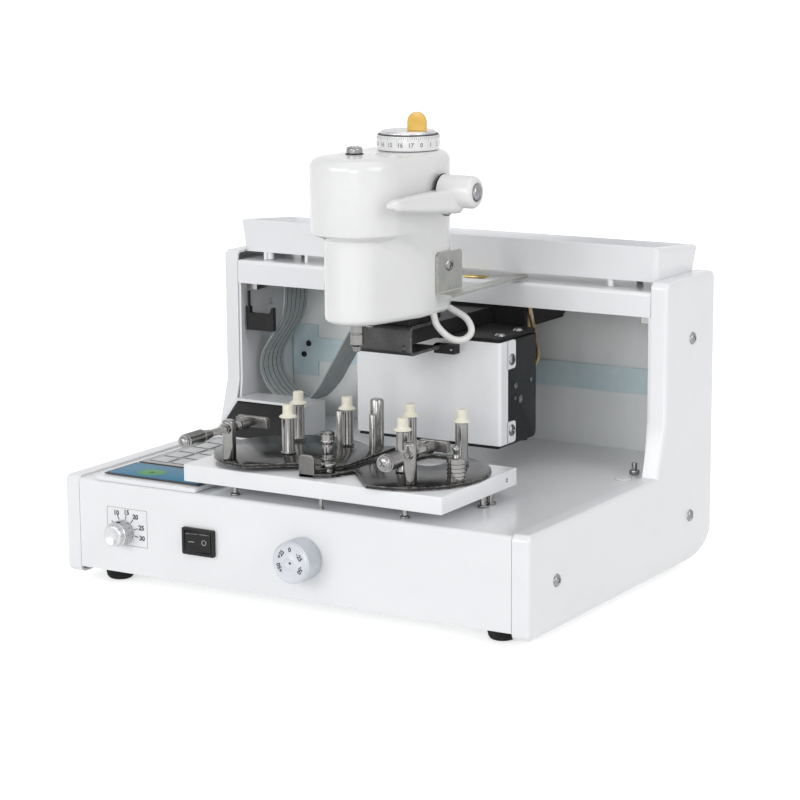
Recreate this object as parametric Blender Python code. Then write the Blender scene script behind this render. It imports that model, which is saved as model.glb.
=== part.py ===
"""Desktop lens drilling machine: a white case with two lens clamps on a raised table,
and a moulded drill head on a carriage that runs on rods behind the top beam.

Sizes are in metres through MM. In the sizes below x is counted from the middle of the case,
y from the face of its front panel (back is positive) and z from the surface it stands on.
to_world moves that frame so that the origin lies under the middle of the whole machine."""
import math

import bmesh
import bpy
from mathutils import Matrix, Vector

MM = 0.001

# General clearances and sheet sizes
GAP = 0.3 * MM
OVERRUN = 2 * MM
SHEET = 1.5 * MM
THIN_SHEET = 1.2 * MM
BEND = 2 * MM

# Case
CASE_WIDTH = 295 * MM
CASE_DEPTH = 222 * MM
CASE_TOP = 168 * MM
SIDE_WIDTH = 10 * MM
SIDE_BOTTOM = 5 * MM
SILL_STEP = 1 * MM
SLANT_SET_IN = 72 * MM
PILLAR_DEPTH = 63 * MM
SLANT_RISE = 29.5 * MM
REAR_CURVE_REACH = 29 * MM
REAR_CURVE_RISE = 15 * MM
PILLAR_ROUND = 4 * MM
EDGE_ROUND = 2.5 * MM
PANEL_BOTTOM = 8.7 * MM
DECK_HEIGHT = 59.5 * MM
BACK_SET_IN = 5.5 * MM
FOOT_RADIUS = 6.5 * MM
FOOT_SET_IN = 24.5 * MM
FOOT_FRONT_Y = 17 * MM
FOOT_REAR_SET_IN = 22 * MM

# Beam and tray
BEAM_DROP = 19.5 * MM
BEAM_TOP_DROP = 5.6 * MM
BEAM_REAR_LIP = 12 * MM
TRAY_FRONT_SET_IN = 57 * MM
TRAY_BACK_SET_IN = 5 * MM
TRAY_LIFT = 4.6 * MM
TRAY_FRONT_HEIGHT = 19.5 * MM
TRAY_REAR_HEIGHT = 15.3 * MM
TRAY_SHORTER = 17 * MM
TRAY_TAPER = 1.8 * MM
TRAY_WALL = 1.6 * MM
TRAY_ROUND = 3 * MM
STANDOFF_RADIUS = 2 * MM
STANDOFF_LEFT_SET_IN = 27.5 * MM
STANDOFF_RIGHT_SET_IN = 39.5 * MM
STANDOFF_FRONT_SET_IN = 4 * MM
STANDOFF_REAR_SET_IN = 11 * MM

# Rail on the back panel
RAIL_BOTTOM = 93.3 * MM
RAIL_HEIGHT = 14.7 * MM
RAIL_SET_IN = 30.5 * MM
RAIL_PLATE_SET_IN = 12.5 * MM
RAIL_PLATE_BOTTOM = 84 * MM
RAIL_PLATE_HEIGHT = 32 * MM

# Domed screws of the side panels: places as y and z
SIDE_SCREW_HEAD = 3.6 * MM
SIDE_SCREW_DOME = 2.1 * MM
SIDE_SCREW_SHANK = 2 * MM
SIDE_SCREW_LOW_Z = 31.3 * MM
SIDE_SCREW_HIGH_Z = 133.1 * MM
SIDE_SCREW_FRONT_Y = 29.7 * MM
SIDE_SCREW_REAR_SET_IN = 30 * MM

# Rear housing on the left of the deck
HOUSING_REACH = 62.5 * MM
HOUSING_FRONT_SET_IN = 97 * MM
HOUSING_SLANT_SET_IN = 70 * MM
HOUSING_BACK_SET_IN = 49 * MM
HOUSING_HEIGHT = 19.5 * MM
HOUSING_RIM = 2 * MM
HOUSING_CAVITY = 10 * MM
HOUSING_PLATE = 1.2 * MM
HOUSING_SET_BACK = 1 * MM

# Cable hook inside the left pillar
HOOK_LEFT_SET_IN = 13 * MM
HOOK_RIGHT_SET_IN = 32.5 * MM
HOOK_SET_IN = 59 * MM
HOOK_DEPTH = 3 * MM
HOOK_BOTTOM = 119.5 * MM
HOOK_BAR_TOP = 130 * MM
HOOK_HORN_TOP = 134 * MM
HOOK_HORN = 2.6 * MM
HOOK_ROD = 0.9 * MM
HOOK_ROD_TOP = 143.4 * MM

# Mains inlet in the back panel
INLET_SET_IN = 47.5 * MM
INLET_Z = 32 * MM
INLET_WIDTH = 28 * MM
INLET_HEIGHT = 20 * MM
INLET_FLANGE = 3 * MM
INLET_FLANGE_DEPTH = 2 * MM
INLET_DEPTH = 17 * MM
INLET_RECESS = 12 * MM
INLET_WALL = 2.4 * MM
INLET_PIN = 1.2 * MM
INLET_PIN_STEP = 7 * MM
INLET_PIN_LENGTH = 9 * MM

# Front controls
SWITCH_X = -55.5 * MM
SWITCH_Z = 32.9 * MM
SWITCH_WIDTH = 21 * MM
SWITCH_HEIGHT = 15 * MM
SWITCH_BEZEL = 1.8 * MM
SWITCH_RIM = 1.6 * MM
SWITCH_BODY_DEPTH = 16 * MM
SWITCH_WELL = 6 * MM
ROCKER_TILT = math.radians(7)
ROCKER_THROAT = 1.2 * MM
ROCKER_TAPER = 1.5 * MM
SPEED_SET_IN = 40.6 * MM
SPEED_Z = 32 * MM
SPEED_BASE_RADIUS = 7 * MM
SPEED_RADIUS = 5.6 * MM
SPEED_FACE_RADIUS = 4.6 * MM
SPEED_REACH = 11.5 * MM
SPEED_BASE_REACH = 4 * MM
OFFSET_X = 12 * MM
OFFSET_Z = 32.5 * MM
OFFSET_RADIUS = 11.5 * MM
OFFSET_REACH = 14 * MM
OFFSET_FACE_RADIUS = 9.8 * MM
OFFSET_DISH = 0.8 * MM
OFFSET_BOSS = 3.2 * MM
KNOB_START = 0.5 * MM
SHAFT_RADIUS = 3 * MM
SHAFT_LENGTH = 9 * MM
KNURL_COUNT = 18
KNURL_DEPTH = 0.35 * MM
GROOVE_DEPTH = 0.7 * MM

# Control plate with its display and keypad
CONTROL_SET_IN = 21.5 * MM
CONTROL_UNDER_TABLE = 6.3 * MM
CONTROL_BACK_STEP = 7 * MM
CONTROL_RISE = 2.5 * MM
CONTROL_MARGIN = 2 * MM
DISPLAY_FRONT = 6 * MM
DISPLAY_BACK = 36 * MM
FILM = 0.7 * MM
KEYPAD_FRONT = 38 * MM

# Table
TABLE_LEFT = -64.3 * MM
TABLE_RIGHT = 97.4 * MM
TABLE_FRONT = -1.5 * MM
TABLE_BACK = 79.3 * MM
TABLE_LIFT = 6.5 * MM
TABLE_THICKNESS = 9.5 * MM
TABLE_ROUND = 0.6 * MM
TABLE_LEG_RADIUS = 2.6 * MM
TABLE_LEG_LEFT_X = -37 * MM
TABLE_LEG_MIDDLE_X = 21 * MM
TABLE_LEG_RIGHT_X = 70 * MM
TABLE_LEG_FAR_X = 88 * MM
TABLE_LEG_FRONT_Y = 8 * MM
TABLE_LEG_MIDDLE_Y = 3.5 * MM
TABLE_LEG_BACK_Y = 64 * MM
TABLE_HOLE_Y = 68 * MM
TABLE_HOLE_RADIUS = 1 * MM
TABLE_HOLE_DEPTH = 8 * MM

# Clamp plates, their pivot and their windows
PLATE_THICKNESS = 1.9 * MM
STATION_Y = 39 * MM
LEFT_DISC_X = -20 * MM
RIGHT_DISC_X = 55 * MM
DISC_RADIUS = 43 * MM
LEFT_DISC_ARC = (265, 47)
RIGHT_DISC_ARC = (-92, 150)
PIVOT_X = 18.5 * MM
PIVOT_Y = 15 * MM
PIVOT_DISC_RADIUS = 6 * MM
PIVOT_BOLT_RADIUS = 2.5 * MM
TONGUE_RIGHT = 24 * MM
TONGUE_BACK = 77 * MM
TONGUE_FRONT_Y = 7 * MM
TONGUE_SHOULDER_Y = 24 * MM
TAB_LEFT = 0.5 * MM
TAB_RIGHT = 9.5 * MM
TAB_FRONT = 3 * MM
TAB_RISE = 12 * MM
WINDOW_X = 72 * MM
WINDOW_Y = 52 * MM
WINDOW_RADIUS = 11 * MM
PLATE_EDGE = 0.3 * MM

# Posts on the clamp plates
TRIO_LEFT_X = -18 * MM
TRIO_RIGHT_X = 54.5 * MM
TRIO_FRONT_Y = 32 * MM
TRIO_BACK_Y = 66.5 * MM
TRIO_HALF = 16 * MM
TRIO_RISE = 31.5 * MM
STEM_RADIUS = 3.5 * MM
STEM_FOOT_RADIUS = 4.3 * MM
STEM_FOOT_HEIGHT = 1.2 * MM
CAP_RADIUS = 3.4 * MM
CAP_HEIGHT = 7 * MM
CAP_BRIM_RADIUS = 4.9 * MM
CAP_BRIM = 1.3 * MM
STOP_PIN_RADIUS = 2 * MM
STOP_PIN_RISE = 25.5 * MM
TALL_PIN_RADIUS = 4 * MM
TALL_PIN_RISE = 31.5 * MM
TALL_PIN_X = 14 * MM
TALL_PIN_Y = 71.5 * MM
STOP_PIN_LEFT_X = -7.5 * MM
STOP_PIN_LEFT_Y = 57 * MM
STOP_PIN_RIGHT_X = 18.5 * MM
STOP_PIN_RIGHT_Y = 60 * MM
THUMB_X = 10.5 * MM
THUMB_Y = 27 * MM
THUMB_RADIUS = 3.8 * MM
THUMB_HEAD = 5.7 * MM
THUMB_RISE = 20.5 * MM
THUMB_STEM = 2.6 * MM
PLUNGER_EDGE = 10 * MM
PLUNGER_Y = 30 * MM
PLUNGER_RADIUS = 5 * MM
PLUNGER_SLEEVE_RISE = 14 * MM
PLUNGER_RISE = 20.5 * MM
PLUNGER_TRAVEL = 3 * MM
PLUNGER_BALL = 2 * MM
PLUNGER_NECK = 1.2 * MM
PLUNGER_GROOVES = 3
BALL_START = -50

# Screw spindles that push the jaws
SPINDLE_LEFT_X = -38 * MM
SPINDLE_LEFT_RISE = 21.5 * MM
SPINDLE_LEFT_REACH = 41.7 * MM
SPINDLE_LEFT_HANDLE = 22 * MM
SPINDLE_LEFT_EDGE = 8.7 * MM
SPINDLE_LEFT_THROW = 19.3 * MM
SPINDLE_RIGHT_X = 73 * MM
SPINDLE_RIGHT_RISE = 18.2 * MM
SPINDLE_RIGHT_REACH = 26 * MM
SPINDLE_RIGHT_HANDLE = 16.9 * MM
SPINDLE_RIGHT_EDGE = 12.4 * MM
SPINDLE_RIGHT_THROW = 23.6 * MM
SPINDLE_POST_RADIUS = 3.4 * MM
SPINDLE_POST_RISE = 4 * MM
SPINDLE_HANDLE_RADIUS = 5.5 * MM
SPINDLE_SCREW_RADIUS = 4 * MM
SPINDLE_SCREW_DOME = 1.6 * MM
SPINDLE_ROD_RADIUS = 2 * MM
JAW_WIDTH = 15 * MM
JAW_HEIGHT = 6 * MM
JAW_DEPTH = 3 * MM
JAW_CONE_LENGTH = 9 * MM
JAW_CONE_RADIUS = 3.6 * MM
JAW_NECK_RADIUS = 2.6 * MM

# Moulded drill head: the spindle's axis, and the outlines of its lobe and its body
SPINDLE_X = 21.5 * MM
SPINDLE_Y = 40 * MM
HEAD_BOTTOM = 154 * MM
HEAD_CREASE = 200 * MM
HEAD_CREASE_RISE = 2.4 * MM
HEAD_TOP = 242 * MM
HEAD_HALF_WIDTH = 25.5 * MM
HEAD_NOSE_RADIUS = 17 * MM
HEAD_NOSE_FLARE = math.radians(16)
FLARE_LEAST = math.radians(0.1)
HEAD_BACK_Y = 109 * MM
HEAD_BACK_ROUND = 18 * MM
HEAD_TOP_ROUND = 6 * MM
HEAD_BOTTOM_ROUND = 4 * MM
HEAD_WALL = 2.5 * MM
HEAD_SCREW_RADIUS = 4.8 * MM
HEAD_SCREW_DOME = 2.4 * MM
HEAD_SCREW_Y = 38 * MM
HEAD_SCREW_SHANK = 2 * MM

# Quill, chuck and motor
QUILL_RADIUS = 7 * MM
QUILL_BOTTOM = 154.4 * MM
MOTOR_BOTTOM = 186 * MM
MOTOR_TOP = 228 * MM
MOTOR_RADIUS = 10.5 * MM
CHUCK_RADIUS = 3.5 * MM
CHUCK_BOTTOM = 138 * MM
CHUCK_BORE = 0.9 * MM
CHUCK_BORE_DEPTH = 8 * MM
CHUCK_TIP = 2.2 * MM
CHUCK_STEM = 2.5 * MM
CHUCK_STEM_TOP = 168 * MM
TRUNNION_RADIUS = 1.5 * MM
TRUNNION_REACH = 3.9 * MM
FORK_CLEARANCE = 1.2 * MM

# Feed lever: its axis runs along x through the rear of the head
LEVER_Y = 84 * MM
LEVER_Z = 221.5 * MM
LEVER_SHAFT = 4 * MM
LEVER_HUB_RADIUS = 9 * MM
LEVER_HUB_START = 49.6 * MM
LEVER_HUB_END = 70.5 * MM
LEVER_TIP_Y = 36 * MM
LEVER_TIP_INNER = 50 * MM
LEVER_TIP_OUTER = 57 * MM
LEVER_TIP_TOP = 223 * MM
LEVER_TIP_BOTTOM = 217 * MM
LEVER_SCREW_RADIUS = 4.8 * MM
LEVER_SCREW_DOME = 2.2 * MM
LEVER_GRUB_RADIUS = 3 * MM
LEVER_GRUB_HEIGHT = 1.8 * MM
LEVER_GRUB_X = 54 * MM
LEVER_CLAMP_LENGTH = 9 * MM
LEVER_ROOT_STEP = 4.95 * MM
LEVER_ROOT_RISE = 2.7 * MM
LEVER_ROOT_DROP = 7.2 * MM
LEVER_SECTIONS = (0, 0.35, 0.7, 0.93, 1)
LEVER_SWEEP = 0.8
LEVER_BITE = 5
LEVER_LIFT = 4
FORK_THICKNESS = 2.4 * MM
FORK_HEIGHT = 9 * MM
FORK_END_Y = 33.5 * MM
FORK_TAIL_Y = 97 * MM
FORK_SLOT_DEPTH = 13 * MM
FORK_SLOT_CLEARANCE = 0.65 * MM

# Depth dial on the head's top
DIAL_X = 24.5 * MM
DIAL_Y = 89.5 * MM
DIAL_RADIUS = 17 * MM
DIAL_HEIGHT = 7.5 * MM
DIAL_CAP_RADIUS = 14 * MM
DIAL_CAP_HEIGHT = 0.9 * MM
DIAL_SCREW_RADIUS = 3 * MM
DIAL_SCREW_LENGTH = 12 * MM
TAB_PLATE_WIDTH = 11 * MM
TAB_PLATE_HEIGHT = 11.6 * MM
TAB_PLATE_THICKNESS = 2.4 * MM
TAB_PLATE_OFFSET = 3 * MM

# L-shaped bracket between head and beam
BRACKET_SHEET = 1.6 * MM
BRACKET_FRONT = 79.4 * MM
BRACKET_BACK = 105.4 * MM
BRACKET_BOTTOM = 164.2 * MM
BRACKET_TOP = 188 * MM
BRACKET_FOOT_WIDTH = 9.6 * MM
BRACKET_FOOT_REACH = 9 * MM
BRACKET_ROUND = 3 * MM
BRACKET_SCREW_Y = 91.2 * MM
BRACKET_SCREW_Z = 180.8 * MM
BRACKET_SCREW_RADIUS = 3.8 * MM
BRACKET_SCREW_DOME = 1.8 * MM

# Slide block, arm and channel under the head
ARM_HALF_WIDTH = 14 * MM
ARM_FRONT = 72 * MM
ARM_BOTTOM = 138 * MM
ARM_TOP = 146.6 * MM
CHANNEL_LEFT = 4 * MM
CHANNEL_RIGHT = 38.6 * MM
CHANNEL_FRONT = 67.5 * MM
CHANNEL_BACK = 98 * MM
CHANNEL_BOTTOM = 132.4 * MM
CHANNEL_TOP = 148.7 * MM
CHANNEL_SHEET = 1.6 * MM
CHANNEL_ROUND = 1.28 * MM
SLIDE_FRONT = 70 * MM
SLIDE_BACK = 103 * MM
SLIDE_MARGIN = 2 * MM

# Carriage
COVER_LEFT = -25 * MM
COVER_RIGHT = 68.5 * MM
COVER_FRONT = 113 * MM
COVER_BACK = 122 * MM
COVER_BOTTOM = 77.5 * MM
COVER_TOP = 135.3 * MM
COVER_TAB_BACK = 131 * MM
COVER_TAB_TOP = 16 * MM
COVER_TAB_BOTTOM = 12 * MM
MOTOR_CASE_BACK = 158 * MM
MOTOR_CASE_BOTTOM = 75.5 * MM
MOTOR_CASE_TOP = 134.6 * MM
MOTOR_CASE_ROUND = 3 * MM
TOP_PLATE_LEFT = -8 * MM
TOP_PLATE_RIGHT = 66 * MM
TOP_PLATE_FRONT = 115 * MM
TOP_PLATE_BOTTOM = 135.6 * MM
TOP_PLATE_THICKNESS = 1.8 * MM
COVER_SCREW_LENGTH = 5 * MM
BLOCK_LEFT = 9 * MM
BLOCK_RIGHT = 57.5 * MM
BLOCK_FRONT_SET_IN = 60 * MM
BLOCK_BACK_SET_IN = 11 * MM
BLOCK_TOP = 160 * MM
ROD_FRONT_SET_IN = 47 * MM
ROD_REAR_SET_IN = 21 * MM
ROD_Z = 151.5 * MM
ROD_RADIUS = 3 * MM
ROD_END_WIDTH = 7 * MM
ROD_END_FRONT_SET_IN = 56 * MM
ROD_END_BACK_SET_IN = 12 * MM
ROD_END_BOTTOM = 144 * MM
SCREW_SET_IN = 34 * MM
SCREW_RADIUS = 2.5 * MM
COVER_SCREW_RADIUS = 3.4 * MM
COVER_SCREW_DOME = 1.6 * MM
COVER_SCREW_Y = 126.4 * MM
COVER_SCREW_LOW_Z = 84.5 * MM
COVER_SCREW_HIGH_Z = 124.5 * MM
TOP_SCREW_X = 61.3 * MM
TOP_SCREW_FRONT_Y = 125.6 * MM
TOP_SCREW_BACK_Y = 146.8 * MM
SWITCH_BLOCK_X = 30 * MM
SWITCH_BLOCK_LENGTH = 13 * MM
SWITCH_BLOCK_DEPTH = 6 * MM
SWITCH_BLOCK_BOTTOM = 128 * MM
SWITCH_BLOCK_HEIGHT = 5 * MM

# Cords that the machine holds
WIRE_RADIUS = 1.6 * MM
HEAD_CABLE_RADIUS = 1.65 * MM
RIBBON_WIDTH = 25 * MM
RIBBON_THICKNESS = 1.1 * MM
RIBBON_STEPS = 44
ROUTE_GRID = 1 * MM
RIBBON_TOP_GAP = 2.5 * MM
# Ribbon loop on the route grid: right of the case's left face, down from its top ends
RIBBON_LOOP = ((34.5, 0), (33.2, 14.3), (30.1, 23.1), (22.6, 33.6), (16.9, 42.9), (16, 52.9),
               (21.3, 63), (31.5, 70.2), (45.4, 70.8), (57.1, 60.4), (64.4, 49.2),
               (71.7, 37.5), (81.5, 22), (90.5, 9), (93.5, 0))
# Head cable on the route grid: right, back and up from where it leaves the head
HEAD_CABLE_LOOP = ((0, 0, 0), (2.2, 1.5, -5.6), (8.6, 7, -12.8), (13.7, 12.5, -14.1),
                   (14.4, 19, -10.6), (8.6, 22, -4.8), (0, 21, 0))
HEAD_CABLE_SET_IN = 4 * MM
WIRES_LOW_STEP = 20 * MM
WIRES_SWEEP = 6 * MM
WIRES_CLEAR = 1 * MM
WIRES_BEND = 5 * MM

# How finely curves are stepped
ROUND_STEPS = 28
DIAL_STEPS = 40
TURNED_STEPS = 24
PLAIN_STEPS = 20
SMALL_STEPS = 12
POST_STEPS = 16
CORNER_STEPS = 4
FOLD_STEPS = 3
NOSE_STEPS = 18
REAR_STEPS = 6
SKIRT_STEPS = 8
DISC_STEPS = 30
CABLE_STEPS = 22
ROUTE_FINENESS = 24
BALL_STEPS = 7

# Places that follow from the sizes above
HALF_WIDTH = CASE_WIDTH / 2
FOOT_X = HALF_WIDTH - FOOT_SET_IN
FOOT_REAR_Y = CASE_DEPTH - FOOT_REAR_SET_IN
SLANT_START = CASE_DEPTH - SLANT_SET_IN
PILLAR_FRONT = CASE_DEPTH - PILLAR_DEPTH
BACK_FACE = CASE_DEPTH - BACK_SET_IN
SILL_HEIGHT = DECK_HEIGHT + SILL_STEP
SLANT_TOP = DECK_HEIGHT + SLANT_RISE
BEAM_BOTTOM = CASE_TOP - BEAM_DROP
BEAM_TOP = CASE_TOP - BEAM_TOP_DROP
TRAY_FRONT = CASE_DEPTH - TRAY_FRONT_SET_IN
TRAY_BACK = CASE_DEPTH - TRAY_BACK_SET_IN
TRAY_BOTTOM = BEAM_TOP + TRAY_LIFT
TRAY_FRONT_TOP = TRAY_BOTTOM + TRAY_FRONT_HEIGHT
TRAY_REAR_TOP = TRAY_BOTTOM + TRAY_REAR_HEIGHT
TRAY_RIM_WIDTH = CASE_WIDTH - TRAY_SHORTER
STANDOFF_LEFT_X = STANDOFF_LEFT_SET_IN - HALF_WIDTH
STANDOFF_RIGHT_X = HALF_WIDTH - STANDOFF_RIGHT_SET_IN
STANDOFF_FRONT_Y = TRAY_FRONT + STANDOFF_FRONT_SET_IN
STANDOFF_REAR_Y = TRAY_BACK - STANDOFF_REAR_SET_IN
RAIL_LEFT = RAIL_SET_IN - HALF_WIDTH
RAIL_PLATE_LEFT = RAIL_PLATE_SET_IN - HALF_WIDTH
SIDE_SCREW_REAR_Y = CASE_DEPTH - SIDE_SCREW_REAR_SET_IN
HOUSING_RIGHT = HOUSING_REACH - HALF_WIDTH
HOUSING_FRONT_Y = CASE_DEPTH - HOUSING_FRONT_SET_IN
HOUSING_SLANT_Y = CASE_DEPTH - HOUSING_SLANT_SET_IN
HOUSING_BACK_Y = CASE_DEPTH - HOUSING_BACK_SET_IN
HOUSING_TOP = DECK_HEIGHT + HOUSING_HEIGHT
HOOK_LEFT = HOOK_LEFT_SET_IN - HALF_WIDTH
HOOK_RIGHT = HOOK_RIGHT_SET_IN - HALF_WIDTH
HOOK_Y = CASE_DEPTH - HOOK_SET_IN
INLET_X = INLET_SET_IN - HALF_WIDTH
SPEED_X = SPEED_SET_IN - HALF_WIDTH
CONTROL_LEFT = CONTROL_SET_IN - HALF_WIDTH
CONTROL_RIGHT = TABLE_LEFT + CONTROL_UNDER_TABLE
CONTROL_BACK = HOUSING_FRONT_Y - CONTROL_BACK_STEP
CONTROL_TOP = DECK_HEIGHT + CONTROL_RISE
TABLE_BOTTOM = DECK_HEIGHT + TABLE_LIFT
TABLE_TOP = TABLE_BOTTOM + TABLE_THICKNESS
LOWER_PLATE_Z = TABLE_TOP + GAP
UPPER_PLATE_Z = LOWER_PLATE_Z + PLATE_THICKNESS + GAP
TAB_TOP = TABLE_TOP + TAB_RISE
TRIO_TOP = TABLE_TOP + TRIO_RISE
STOP_PIN_TOP = TABLE_TOP + STOP_PIN_RISE
TALL_PIN_TOP = TABLE_TOP + TALL_PIN_RISE
THUMB_TOP = TABLE_TOP + THUMB_RISE
PLUNGER_X = RIGHT_DISC_X + DISC_RADIUS - PLUNGER_EDGE
PLUNGER_SLEEVE_TOP = TABLE_TOP + PLUNGER_SLEEVE_RISE
PLUNGER_TOP = TABLE_TOP + PLUNGER_RISE
SPINDLE_LEFT_Z = TABLE_TOP + SPINDLE_LEFT_RISE
SPINDLE_LEFT_POST_Y = STATION_Y - DISC_RADIUS + SPINDLE_LEFT_EDGE
SPINDLE_LEFT_START = SPINDLE_LEFT_POST_Y - SPINDLE_LEFT_REACH
SPINDLE_LEFT_JAW_Y = SPINDLE_LEFT_POST_Y + SPINDLE_LEFT_THROW
SPINDLE_RIGHT_Z = TABLE_TOP + SPINDLE_RIGHT_RISE
SPINDLE_RIGHT_POST_Y = STATION_Y - DISC_RADIUS + SPINDLE_RIGHT_EDGE
SPINDLE_RIGHT_START = SPINDLE_RIGHT_POST_Y - SPINDLE_RIGHT_REACH
SPINDLE_RIGHT_JAW_Y = SPINDLE_RIGHT_POST_Y + SPINDLE_RIGHT_THROW
BLOCK_FRONT = CASE_DEPTH - BLOCK_FRONT_SET_IN
BLOCK_BACK = CASE_DEPTH - BLOCK_BACK_SET_IN
ROD_FRONT_Y = CASE_DEPTH - ROD_FRONT_SET_IN
ROD_REAR_Y = CASE_DEPTH - ROD_REAR_SET_IN
SCREW_Y = CASE_DEPTH - SCREW_SET_IN
ROD_END_FRONT = CASE_DEPTH - ROD_END_FRONT_SET_IN
ROD_END_BACK = CASE_DEPTH - ROD_END_BACK_SET_IN
BEAM_FRONT = PILLAR_FRONT
RIBBON_Y = HOUSING_BACK_Y + GAP + RIBBON_WIDTH / 2
BRACKET_FOOT_BACK = BEAM_FRONT + BRACKET_FOOT_REACH
PANEL_HALF = HALF_WIDTH - SIDE_WIDTH - GAP
LINER_HALF = PANEL_HALF - SHEET
INSIDE_HALF = LINER_HALF - GAP
DECK_SEAT = DECK_HEIGHT + GAP
HEAD_RIGHT = SPINDLE_X + HEAD_HALF_WIDTH
HANDLE_REACH = -SPINDLE_LEFT_START + SPINDLE_SCREW_DOME
CENTRE_Y = (CASE_DEPTH - HANDLE_REACH) / 2
UPPER_PLATE_TOP = UPPER_PLATE_Z + PLATE_THICKNESS
LOWER_PLATE_TOP = LOWER_PLATE_Z + PLATE_THICKNESS
CLAMP_PIVOT = (PIVOT_X, PIVOT_Y, TABLE_TOP)

AXES = {
    "X": Matrix.Rotation(math.pi / 2, 3, "Y"),
    "-X": Matrix.Rotation(-math.pi / 2, 3, "Y"),
    "Y": Matrix.Rotation(-math.pi / 2, 3, "X"),
    "-Y": Matrix.Rotation(math.pi / 2, 3, "X"),
    "Z": Matrix.Identity(3),
    "-Z": Matrix.Rotation(math.pi, 3, "X"),
}

FINISHES = {
    "white_paint": ((0.86, 0.87, 0.88, 1), 0.35, 0.0),
    "white_mould": ((0.82, 0.82, 0.81, 1), 0.3, 0.0),
    "light_grey": ((0.62, 0.65, 0.66, 1), 0.45, 0.2),
    "galvanised": ((0.52, 0.58, 0.60, 1), 0.35, 0.9),
    "bright_steel": ((0.66, 0.64, 0.62, 1), 0.2, 1.0),
    "dark_steel": ((0.10, 0.095, 0.09, 1), 0.18, 0.8),
    "black_metal": ((0.02, 0.02, 0.022, 1), 0.4, 0.4),
    "black_plastic": ((0.02, 0.02, 0.02, 1), 0.5, 0.0),
    "rubber": ((0.03, 0.03, 0.03, 1), 0.8, 0.0),
    "aluminium": ((0.72, 0.73, 0.74, 1), 0.25, 1.0),
    "display": ((0.03, 0.25, 0.35, 1), 0.2, 0.0),
    "keypad": ((0.6, 0.62, 0.63, 1), 0.35, 0.3),
    "yellow": ((0.86, 0.58, 0.08, 1), 0.35, 0.0),
    "white_sleeve": ((0.8, 0.8, 0.78, 1), 0.6, 0.0),
    "grey_sleeve": ((0.33, 0.36, 0.36, 1), 0.5, 0.0),
}


def clear_scene():
    """Removes whatever the file holds."""
    for thing in list(bpy.data.objects):
        bpy.data.objects.remove(thing, do_unlink=True)


def finish_of(name):
    """Gives the named material, made once."""
    if name in bpy.data.materials:
        return bpy.data.materials[name]
    colour, roughness, metallic = FINISHES[name]
    made = bpy.data.materials.new(name)
    made.use_nodes = True
    shader = made.node_tree.nodes["Principled BSDF"]
    shader.inputs["Base Color"].default_value = colour
    shader.inputs["Roughness"].default_value = roughness
    shader.inputs["Metallic"].default_value = metallic
    made.diffuse_color = colour
    return made


def add_box(bm, low, high):
    """Adds a box between two corners and gives its vertices."""
    size = [high[axis] - low[axis] for axis in range(3)]
    middle = [(high[axis] + low[axis]) / 2 for axis in range(3)]
    place = Matrix.Translation(middle) @ Matrix.Diagonal((*size, 1))
    return bmesh.ops.create_cube(bm, size=1, matrix=place)["verts"]


def add_prism(bm, outline, axis, start, end):
    """Extrudes a closed outline along an axis. Its points are (y, z), (x, z) or (x, y)."""
    def corner(point, along):
        first, second = point
        if axis == "X":
            return (along, first, second)
        if axis == "Y":
            return (first, along, second)
        return (first, second, along)
    near = [bm.verts.new(corner(point, start)) for point in outline]
    far = [bm.verts.new(corner(point, end)) for point in outline]
    count = len(outline)
    faces = [bm.faces.new(near), bm.faces.new(list(reversed(far)))]
    for index in range(count):
        after = (index + 1) % count
        faces.append(bm.faces.new((near[index], near[after], far[after], far[index])))
    bmesh.ops.recalc_face_normals(bm, faces=faces)
    return faces


def add_turned(bm, profile, base, axis, steps=ROUND_STEPS):
    """Turns a profile of (radius, height) points round an axis through base."""
    turn = AXES[axis]
    rings = []
    for radius, height in profile:
        if radius == 0:
            rings.append([bm.verts.new(Vector(base) + turn @ Vector((0, 0, height)))])
            continue
        ring = []
        for step in range(steps):
            angle = 2 * math.pi * step / steps
            spot = Vector((radius * math.cos(angle), radius * math.sin(angle), height))
            ring.append(bm.verts.new(Vector(base) + turn @ spot))
        rings.append(ring)
    faces = []
    for lower, upper in zip(rings, rings[1:]):
        faces += join_rings(bm, lower, upper)
    for ring in (rings[0], rings[-1]):
        if len(ring) > 1:
            faces.append(bm.faces.new(ring))
    bmesh.ops.recalc_face_normals(bm, faces=faces)
    return faces


def join_rings(bm, lower, upper):
    """Bridges two rings of vertices, either of which may be a single point."""
    faces = []
    count = max(len(lower), len(upper))
    for index in range(count):
        after = (index + 1) % count
        corners = []
        corners.append(lower[index % len(lower)])
        if len(lower) > 1:
            corners.append(lower[after])
        if len(upper) > 1:
            corners.append(upper[after])
        corners.append(upper[index % len(upper)])
        faces.append(bm.faces.new(corners))
    return faces


def add_loft(bm, rings):
    """Skins a stack of rings of equal count and closes both ends."""
    made = [[bm.verts.new(spot) for spot in ring] for ring in rings]
    faces = []
    for lower, upper in zip(made, made[1:]):
        faces += join_rings(bm, lower, upper)
    faces.append(bm.faces.new(made[0]))
    faces.append(bm.faces.new(made[-1]))
    bmesh.ops.recalc_face_normals(bm, faces=faces)
    return faces


def arc(centre, radii, start, end, steps):
    """Points of an arc, or of a quarter of an ellipse, from one angle to another in degrees."""
    points = []
    for step in range(steps + 1):
        angle = math.radians(start + (end - start) * step / steps)
        across = centre[0] + radii[0] * math.cos(angle)
        points.append((across, centre[1] + radii[1] * math.sin(angle)))
    return points


def dome(radius, height, steps=3):
    """The profile of a screw head's dome on its flat side."""
    points = []
    for step in range(steps + 1):
        angle = math.pi / 2 * step / steps
        points.append((radius * math.cos(angle), height * math.sin(angle)))
    points[-1] = (0, height)
    return points


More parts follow.
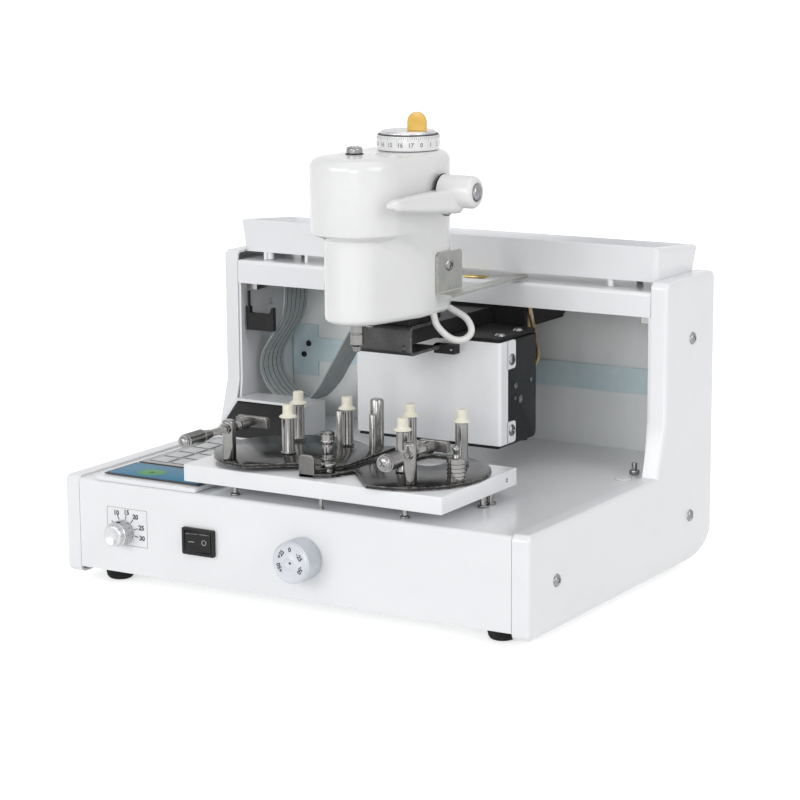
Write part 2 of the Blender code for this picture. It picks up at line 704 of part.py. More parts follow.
def screw_profile(radius, height, shank, length):
    """A domed screw: its shank reaches back by length behind the seat of the head."""
    return [(0, -length), (shank, -length), (shank, 0)] + dome(radius, height)


def knurled(radius, low, high, count=KNURL_COUNT, depth=KNURL_DEPTH):
    """Two radii to alternate round a knurled band, with the band's ends."""
    return radius, radius - depth, low, high, count


def add_knurled(bm, band, base, axis):
    """Adds a knurled band as a toothed prism with closed ends."""
    outer, inner, low, high, count = band
    turn = AXES[axis]
    rings = []
    for height in (low, high):
        ring = []
        for step in range(2 * count):
            radius = inner if step % 2 else outer
            angle = math.pi * step / count
            spot = Vector((radius * math.cos(angle), radius * math.sin(angle), height))
            ring.append(Vector(base) + turn @ spot)
        rings.append(ring)
    return add_loft(bm, rings)


def bevel(bm, edges, width, segments=2):
    """Rounds the given edges."""
    bmesh.ops.bevel(bm, geom=list(edges), offset=width, segments=segments,
                    profile=0.5, affect="EDGES", clamp_overlap=True)


def edges_along(bm, axis):
    """The edges that run parallel to one axis."""
    index = "XYZ".index(axis)
    found = []
    for edge in bm.edges:
        run = (edge.verts[1].co - edge.verts[0].co).normalized()
        if abs(run[index]) > 0.999:
            found.append(edge)
    return found


def to_world(place):
    """Moves a place from the case's frame to the frame of the whole machine."""
    return Vector((place[0], place[1] - CENTRE_Y, place[2]))


def place_object(name, bm, finish, pivot=(0, 0, 0), smooth=35):
    """Makes the node's object, with its origin at its pivot."""
    centre = to_world(pivot) if any(pivot) else Vector((0, 0, 0))
    for vert in bm.verts:
        vert.co = to_world(vert.co) - centre
    mesh = bpy.data.meshes.new(name)
    bm.to_mesh(mesh)
    bm.free()
    mesh.materials.append(finish_of(finish))
    mesh.shade_smooth()
    mesh.set_sharp_from_angle(angle=math.radians(smooth))
    made = bpy.data.objects.new(name, mesh)
    made.location = centre
    bpy.context.scene.collection.objects.link(made)
    return made


def cut(target, bm, operation="DIFFERENCE"):
    """Cuts a shape out of an object, or joins it on, with a hidden tool."""
    tool = place_object(target.name + "_tool", bm, "rubber")
    tool.hide_render = True
    tool.display_type = "WIRE"
    change = target.modifiers.new("change", "BOOLEAN")
    change.operation = operation
    change.object = tool
    return tool


def new():
    """A fresh bmesh."""
    return bmesh.new()


def smooth_route(points, steps):
    """Reads evenly spaced points from a smooth curve through the given ones."""
    spots = [Vector(point) for point in points]
    spots = [2 * spots[0] - spots[1]] + spots + [2 * spots[-1] - spots[-2]]
    fine = []
    for index in range(1, len(spots) - 2):
        before, start, end, after = spots[index - 1:index + 3]
        for step in range(ROUTE_FINENESS):
            share = step / ROUTE_FINENESS
            bend = (2 * start + (end - before) * share
                    + (2 * before - 5 * start + 4 * end - after) * share ** 2
                    + (3 * start - before - 3 * end + after) * share ** 3)
            fine.append(bend / 2)
    fine.append(spots[-2])
    lengths = [0]
    for here, there in zip(fine, fine[1:]):
        lengths.append(lengths[-1] + (there - here).length)
    route = []
    index = 0
    for step in range(steps + 1):
        wanted = lengths[-1] * step / steps
        while index < len(fine) - 2 and lengths[index + 1] < wanted:
            index += 1
        run = lengths[index + 1] - lengths[index]
        share = (wanted - lengths[index]) / run if run else 0
        route.append(fine[index].lerp(fine[index + 1], min(share, 1)))
    return route, lengths[-1]


def make_cord(name, routes, radius, finish, steps):
    """A round cord for each route, as curves with filled caps."""
    curve = bpy.data.curves.new(name, "CURVE")
    curve.dimensions = "3D"
    curve.bevel_depth = radius
    curve.bevel_resolution = 2
    curve.use_fill_caps = True
    for points in routes:
        route, length = smooth_route(points, steps)
        print(name, "length in mm", round(length / MM, 1))
        spline = curve.splines.new("POLY")
        spline.points.add(len(route) - 1)
        for point, spot in zip(spline.points, route):
            point.co = (*to_world(spot), 1)
    curve.materials.append(finish_of(finish))
    made = bpy.data.objects.new(name, curve)
    bpy.context.scene.collection.objects.link(made)
    return made


# Case

def side_outline():
    """Side panel seen from the right, as (y, z): low sill, slanted step, tall rear pillar."""
    rear_low = (CASE_DEPTH - REAR_CURVE_REACH, SIDE_BOTTOM + REAR_CURVE_RISE)
    rear_high = (CASE_DEPTH - PILLAR_ROUND, CASE_TOP - PILLAR_ROUND)
    front_high = (PILLAR_FRONT + PILLAR_ROUND, CASE_TOP - PILLAR_ROUND)
    sill = (PILLAR_ROUND, SILL_HEIGHT - PILLAR_ROUND)
    foot = (PILLAR_ROUND, SIDE_BOTTOM + PILLAR_ROUND)
    round_corner = (PILLAR_ROUND, PILLAR_ROUND)
    points = arc(foot, round_corner, 270, 180, CORNER_STEPS)
    points += arc(sill, round_corner, 180, 90, CORNER_STEPS)
    points += [(SLANT_START, SILL_HEIGHT), (PILLAR_FRONT, SLANT_TOP)]
    points += arc(front_high, round_corner, 180, 90, CORNER_STEPS)
    points += arc(rear_high, round_corner, 90, 0, CORNER_STEPS)
    points += arc(rear_low, (REAR_CURVE_REACH, REAR_CURVE_RISE), 0, -90, SKIRT_STEPS)
    return points


def side_panel(name, side):
    """A folded tray: an outer skin with a return all round, open to the inside."""
    bm = new()
    outer = side * HALF_WIDTH
    inner = side * (HALF_WIDTH - SIDE_WIDTH)
    faces = add_prism(bm, side_outline(), "X", outer, inner)
    skin, mouth = faces[0], faces[1]
    bevel(bm, skin.edges, EDGE_ROUND, FOLD_STEPS)
    mouth = min(bm.faces, key=lambda face: abs(face.calc_center_median().x - inner))
    bmesh.ops.inset_region(bm, faces=[mouth], thickness=SHEET, use_even_offset=True)
    pushed = bmesh.ops.extrude_face_region(bm, geom=[mouth])
    bm.faces.remove(mouth)
    shift = Vector((side * (SIDE_WIDTH - SHEET), 0, 0))
    moved = [item for item in pushed["geom"] if isinstance(item, bmesh.types.BMVert)]
    bmesh.ops.translate(bm, verts=moved, vec=shift)
    bmesh.ops.recalc_face_normals(bm, faces=bm.faces)
    panel = place_object(name, bm, "white_paint")
    screws = new()
    length = SIDE_WIDTH + GAP + SHEET
    for y, z in side_screw_places():
        seat = side * (HALF_WIDTH - GAP / 2)
        profile = screw_profile(SIDE_SCREW_HEAD, SIDE_SCREW_DOME, SIDE_SCREW_SHANK, length)
        add_turned(screws, profile, (seat, y, z), "X" if side > 0 else "-X", SMALL_STEPS)
    cut(panel, screws, "UNION")


def rod(radius, length, start=0):
    """The profile of a plain round bar."""
    return [(0, start), (radius, start), (radius, start + length), (0, start + length)]


def side_screw_places():
    """Three screws in each side panel, as y and z."""
    return [(SIDE_SCREW_FRONT_Y, SIDE_SCREW_LOW_Z), (SIDE_SCREW_REAR_Y, SIDE_SCREW_LOW_Z),
            (SIDE_SCREW_REAR_Y, SIDE_SCREW_HIGH_Z)]


def front_top_cover():
    """One folded sheet: the front panel and the deck, with the bend between them."""
    bend = (BEND, DECK_HEIGHT - BEND)
    outline = [(0, PANEL_BOTTOM)] + arc(bend, (BEND, BEND), 180, 90, CORNER_STEPS)
    outline += [(BACK_FACE - GAP, DECK_HEIGHT), (BACK_FACE - GAP, DECK_HEIGHT - SHEET)]
    inner = BEND - SHEET
    outline += arc(bend, (inner, inner), 90, 180, CORNER_STEPS) + [(SHEET, PANEL_BOTTOM)]
    bm = new()
    add_prism(bm, outline, "X", -PANEL_HALF, PANEL_HALF)
    cover = place_object("front_top_cover", bm, "white_paint")
    holes = new()
    half_width = SWITCH_WIDTH / 2 - SWITCH_RIM / 2 + GAP
    half_height = SWITCH_HEIGHT / 2 - SWITCH_RIM / 2 + GAP
    add_box(holes, (SWITCH_X - half_width, -OVERRUN, SWITCH_Z - half_height),
            (SWITCH_X + half_width, SHEET + OVERRUN, SWITCH_Z + half_height))
    for x, z in ((SPEED_X, SPEED_Z), (OFFSET_X, OFFSET_Z)):
        add_turned(holes, rod(SHAFT_RADIUS + GAP, SHEET + 2 * OVERRUN),
                   (x, -OVERRUN, z), "Y", SMALL_STEPS)
    cut(cover, holes)


def rear_pan():
    """One folded sheet: the floor, two low sides and the tall back with the inlet's cut-out."""
    back = BACK_FACE + SHEET
    outline = [(SHEET + GAP, PANEL_BOTTOM), (back, PANEL_BOTTOM), (back, BEAM_TOP),
               (BACK_FACE, BEAM_TOP), (BACK_FACE, PANEL_BOTTOM + SHEET),
               (SHEET + GAP, PANEL_BOTTOM + SHEET)]
    bm = new()
    add_prism(bm, outline, "X", -PANEL_HALF, PANEL_HALF)
    pan = place_object("rear_pan", bm, "light_grey")
    sides = new()
    for low, high in ((-PANEL_HALF, -LINER_HALF), (LINER_HALF, PANEL_HALF)):
        add_box(sides, (low, SHEET + GAP, PANEL_BOTTOM + SHEET / 2),
                (high, BACK_FACE + SHEET / 2, DECK_HEIGHT - SHEET - GAP))
    cut(pan, sides, "UNION")
    holes = new()
    for y in (SIDE_SCREW_FRONT_Y, SIDE_SCREW_REAR_Y):
        add_turned(holes, rod(SIDE_SCREW_SHANK + GAP, 2 * HALF_WIDTH),
                   (-HALF_WIDTH, y, SIDE_SCREW_LOW_Z), "X", SMALL_STEPS)
    half_width = INLET_WIDTH / 2 + GAP
    half_height = INLET_HEIGHT / 2 + GAP
    add_box(holes, (INLET_X - half_width, BACK_FACE - OVERRUN, INLET_Z - half_height),
            (INLET_X + half_width, BACK_FACE + SHEET + OVERRUN, INLET_Z + half_height))
    cut(pan, holes)


def beam_frame():
    """Folded beam with the pillars' inner walls: front web, top and rear lip, open below."""
    bend = (BEAM_FRONT + BEND, BEAM_TOP - BEND)
    inner = BEND - SHEET
    back = BACK_FACE - GAP
    outline = [(BEAM_FRONT, BEAM_BOTTOM)] + arc(bend, (BEND, BEND), 180, 90, CORNER_STEPS)
    outline += [(back, BEAM_TOP), (back, BEAM_TOP - BEAM_REAR_LIP),
                (back - SHEET, BEAM_TOP - BEAM_REAR_LIP), (back - SHEET, BEAM_TOP - SHEET)]
    outline += arc(bend, (inner, inner), 90, 180, CORNER_STEPS) + [(BEAM_FRONT + SHEET, BEAM_BOTTOM)]
    bm = new()
    add_prism(bm, outline, "X", -PANEL_HALF, PANEL_HALF)
    frame = place_object("beam_frame", bm, "white_paint")
    front = PILLAR_FRONT + SHEET / 2
    rear = back - SHEET / 2
    top = BEAM_TOP - SHEET / 2
    wall = [(SLANT_START + SIDE_WIDTH / 2, DECK_SEAT), (front, SLANT_TOP), (front, top),
            (rear, top), (rear, DECK_SEAT)]
    walls = new()
    for low, high in ((-PANEL_HALF, -LINER_HALF), (LINER_HALF, PANEL_HALF)):
        add_prism(walls, wall, "X", low, high)
    cut(frame, walls, "UNION")
    hole = new()
    add_turned(hole, rod(SIDE_SCREW_SHANK + GAP, 2 * HALF_WIDTH),
               (-HALF_WIDTH, SIDE_SCREW_REAR_Y, SIDE_SCREW_HIGH_Z), "X", SMALL_STEPS)
    cut(frame, hole)


def parts_tray():
    """Long open tray whose ends slope down to a lower back wall."""
    rim = TRAY_RIM_WIDTH / 2
    foot = rim - TRAY_TAPER
    bm = new()
    low = [(-foot, TRAY_FRONT + TRAY_TAPER, TRAY_BOTTOM), (foot, TRAY_FRONT + TRAY_TAPER, TRAY_BOTTOM),
           (foot, TRAY_BACK - TRAY_TAPER, TRAY_BOTTOM), (-foot, TRAY_BACK - TRAY_TAPER, TRAY_BOTTOM)]
    high = [(-rim, TRAY_FRONT, TRAY_FRONT_TOP), (rim, TRAY_FRONT, TRAY_FRONT_TOP),
            (rim, TRAY_BACK, TRAY_REAR_TOP), (-rim, TRAY_BACK, TRAY_REAR_TOP)]
    add_loft(bm, [low, high])
    upright = [edge for edge in bm.edges
               if abs(edge.verts[0].co.z - edge.verts[1].co.z) > TRAY_ROUND]
    bevel(bm, upright, TRAY_ROUND, FOLD_STEPS)
    top = max(bm.faces, key=lambda face: face.calc_center_median().z)
    bmesh.ops.inset_region(bm, faces=[top], thickness=TRAY_WALL, use_even_offset=True)
    pushed = bmesh.ops.extrude_face_region(bm, geom=[top])
    bm.faces.remove(top)
    shares = ((foot - TRAY_WALL) / (rim - TRAY_WALL),
              (TRAY_BACK - TRAY_FRONT - 2 * TRAY_TAPER - 2 * TRAY_WALL)
              / (TRAY_BACK - TRAY_FRONT - 2 * TRAY_WALL))
    middle = (TRAY_FRONT + TRAY_BACK) / 2
    for item in pushed["geom"]:
        if isinstance(item, bmesh.types.BMVert):
            item.co.x *= shares[0]
            item.co.y = middle + (item.co.y - middle) * shares[1]
            item.co.z = TRAY_BOTTOM + TRAY_WALL
    bmesh.ops.recalc_face_normals(bm, faces=bm.faces)
    tray = place_object("parts_tray", bm, "white_paint")
    pins = new()
    low = BEAM_TOP + GAP
    height = TRAY_BOTTOM + TRAY_WALL / 2 - low
    for x in (STANDOFF_LEFT_X, STANDOFF_RIGHT_X):
        for y in (STANDOFF_FRONT_Y, STANDOFF_REAR_Y):
            add_turned(pins, rod(STANDOFF_RADIUS, height), (x, y, low), "Z", SMALL_STEPS)
    cut(tray, pins, "UNION")


def rail_strip():
    """Galvanised strip on the back panel, with a wider plate at its left end."""
    back = BACK_FACE - GAP
    plate_top = RAIL_PLATE_BOTTOM + RAIL_PLATE_HEIGHT
    top = RAIL_BOTTOM + RAIL_HEIGHT
    outline = [(RAIL_PLATE_LEFT, RAIL_PLATE_BOTTOM), (RAIL_LEFT, RAIL_PLATE_BOTTOM),
               (RAIL_LEFT, RAIL_BOTTOM), (INSIDE_HALF, RAIL_BOTTOM), (INSIDE_HALF, top),
               (RAIL_LEFT, top), (RAIL_LEFT, plate_top), (RAIL_PLATE_LEFT, plate_top)]
    bm = new()
    add_prism(bm, outline, "Y", back - THIN_SHEET, back)
    place_object("rail_strip", bm, "galvanised")


def rear_housing():
    """Low box on the left of the deck. Its slanted front is open round a dark plate."""
    outline = [(HOUSING_FRONT_Y, DECK_SEAT), (HOUSING_SLANT_Y, HOUSING_TOP),
               (HOUSING_BACK_Y, HOUSING_TOP), (HOUSING_BACK_Y, DECK_SEAT)]
    bm = new()
    add_prism(bm, outline, "X", -INSIDE_HALF, HOUSING_RIGHT)
    slant = Vector((0, HOUSING_SLANT_Y - HOUSING_FRONT_Y, HOUSING_TOP - DECK_SEAT)).normalized()
    inward = Vector((0, 1, 0))
    front = min(bm.faces, key=lambda face: face.normal.dot(inward))
    bmesh.ops.inset_region(bm, faces=[front], thickness=HOUSING_RIM, use_even_offset=True)
    corners = [vert.co.copy() for vert in front.verts]
    pushed = bmesh.ops.extrude_face_region(bm, geom=[front])
    bm.faces.remove(front)
    moved = [item for item in pushed["geom"] if isinstance(item, bmesh.types.BMVert)]
    bmesh.ops.translate(bm, verts=moved, vec=inward * HOUSING_CAVITY)
    bmesh.ops.recalc_face_normals(bm, faces=bm.faces)
    place_object("rear_housing", bm, "white_paint")
    plate = new()
    middle = sum(corners, Vector()) / len(corners)
    rings = []
    for depth in (HOUSING_SET_BACK, HOUSING_SET_BACK + HOUSING_PLATE):
        ring = []
        for corner in corners:
            away = corner - middle
            run = away.dot(slant)
            across = away.x
            across -= math.copysign(GAP, across)
            run -= math.copysign(GAP, run)
            ring.append(middle + slant * run + Vector((across, 0, 0)) + inward * depth)
        rings.append(ring)
    add_loft(plate, rings)
    place_object("housing_front", plate, "black_plastic")


def cable_hook():
    """Black hook that hangs by a thin rod from the left end block of the rods."""
    outline = [(HOOK_LEFT, HOOK_HORN_TOP), (HOOK_LEFT, HOOK_BOTTOM),
               (HOOK_RIGHT, HOOK_BOTTOM), (HOOK_RIGHT, HOOK_HORN_TOP),
               (HOOK_RIGHT - HOOK_HORN / 2, HOOK_HORN_TOP), (HOOK_RIGHT - HOOK_HORN, HOOK_BAR_TOP),
               (HOOK_LEFT + HOOK_HORN, HOOK_BAR_TOP), (HOOK_LEFT + HOOK_HORN, HOOK_HORN_TOP)]
    bm = new()
    add_prism(bm, outline, "Y", HOOK_Y, HOOK_Y + HOOK_DEPTH)
    bevel(bm, edges_along(bm, "Y"), BEND / 4, 2)
    hook = place_object("cable_hook", bm, "black_plastic")
    stem = new()
    add_turned(stem, rod(HOOK_ROD, HOOK_ROD_TOP - HOOK_BAR_TOP),
               (HOOK_LEFT + HOOK_HORN / 2, HOOK_Y + HOOK_DEPTH / 2, HOOK_BAR_TOP), "Z",
               SMALL_STEPS)
    cut(hook, stem, "UNION")


def rubber_feet():
    """Four turned feet under the pan."""
    height = PANEL_BOTTOM - GAP
    profile = [(0, 0), (FOOT_RADIUS - EDGE_ROUND / 3, 0), (FOOT_RADIUS, EDGE_ROUND / 3),
               (FOOT_RADIUS, height), (0, height)]
    for across, x in (("left", -FOOT_X), ("right", FOOT_X)):
        for along, y in (("front", FOOT_FRONT_Y), ("rear", FOOT_REAR_Y)):
            bm = new()
            add_turned(bm, profile, (x, y, 0), "Z", SMALL_STEPS)
            place_object("rubber_foot_" + along + "_" + across, bm, "rubber")


def mains_inlet():
    """Recessed three-pin inlet, clipped into the back panel from behind."""
    back = BACK_FACE + SHEET + GAP
    half_width = INLET_WIDTH / 2
    half_height = INLET_HEIGHT / 2
    bm = new()
    add_box(bm, (INLET_X - half_width, BACK_FACE - INLET_DEPTH, INLET_Z - half_height),
            (INLET_X + half_width, back, INLET_Z + half_height))
    inlet = place_object("mains_inlet", bm, "black_plastic")
    flange = new()
    add_box(flange, (INLET_X - half_width - INLET_FLANGE, back, INLET_Z - half_height - INLET_FLANGE),
            (INLET_X + half_width + INLET_FLANGE, back + INLET_FLANGE_DEPTH,
             INLET_Z + half_height + INLET_FLANGE))
    cut(inlet, flange, "UNION")
    recess = new()
    add_box(recess, (INLET_X - half_width + INLET_WALL, back - INLET_RECESS,
                     INLET_Z - half_height + INLET_WALL),
            (INLET_X + half_width - INLET_WALL, back + OVERRUN + INLET_FLANGE_DEPTH,
             INLET_Z + half_height - INLET_WALL))
    cut(inlet, recess)
    pins = new()
    for step in (-1, 0, 1):
        x = INLET_X + step * INLET_PIN_STEP
        add_box(pins, (x - INLET_PIN / 2, back - INLET_RECESS - GAP, INLET_Z - INLET_PIN),
                (x + INLET_PIN / 2, back - INLET_RECESS + INLET_PIN_LENGTH, INLET_Z + INLET_PIN))
    cut(inlet, pins, "UNION")


# Front controls

def rocker_switch():
    """Switch body with its bezel in front of the panel, and the rocker in its well."""
    half_width = SWITCH_WIDTH / 2
    half_height = SWITCH_HEIGHT / 2
    neck = SWITCH_RIM / 2
    front = -GAP - SWITCH_BEZEL
    bm = new()
    add_box(bm, (SWITCH_X - half_width, front, SWITCH_Z - half_height),
            (SWITCH_X + half_width, -GAP, SWITCH_Z + half_height))
    bevel(bm, edges_along(bm, "Y"), SWITCH_RIM / 2, 2)
    body = place_object("switch_body", bm, "black_plastic")
    rear = new()
    add_box(rear, (SWITCH_X - half_width + neck, -GAP - SWITCH_BEZEL / 2, SWITCH_Z - half_height + neck),
            (SWITCH_X + half_width - neck, SWITCH_BODY_DEPTH, SWITCH_Z + half_height - neck))
    cut(body, rear, "UNION")
    well = new()
    inner_width = half_width - SWITCH_RIM
    inner_height = half_height - SWITCH_RIM
    add_box(well, (SWITCH_X - inner_width, front - OVERRUN, SWITCH_Z - inner_height),
            (SWITCH_X + inner_width, front + SWITCH_WELL, SWITCH_Z + inner_height))
    cut(body, well)
    rocker = new()
    half = inner_width - ROCKER_THROAT
    lift = half * math.tan(ROCKER_TILT)
    pivot = (SWITCH_X, front + SWITCH_WELL / 2, SWITCH_Z)
    outline = [(-half, -SWITCH_WELL / 2 - lift / 2), (0, -SWITCH_WELL / 2 + lift / 3),
               (half, -SWITCH_WELL / 2 - lift / 2), (half - ROCKER_TAPER, 0),
               (0, SWITCH_WELL / 2 - GAP), (ROCKER_TAPER - half, 0)]
    turn = Matrix.Rotation(ROCKER_TILT, 2)
    turned = []
    for point in outline:
        spot = turn @ Vector(point)
        turned.append((spot.x + pivot[0], spot.y + pivot[1]))
    add_prism(rocker, turned, "Z", SWITCH_Z - inner_height + GAP, SWITCH_Z + inner_height - GAP)
    place_object("switch_rocker", rocker, "black_plastic", pivot)


def speed_knob():
    """Small turned knob with a knurled waist and its shaft through the panel."""
    base = (SPEED_X, 0, SPEED_Z)
    reach = SPEED_REACH
    bm = new()
    step = SPEED_BASE_REACH
    profile = [(0, KNOB_START), (SPEED_BASE_RADIUS, KNOB_START), (SPEED_BASE_RADIUS, step - KNOB_START),
               (SPEED_BASE_RADIUS - KNOB_START, step), (SPEED_RADIUS, step),
               (SPEED_RADIUS, reach - KNOB_START), (SPEED_FACE_RADIUS, reach), (0, reach)]
    add_turned(bm, profile, base, "-Y")
    knob = place_object("speed_knob", bm, "aluminium", base)
    shaft = new()
    add_turned(shaft, rod(SHAFT_RADIUS, SHAFT_LENGTH + KNOB_START), (SPEED_X, -2 * KNOB_START, SPEED_Z),
               "Y", SMALL_STEPS)
    cut(knob, shaft, "UNION")


def offset_dial():
    """Graduated dial with a knurled rim, a dished face and a small centre ring."""
    base = (OFFSET_X, 0, OFFSET_Z)
    bm = new()
    back = OFFSET_REACH / 2
    add_knurled(bm, knurled(OFFSET_RADIUS, KNOB_START, OFFSET_REACH - KNOB_START), base, "-Y")
    dial = place_object("offset_dial", bm, "aluminium", base)
    face = new()
    front = OFFSET_REACH - KNOB_START
    profile = [(0, back), (OFFSET_FACE_RADIUS, back), (OFFSET_FACE_RADIUS, front),
               (OFFSET_FACE_RADIUS - OFFSET_DISH, OFFSET_REACH), (OFFSET_BOSS + OFFSET_DISH, OFFSET_REACH),
               (OFFSET_BOSS, OFFSET_REACH - OFFSET_DISH), (0, OFFSET_REACH - OFFSET_DISH)]
    add_turned(face, profile, base, "-Y")
    cut(dial, face, "UNION")
    shaft = new()
    add_turned(shaft, rod(SHAFT_RADIUS, SHAFT_LENGTH + KNOB_START), (OFFSET_X, -2 * KNOB_START, OFFSET_Z),
               "Y", SMALL_STEPS)
    cut(dial, shaft, "UNION")


def add_turned_open(bm, profile, base, axis, steps):
    """Turns a profile whose last point joins its first, as for a cup or a tube."""
    turn = AXES[axis]
    rings = []
    for radius, height in profile:
        count = steps if radius > 0 else 1
        ring = []
        for step in range(count):
            angle = 2 * math.pi * step / steps
            spot = Vector((radius * math.cos(angle), radius * math.sin(angle), height))
            ring.append(bm.verts.new(Vector(base) + turn @ spot))
        rings.append(ring)
    faces = []
    pairs = list(zip(rings, rings[1:] + rings[:1]))
    for lower, upper in pairs:
        if len(lower) == 1 and len(upper) == 1:
            continue
        faces += join_rings(bm, lower, upper)
    bmesh.ops.recalc_face_normals(bm, faces=faces)
    return faces


def control_plate():
    """Raised plate on the deck that carries the display and the keypad."""
    bm = new()
    add_box(bm, (CONTROL_LEFT, 0, DECK_SEAT), (CONTROL_RIGHT, CONTROL_BACK, CONTROL_TOP))
    bevel(bm, edges_along(bm, "Z"), BEND, 2)
    place_object("control_plate", bm, "white_paint")
    low = CONTROL_TOP + GAP
    left = CONTROL_LEFT + CONTROL_MARGIN
    right = CONTROL_RIGHT - CONTROL_MARGIN
    window = new()
    add_box(window, (left, DISPLAY_FRONT, low), (right, DISPLAY_BACK, low + FILM))
    place_object("display_window", window, "display")
    keys = new()
    add_box(keys, (left, KEYPAD_FRONT, low), (right, CONTROL_BACK - CONTROL_MARGIN, low + FILM))
    place_object("membrane_keypad", keys, "keypad")


# Table and clamps

def table_plate():
    """Thick white plate with a small hole in its right end."""
    bm = new()
    add_box(bm, (TABLE_LEFT, TABLE_FRONT, TABLE_BOTTOM), (TABLE_RIGHT, TABLE_BACK, TABLE_TOP))
    bevel(bm, bm.edges, TABLE_ROUND, 2)
    table = place_object("table_plate", bm, "white_paint")
    hole = new()
    middle = (TABLE_BOTTOM + TABLE_TOP) / 2
    add_turned(hole, rod(TABLE_HOLE_RADIUS, TABLE_HOLE_DEPTH + OVERRUN),
               (TABLE_RIGHT - TABLE_HOLE_DEPTH, TABLE_HOLE_Y, middle), "X", SMALL_STEPS)
    cut(table, hole)
    legs = new()
    places = [(TABLE_LEG_LEFT_X, TABLE_LEG_FRONT_Y), (TABLE_LEG_MIDDLE_X, TABLE_LEG_MIDDLE_Y),
              (TABLE_LEG_RIGHT_X, TABLE_LEG_FRONT_Y), (TABLE_LEG_FAR_X, TABLE_LEG_BACK_Y),
              (TABLE_LEG_LEFT_X, TABLE_LEG_BACK_Y)]
    for x, y in places:
        add_turned(legs, rod(TABLE_LEG_RADIUS, middle - DECK_SEAT), (x, y, DECK_SEAT), "Z",
                   SMALL_STEPS)
    cut(table, legs, "UNION")


def left_plate_outline():
    """Round plate cut straight at its front right, with a tongue past the pivot."""
    points = arc((LEFT_DISC_X, STATION_Y), (DISC_RADIUS, DISC_RADIUS), *LEFT_DISC_ARC, DISC_STEPS)
    points += [(TONGUE_RIGHT - BEND, TONGUE_BACK), (TONGUE_RIGHT, TONGUE_BACK - BEND),
               (TONGUE_RIGHT, TONGUE_SHOULDER_Y), (PIVOT_X - BEND, TONGUE_FRONT_Y),
               (TAB_RIGHT + 2 * GAP, TONGUE_FRONT_Y), (TAB_RIGHT + 2 * GAP, PIVOT_Y),
               (TAB_LEFT, PIVOT_Y)]
    return points


def right_plate_outline():
    """Round plate cut straight at its front left, with an ear under the tongue."""
    points = arc((RIGHT_DISC_X, STATION_Y), (DISC_RADIUS, DISC_RADIUS), *RIGHT_DISC_ARC, DISC_STEPS)
    points += [(PIVOT_X - PIVOT_DISC_RADIUS, TONGUE_SHOULDER_Y + BEND),
               (TAB_LEFT, PIVOT_Y + BEND), (TAB_LEFT, TAB_FRONT), (TAB_RIGHT, TAB_FRONT),
               (PIVOT_X + PIVOT_DISC_RADIUS, TONGUE_FRONT_Y),
               (PIVOT_X + 2 * PIVOT_DISC_RADIUS, TONGUE_SHOULDER_Y - BEND)]
    return points


def clamp_plates():
    """The two swivelling plates on one pivot, with their seats for posts and the bent-up tab."""
    left = new()
    add_prism(left, left_plate_outline(), "Z", UPPER_PLATE_Z, UPPER_PLATE_TOP)
    plate = place_object("clamp_plate_left", left, "dark_steel", CLAMP_PIVOT)
    bore = new()
    add_turned(bore, rod(PIVOT_BOLT_RADIUS + GAP, SIDE_WIDTH),
               (PIVOT_X, PIVOT_Y, TABLE_TOP - OVERRUN), "Z", SMALL_STEPS)
    cut(plate, bore)
    pins = new()
    add_stop_pins(pins, UPPER_PLATE_Z + PLATE_THICKNESS / 2)
    cut(plate, pins, "UNION")
    right = new()
    add_prism(right, right_plate_outline(), "Z", LOWER_PLATE_Z, LOWER_PLATE_TOP)
    plate = place_object("clamp_plate_right", right, "dark_steel", CLAMP_PIVOT)
    tab = new()
    add_box(tab, (TAB_LEFT, TAB_FRONT, LOWER_PLATE_Z + PLATE_THICKNESS / 2),
            (TAB_RIGHT, TAB_FRONT + PLATE_THICKNESS, TAB_TOP))
    top_edges = [edge for edge in edges_along(tab, "Y")
                 if edge.verts[0].co.z > LOWER_PLATE_TOP]
    bevel(tab, top_edges, BEND, FOLD_STEPS)
    cut(plate, tab, "UNION")
    holes = new()
    add_turned(holes, rod(PIVOT_DISC_RADIUS + GAP, SIDE_WIDTH),
               (PIVOT_X, PIVOT_Y, TABLE_TOP - OVERRUN), "Z", ROUND_STEPS)
    add_turned(holes, rod(WINDOW_RADIUS, SIDE_WIDTH),
               (WINDOW_X, WINDOW_Y, TABLE_TOP - OVERRUN), "Z", ROUND_STEPS)
    cut(plate, holes)
    sleeve = new()
    add_plunger_sleeve(sleeve, LOWER_PLATE_Z + PLATE_THICKNESS / 2)
    cut(plate, sleeve, "UNION")


def pivot_disc():
    """Shouldered pivot: a wide disc on the table and a bolt through the upper plate."""
    bm = new()
    low = TABLE_TOP + GAP
    shoulder = UPPER_PLATE_Z - GAP
    top = UPPER_PLATE_TOP + GAP
    head = top + BEND
    wide = PIVOT_BOLT_RADIUS + SHEET
    profile = [(0, low), (PIVOT_DISC_RADIUS, low), (PIVOT_DISC_RADIUS, shoulder),
               (PIVOT_BOLT_RADIUS, shoulder), (PIVOT_BOLT_RADIUS, top), (wide, top), (wide, head),
               (0, head)]
    add_turned(bm, profile, (PIVOT_X, PIVOT_Y, 0), "Z")
    place_object("pivot_disc", bm, "bright_steel")


def trio_places(middle):
    """One post at the front and two behind it, for one lens."""
    return [(middle, TRIO_FRONT_Y), (middle - TRIO_HALF, TRIO_BACK_Y),
            (middle + TRIO_HALF, TRIO_BACK_Y)]


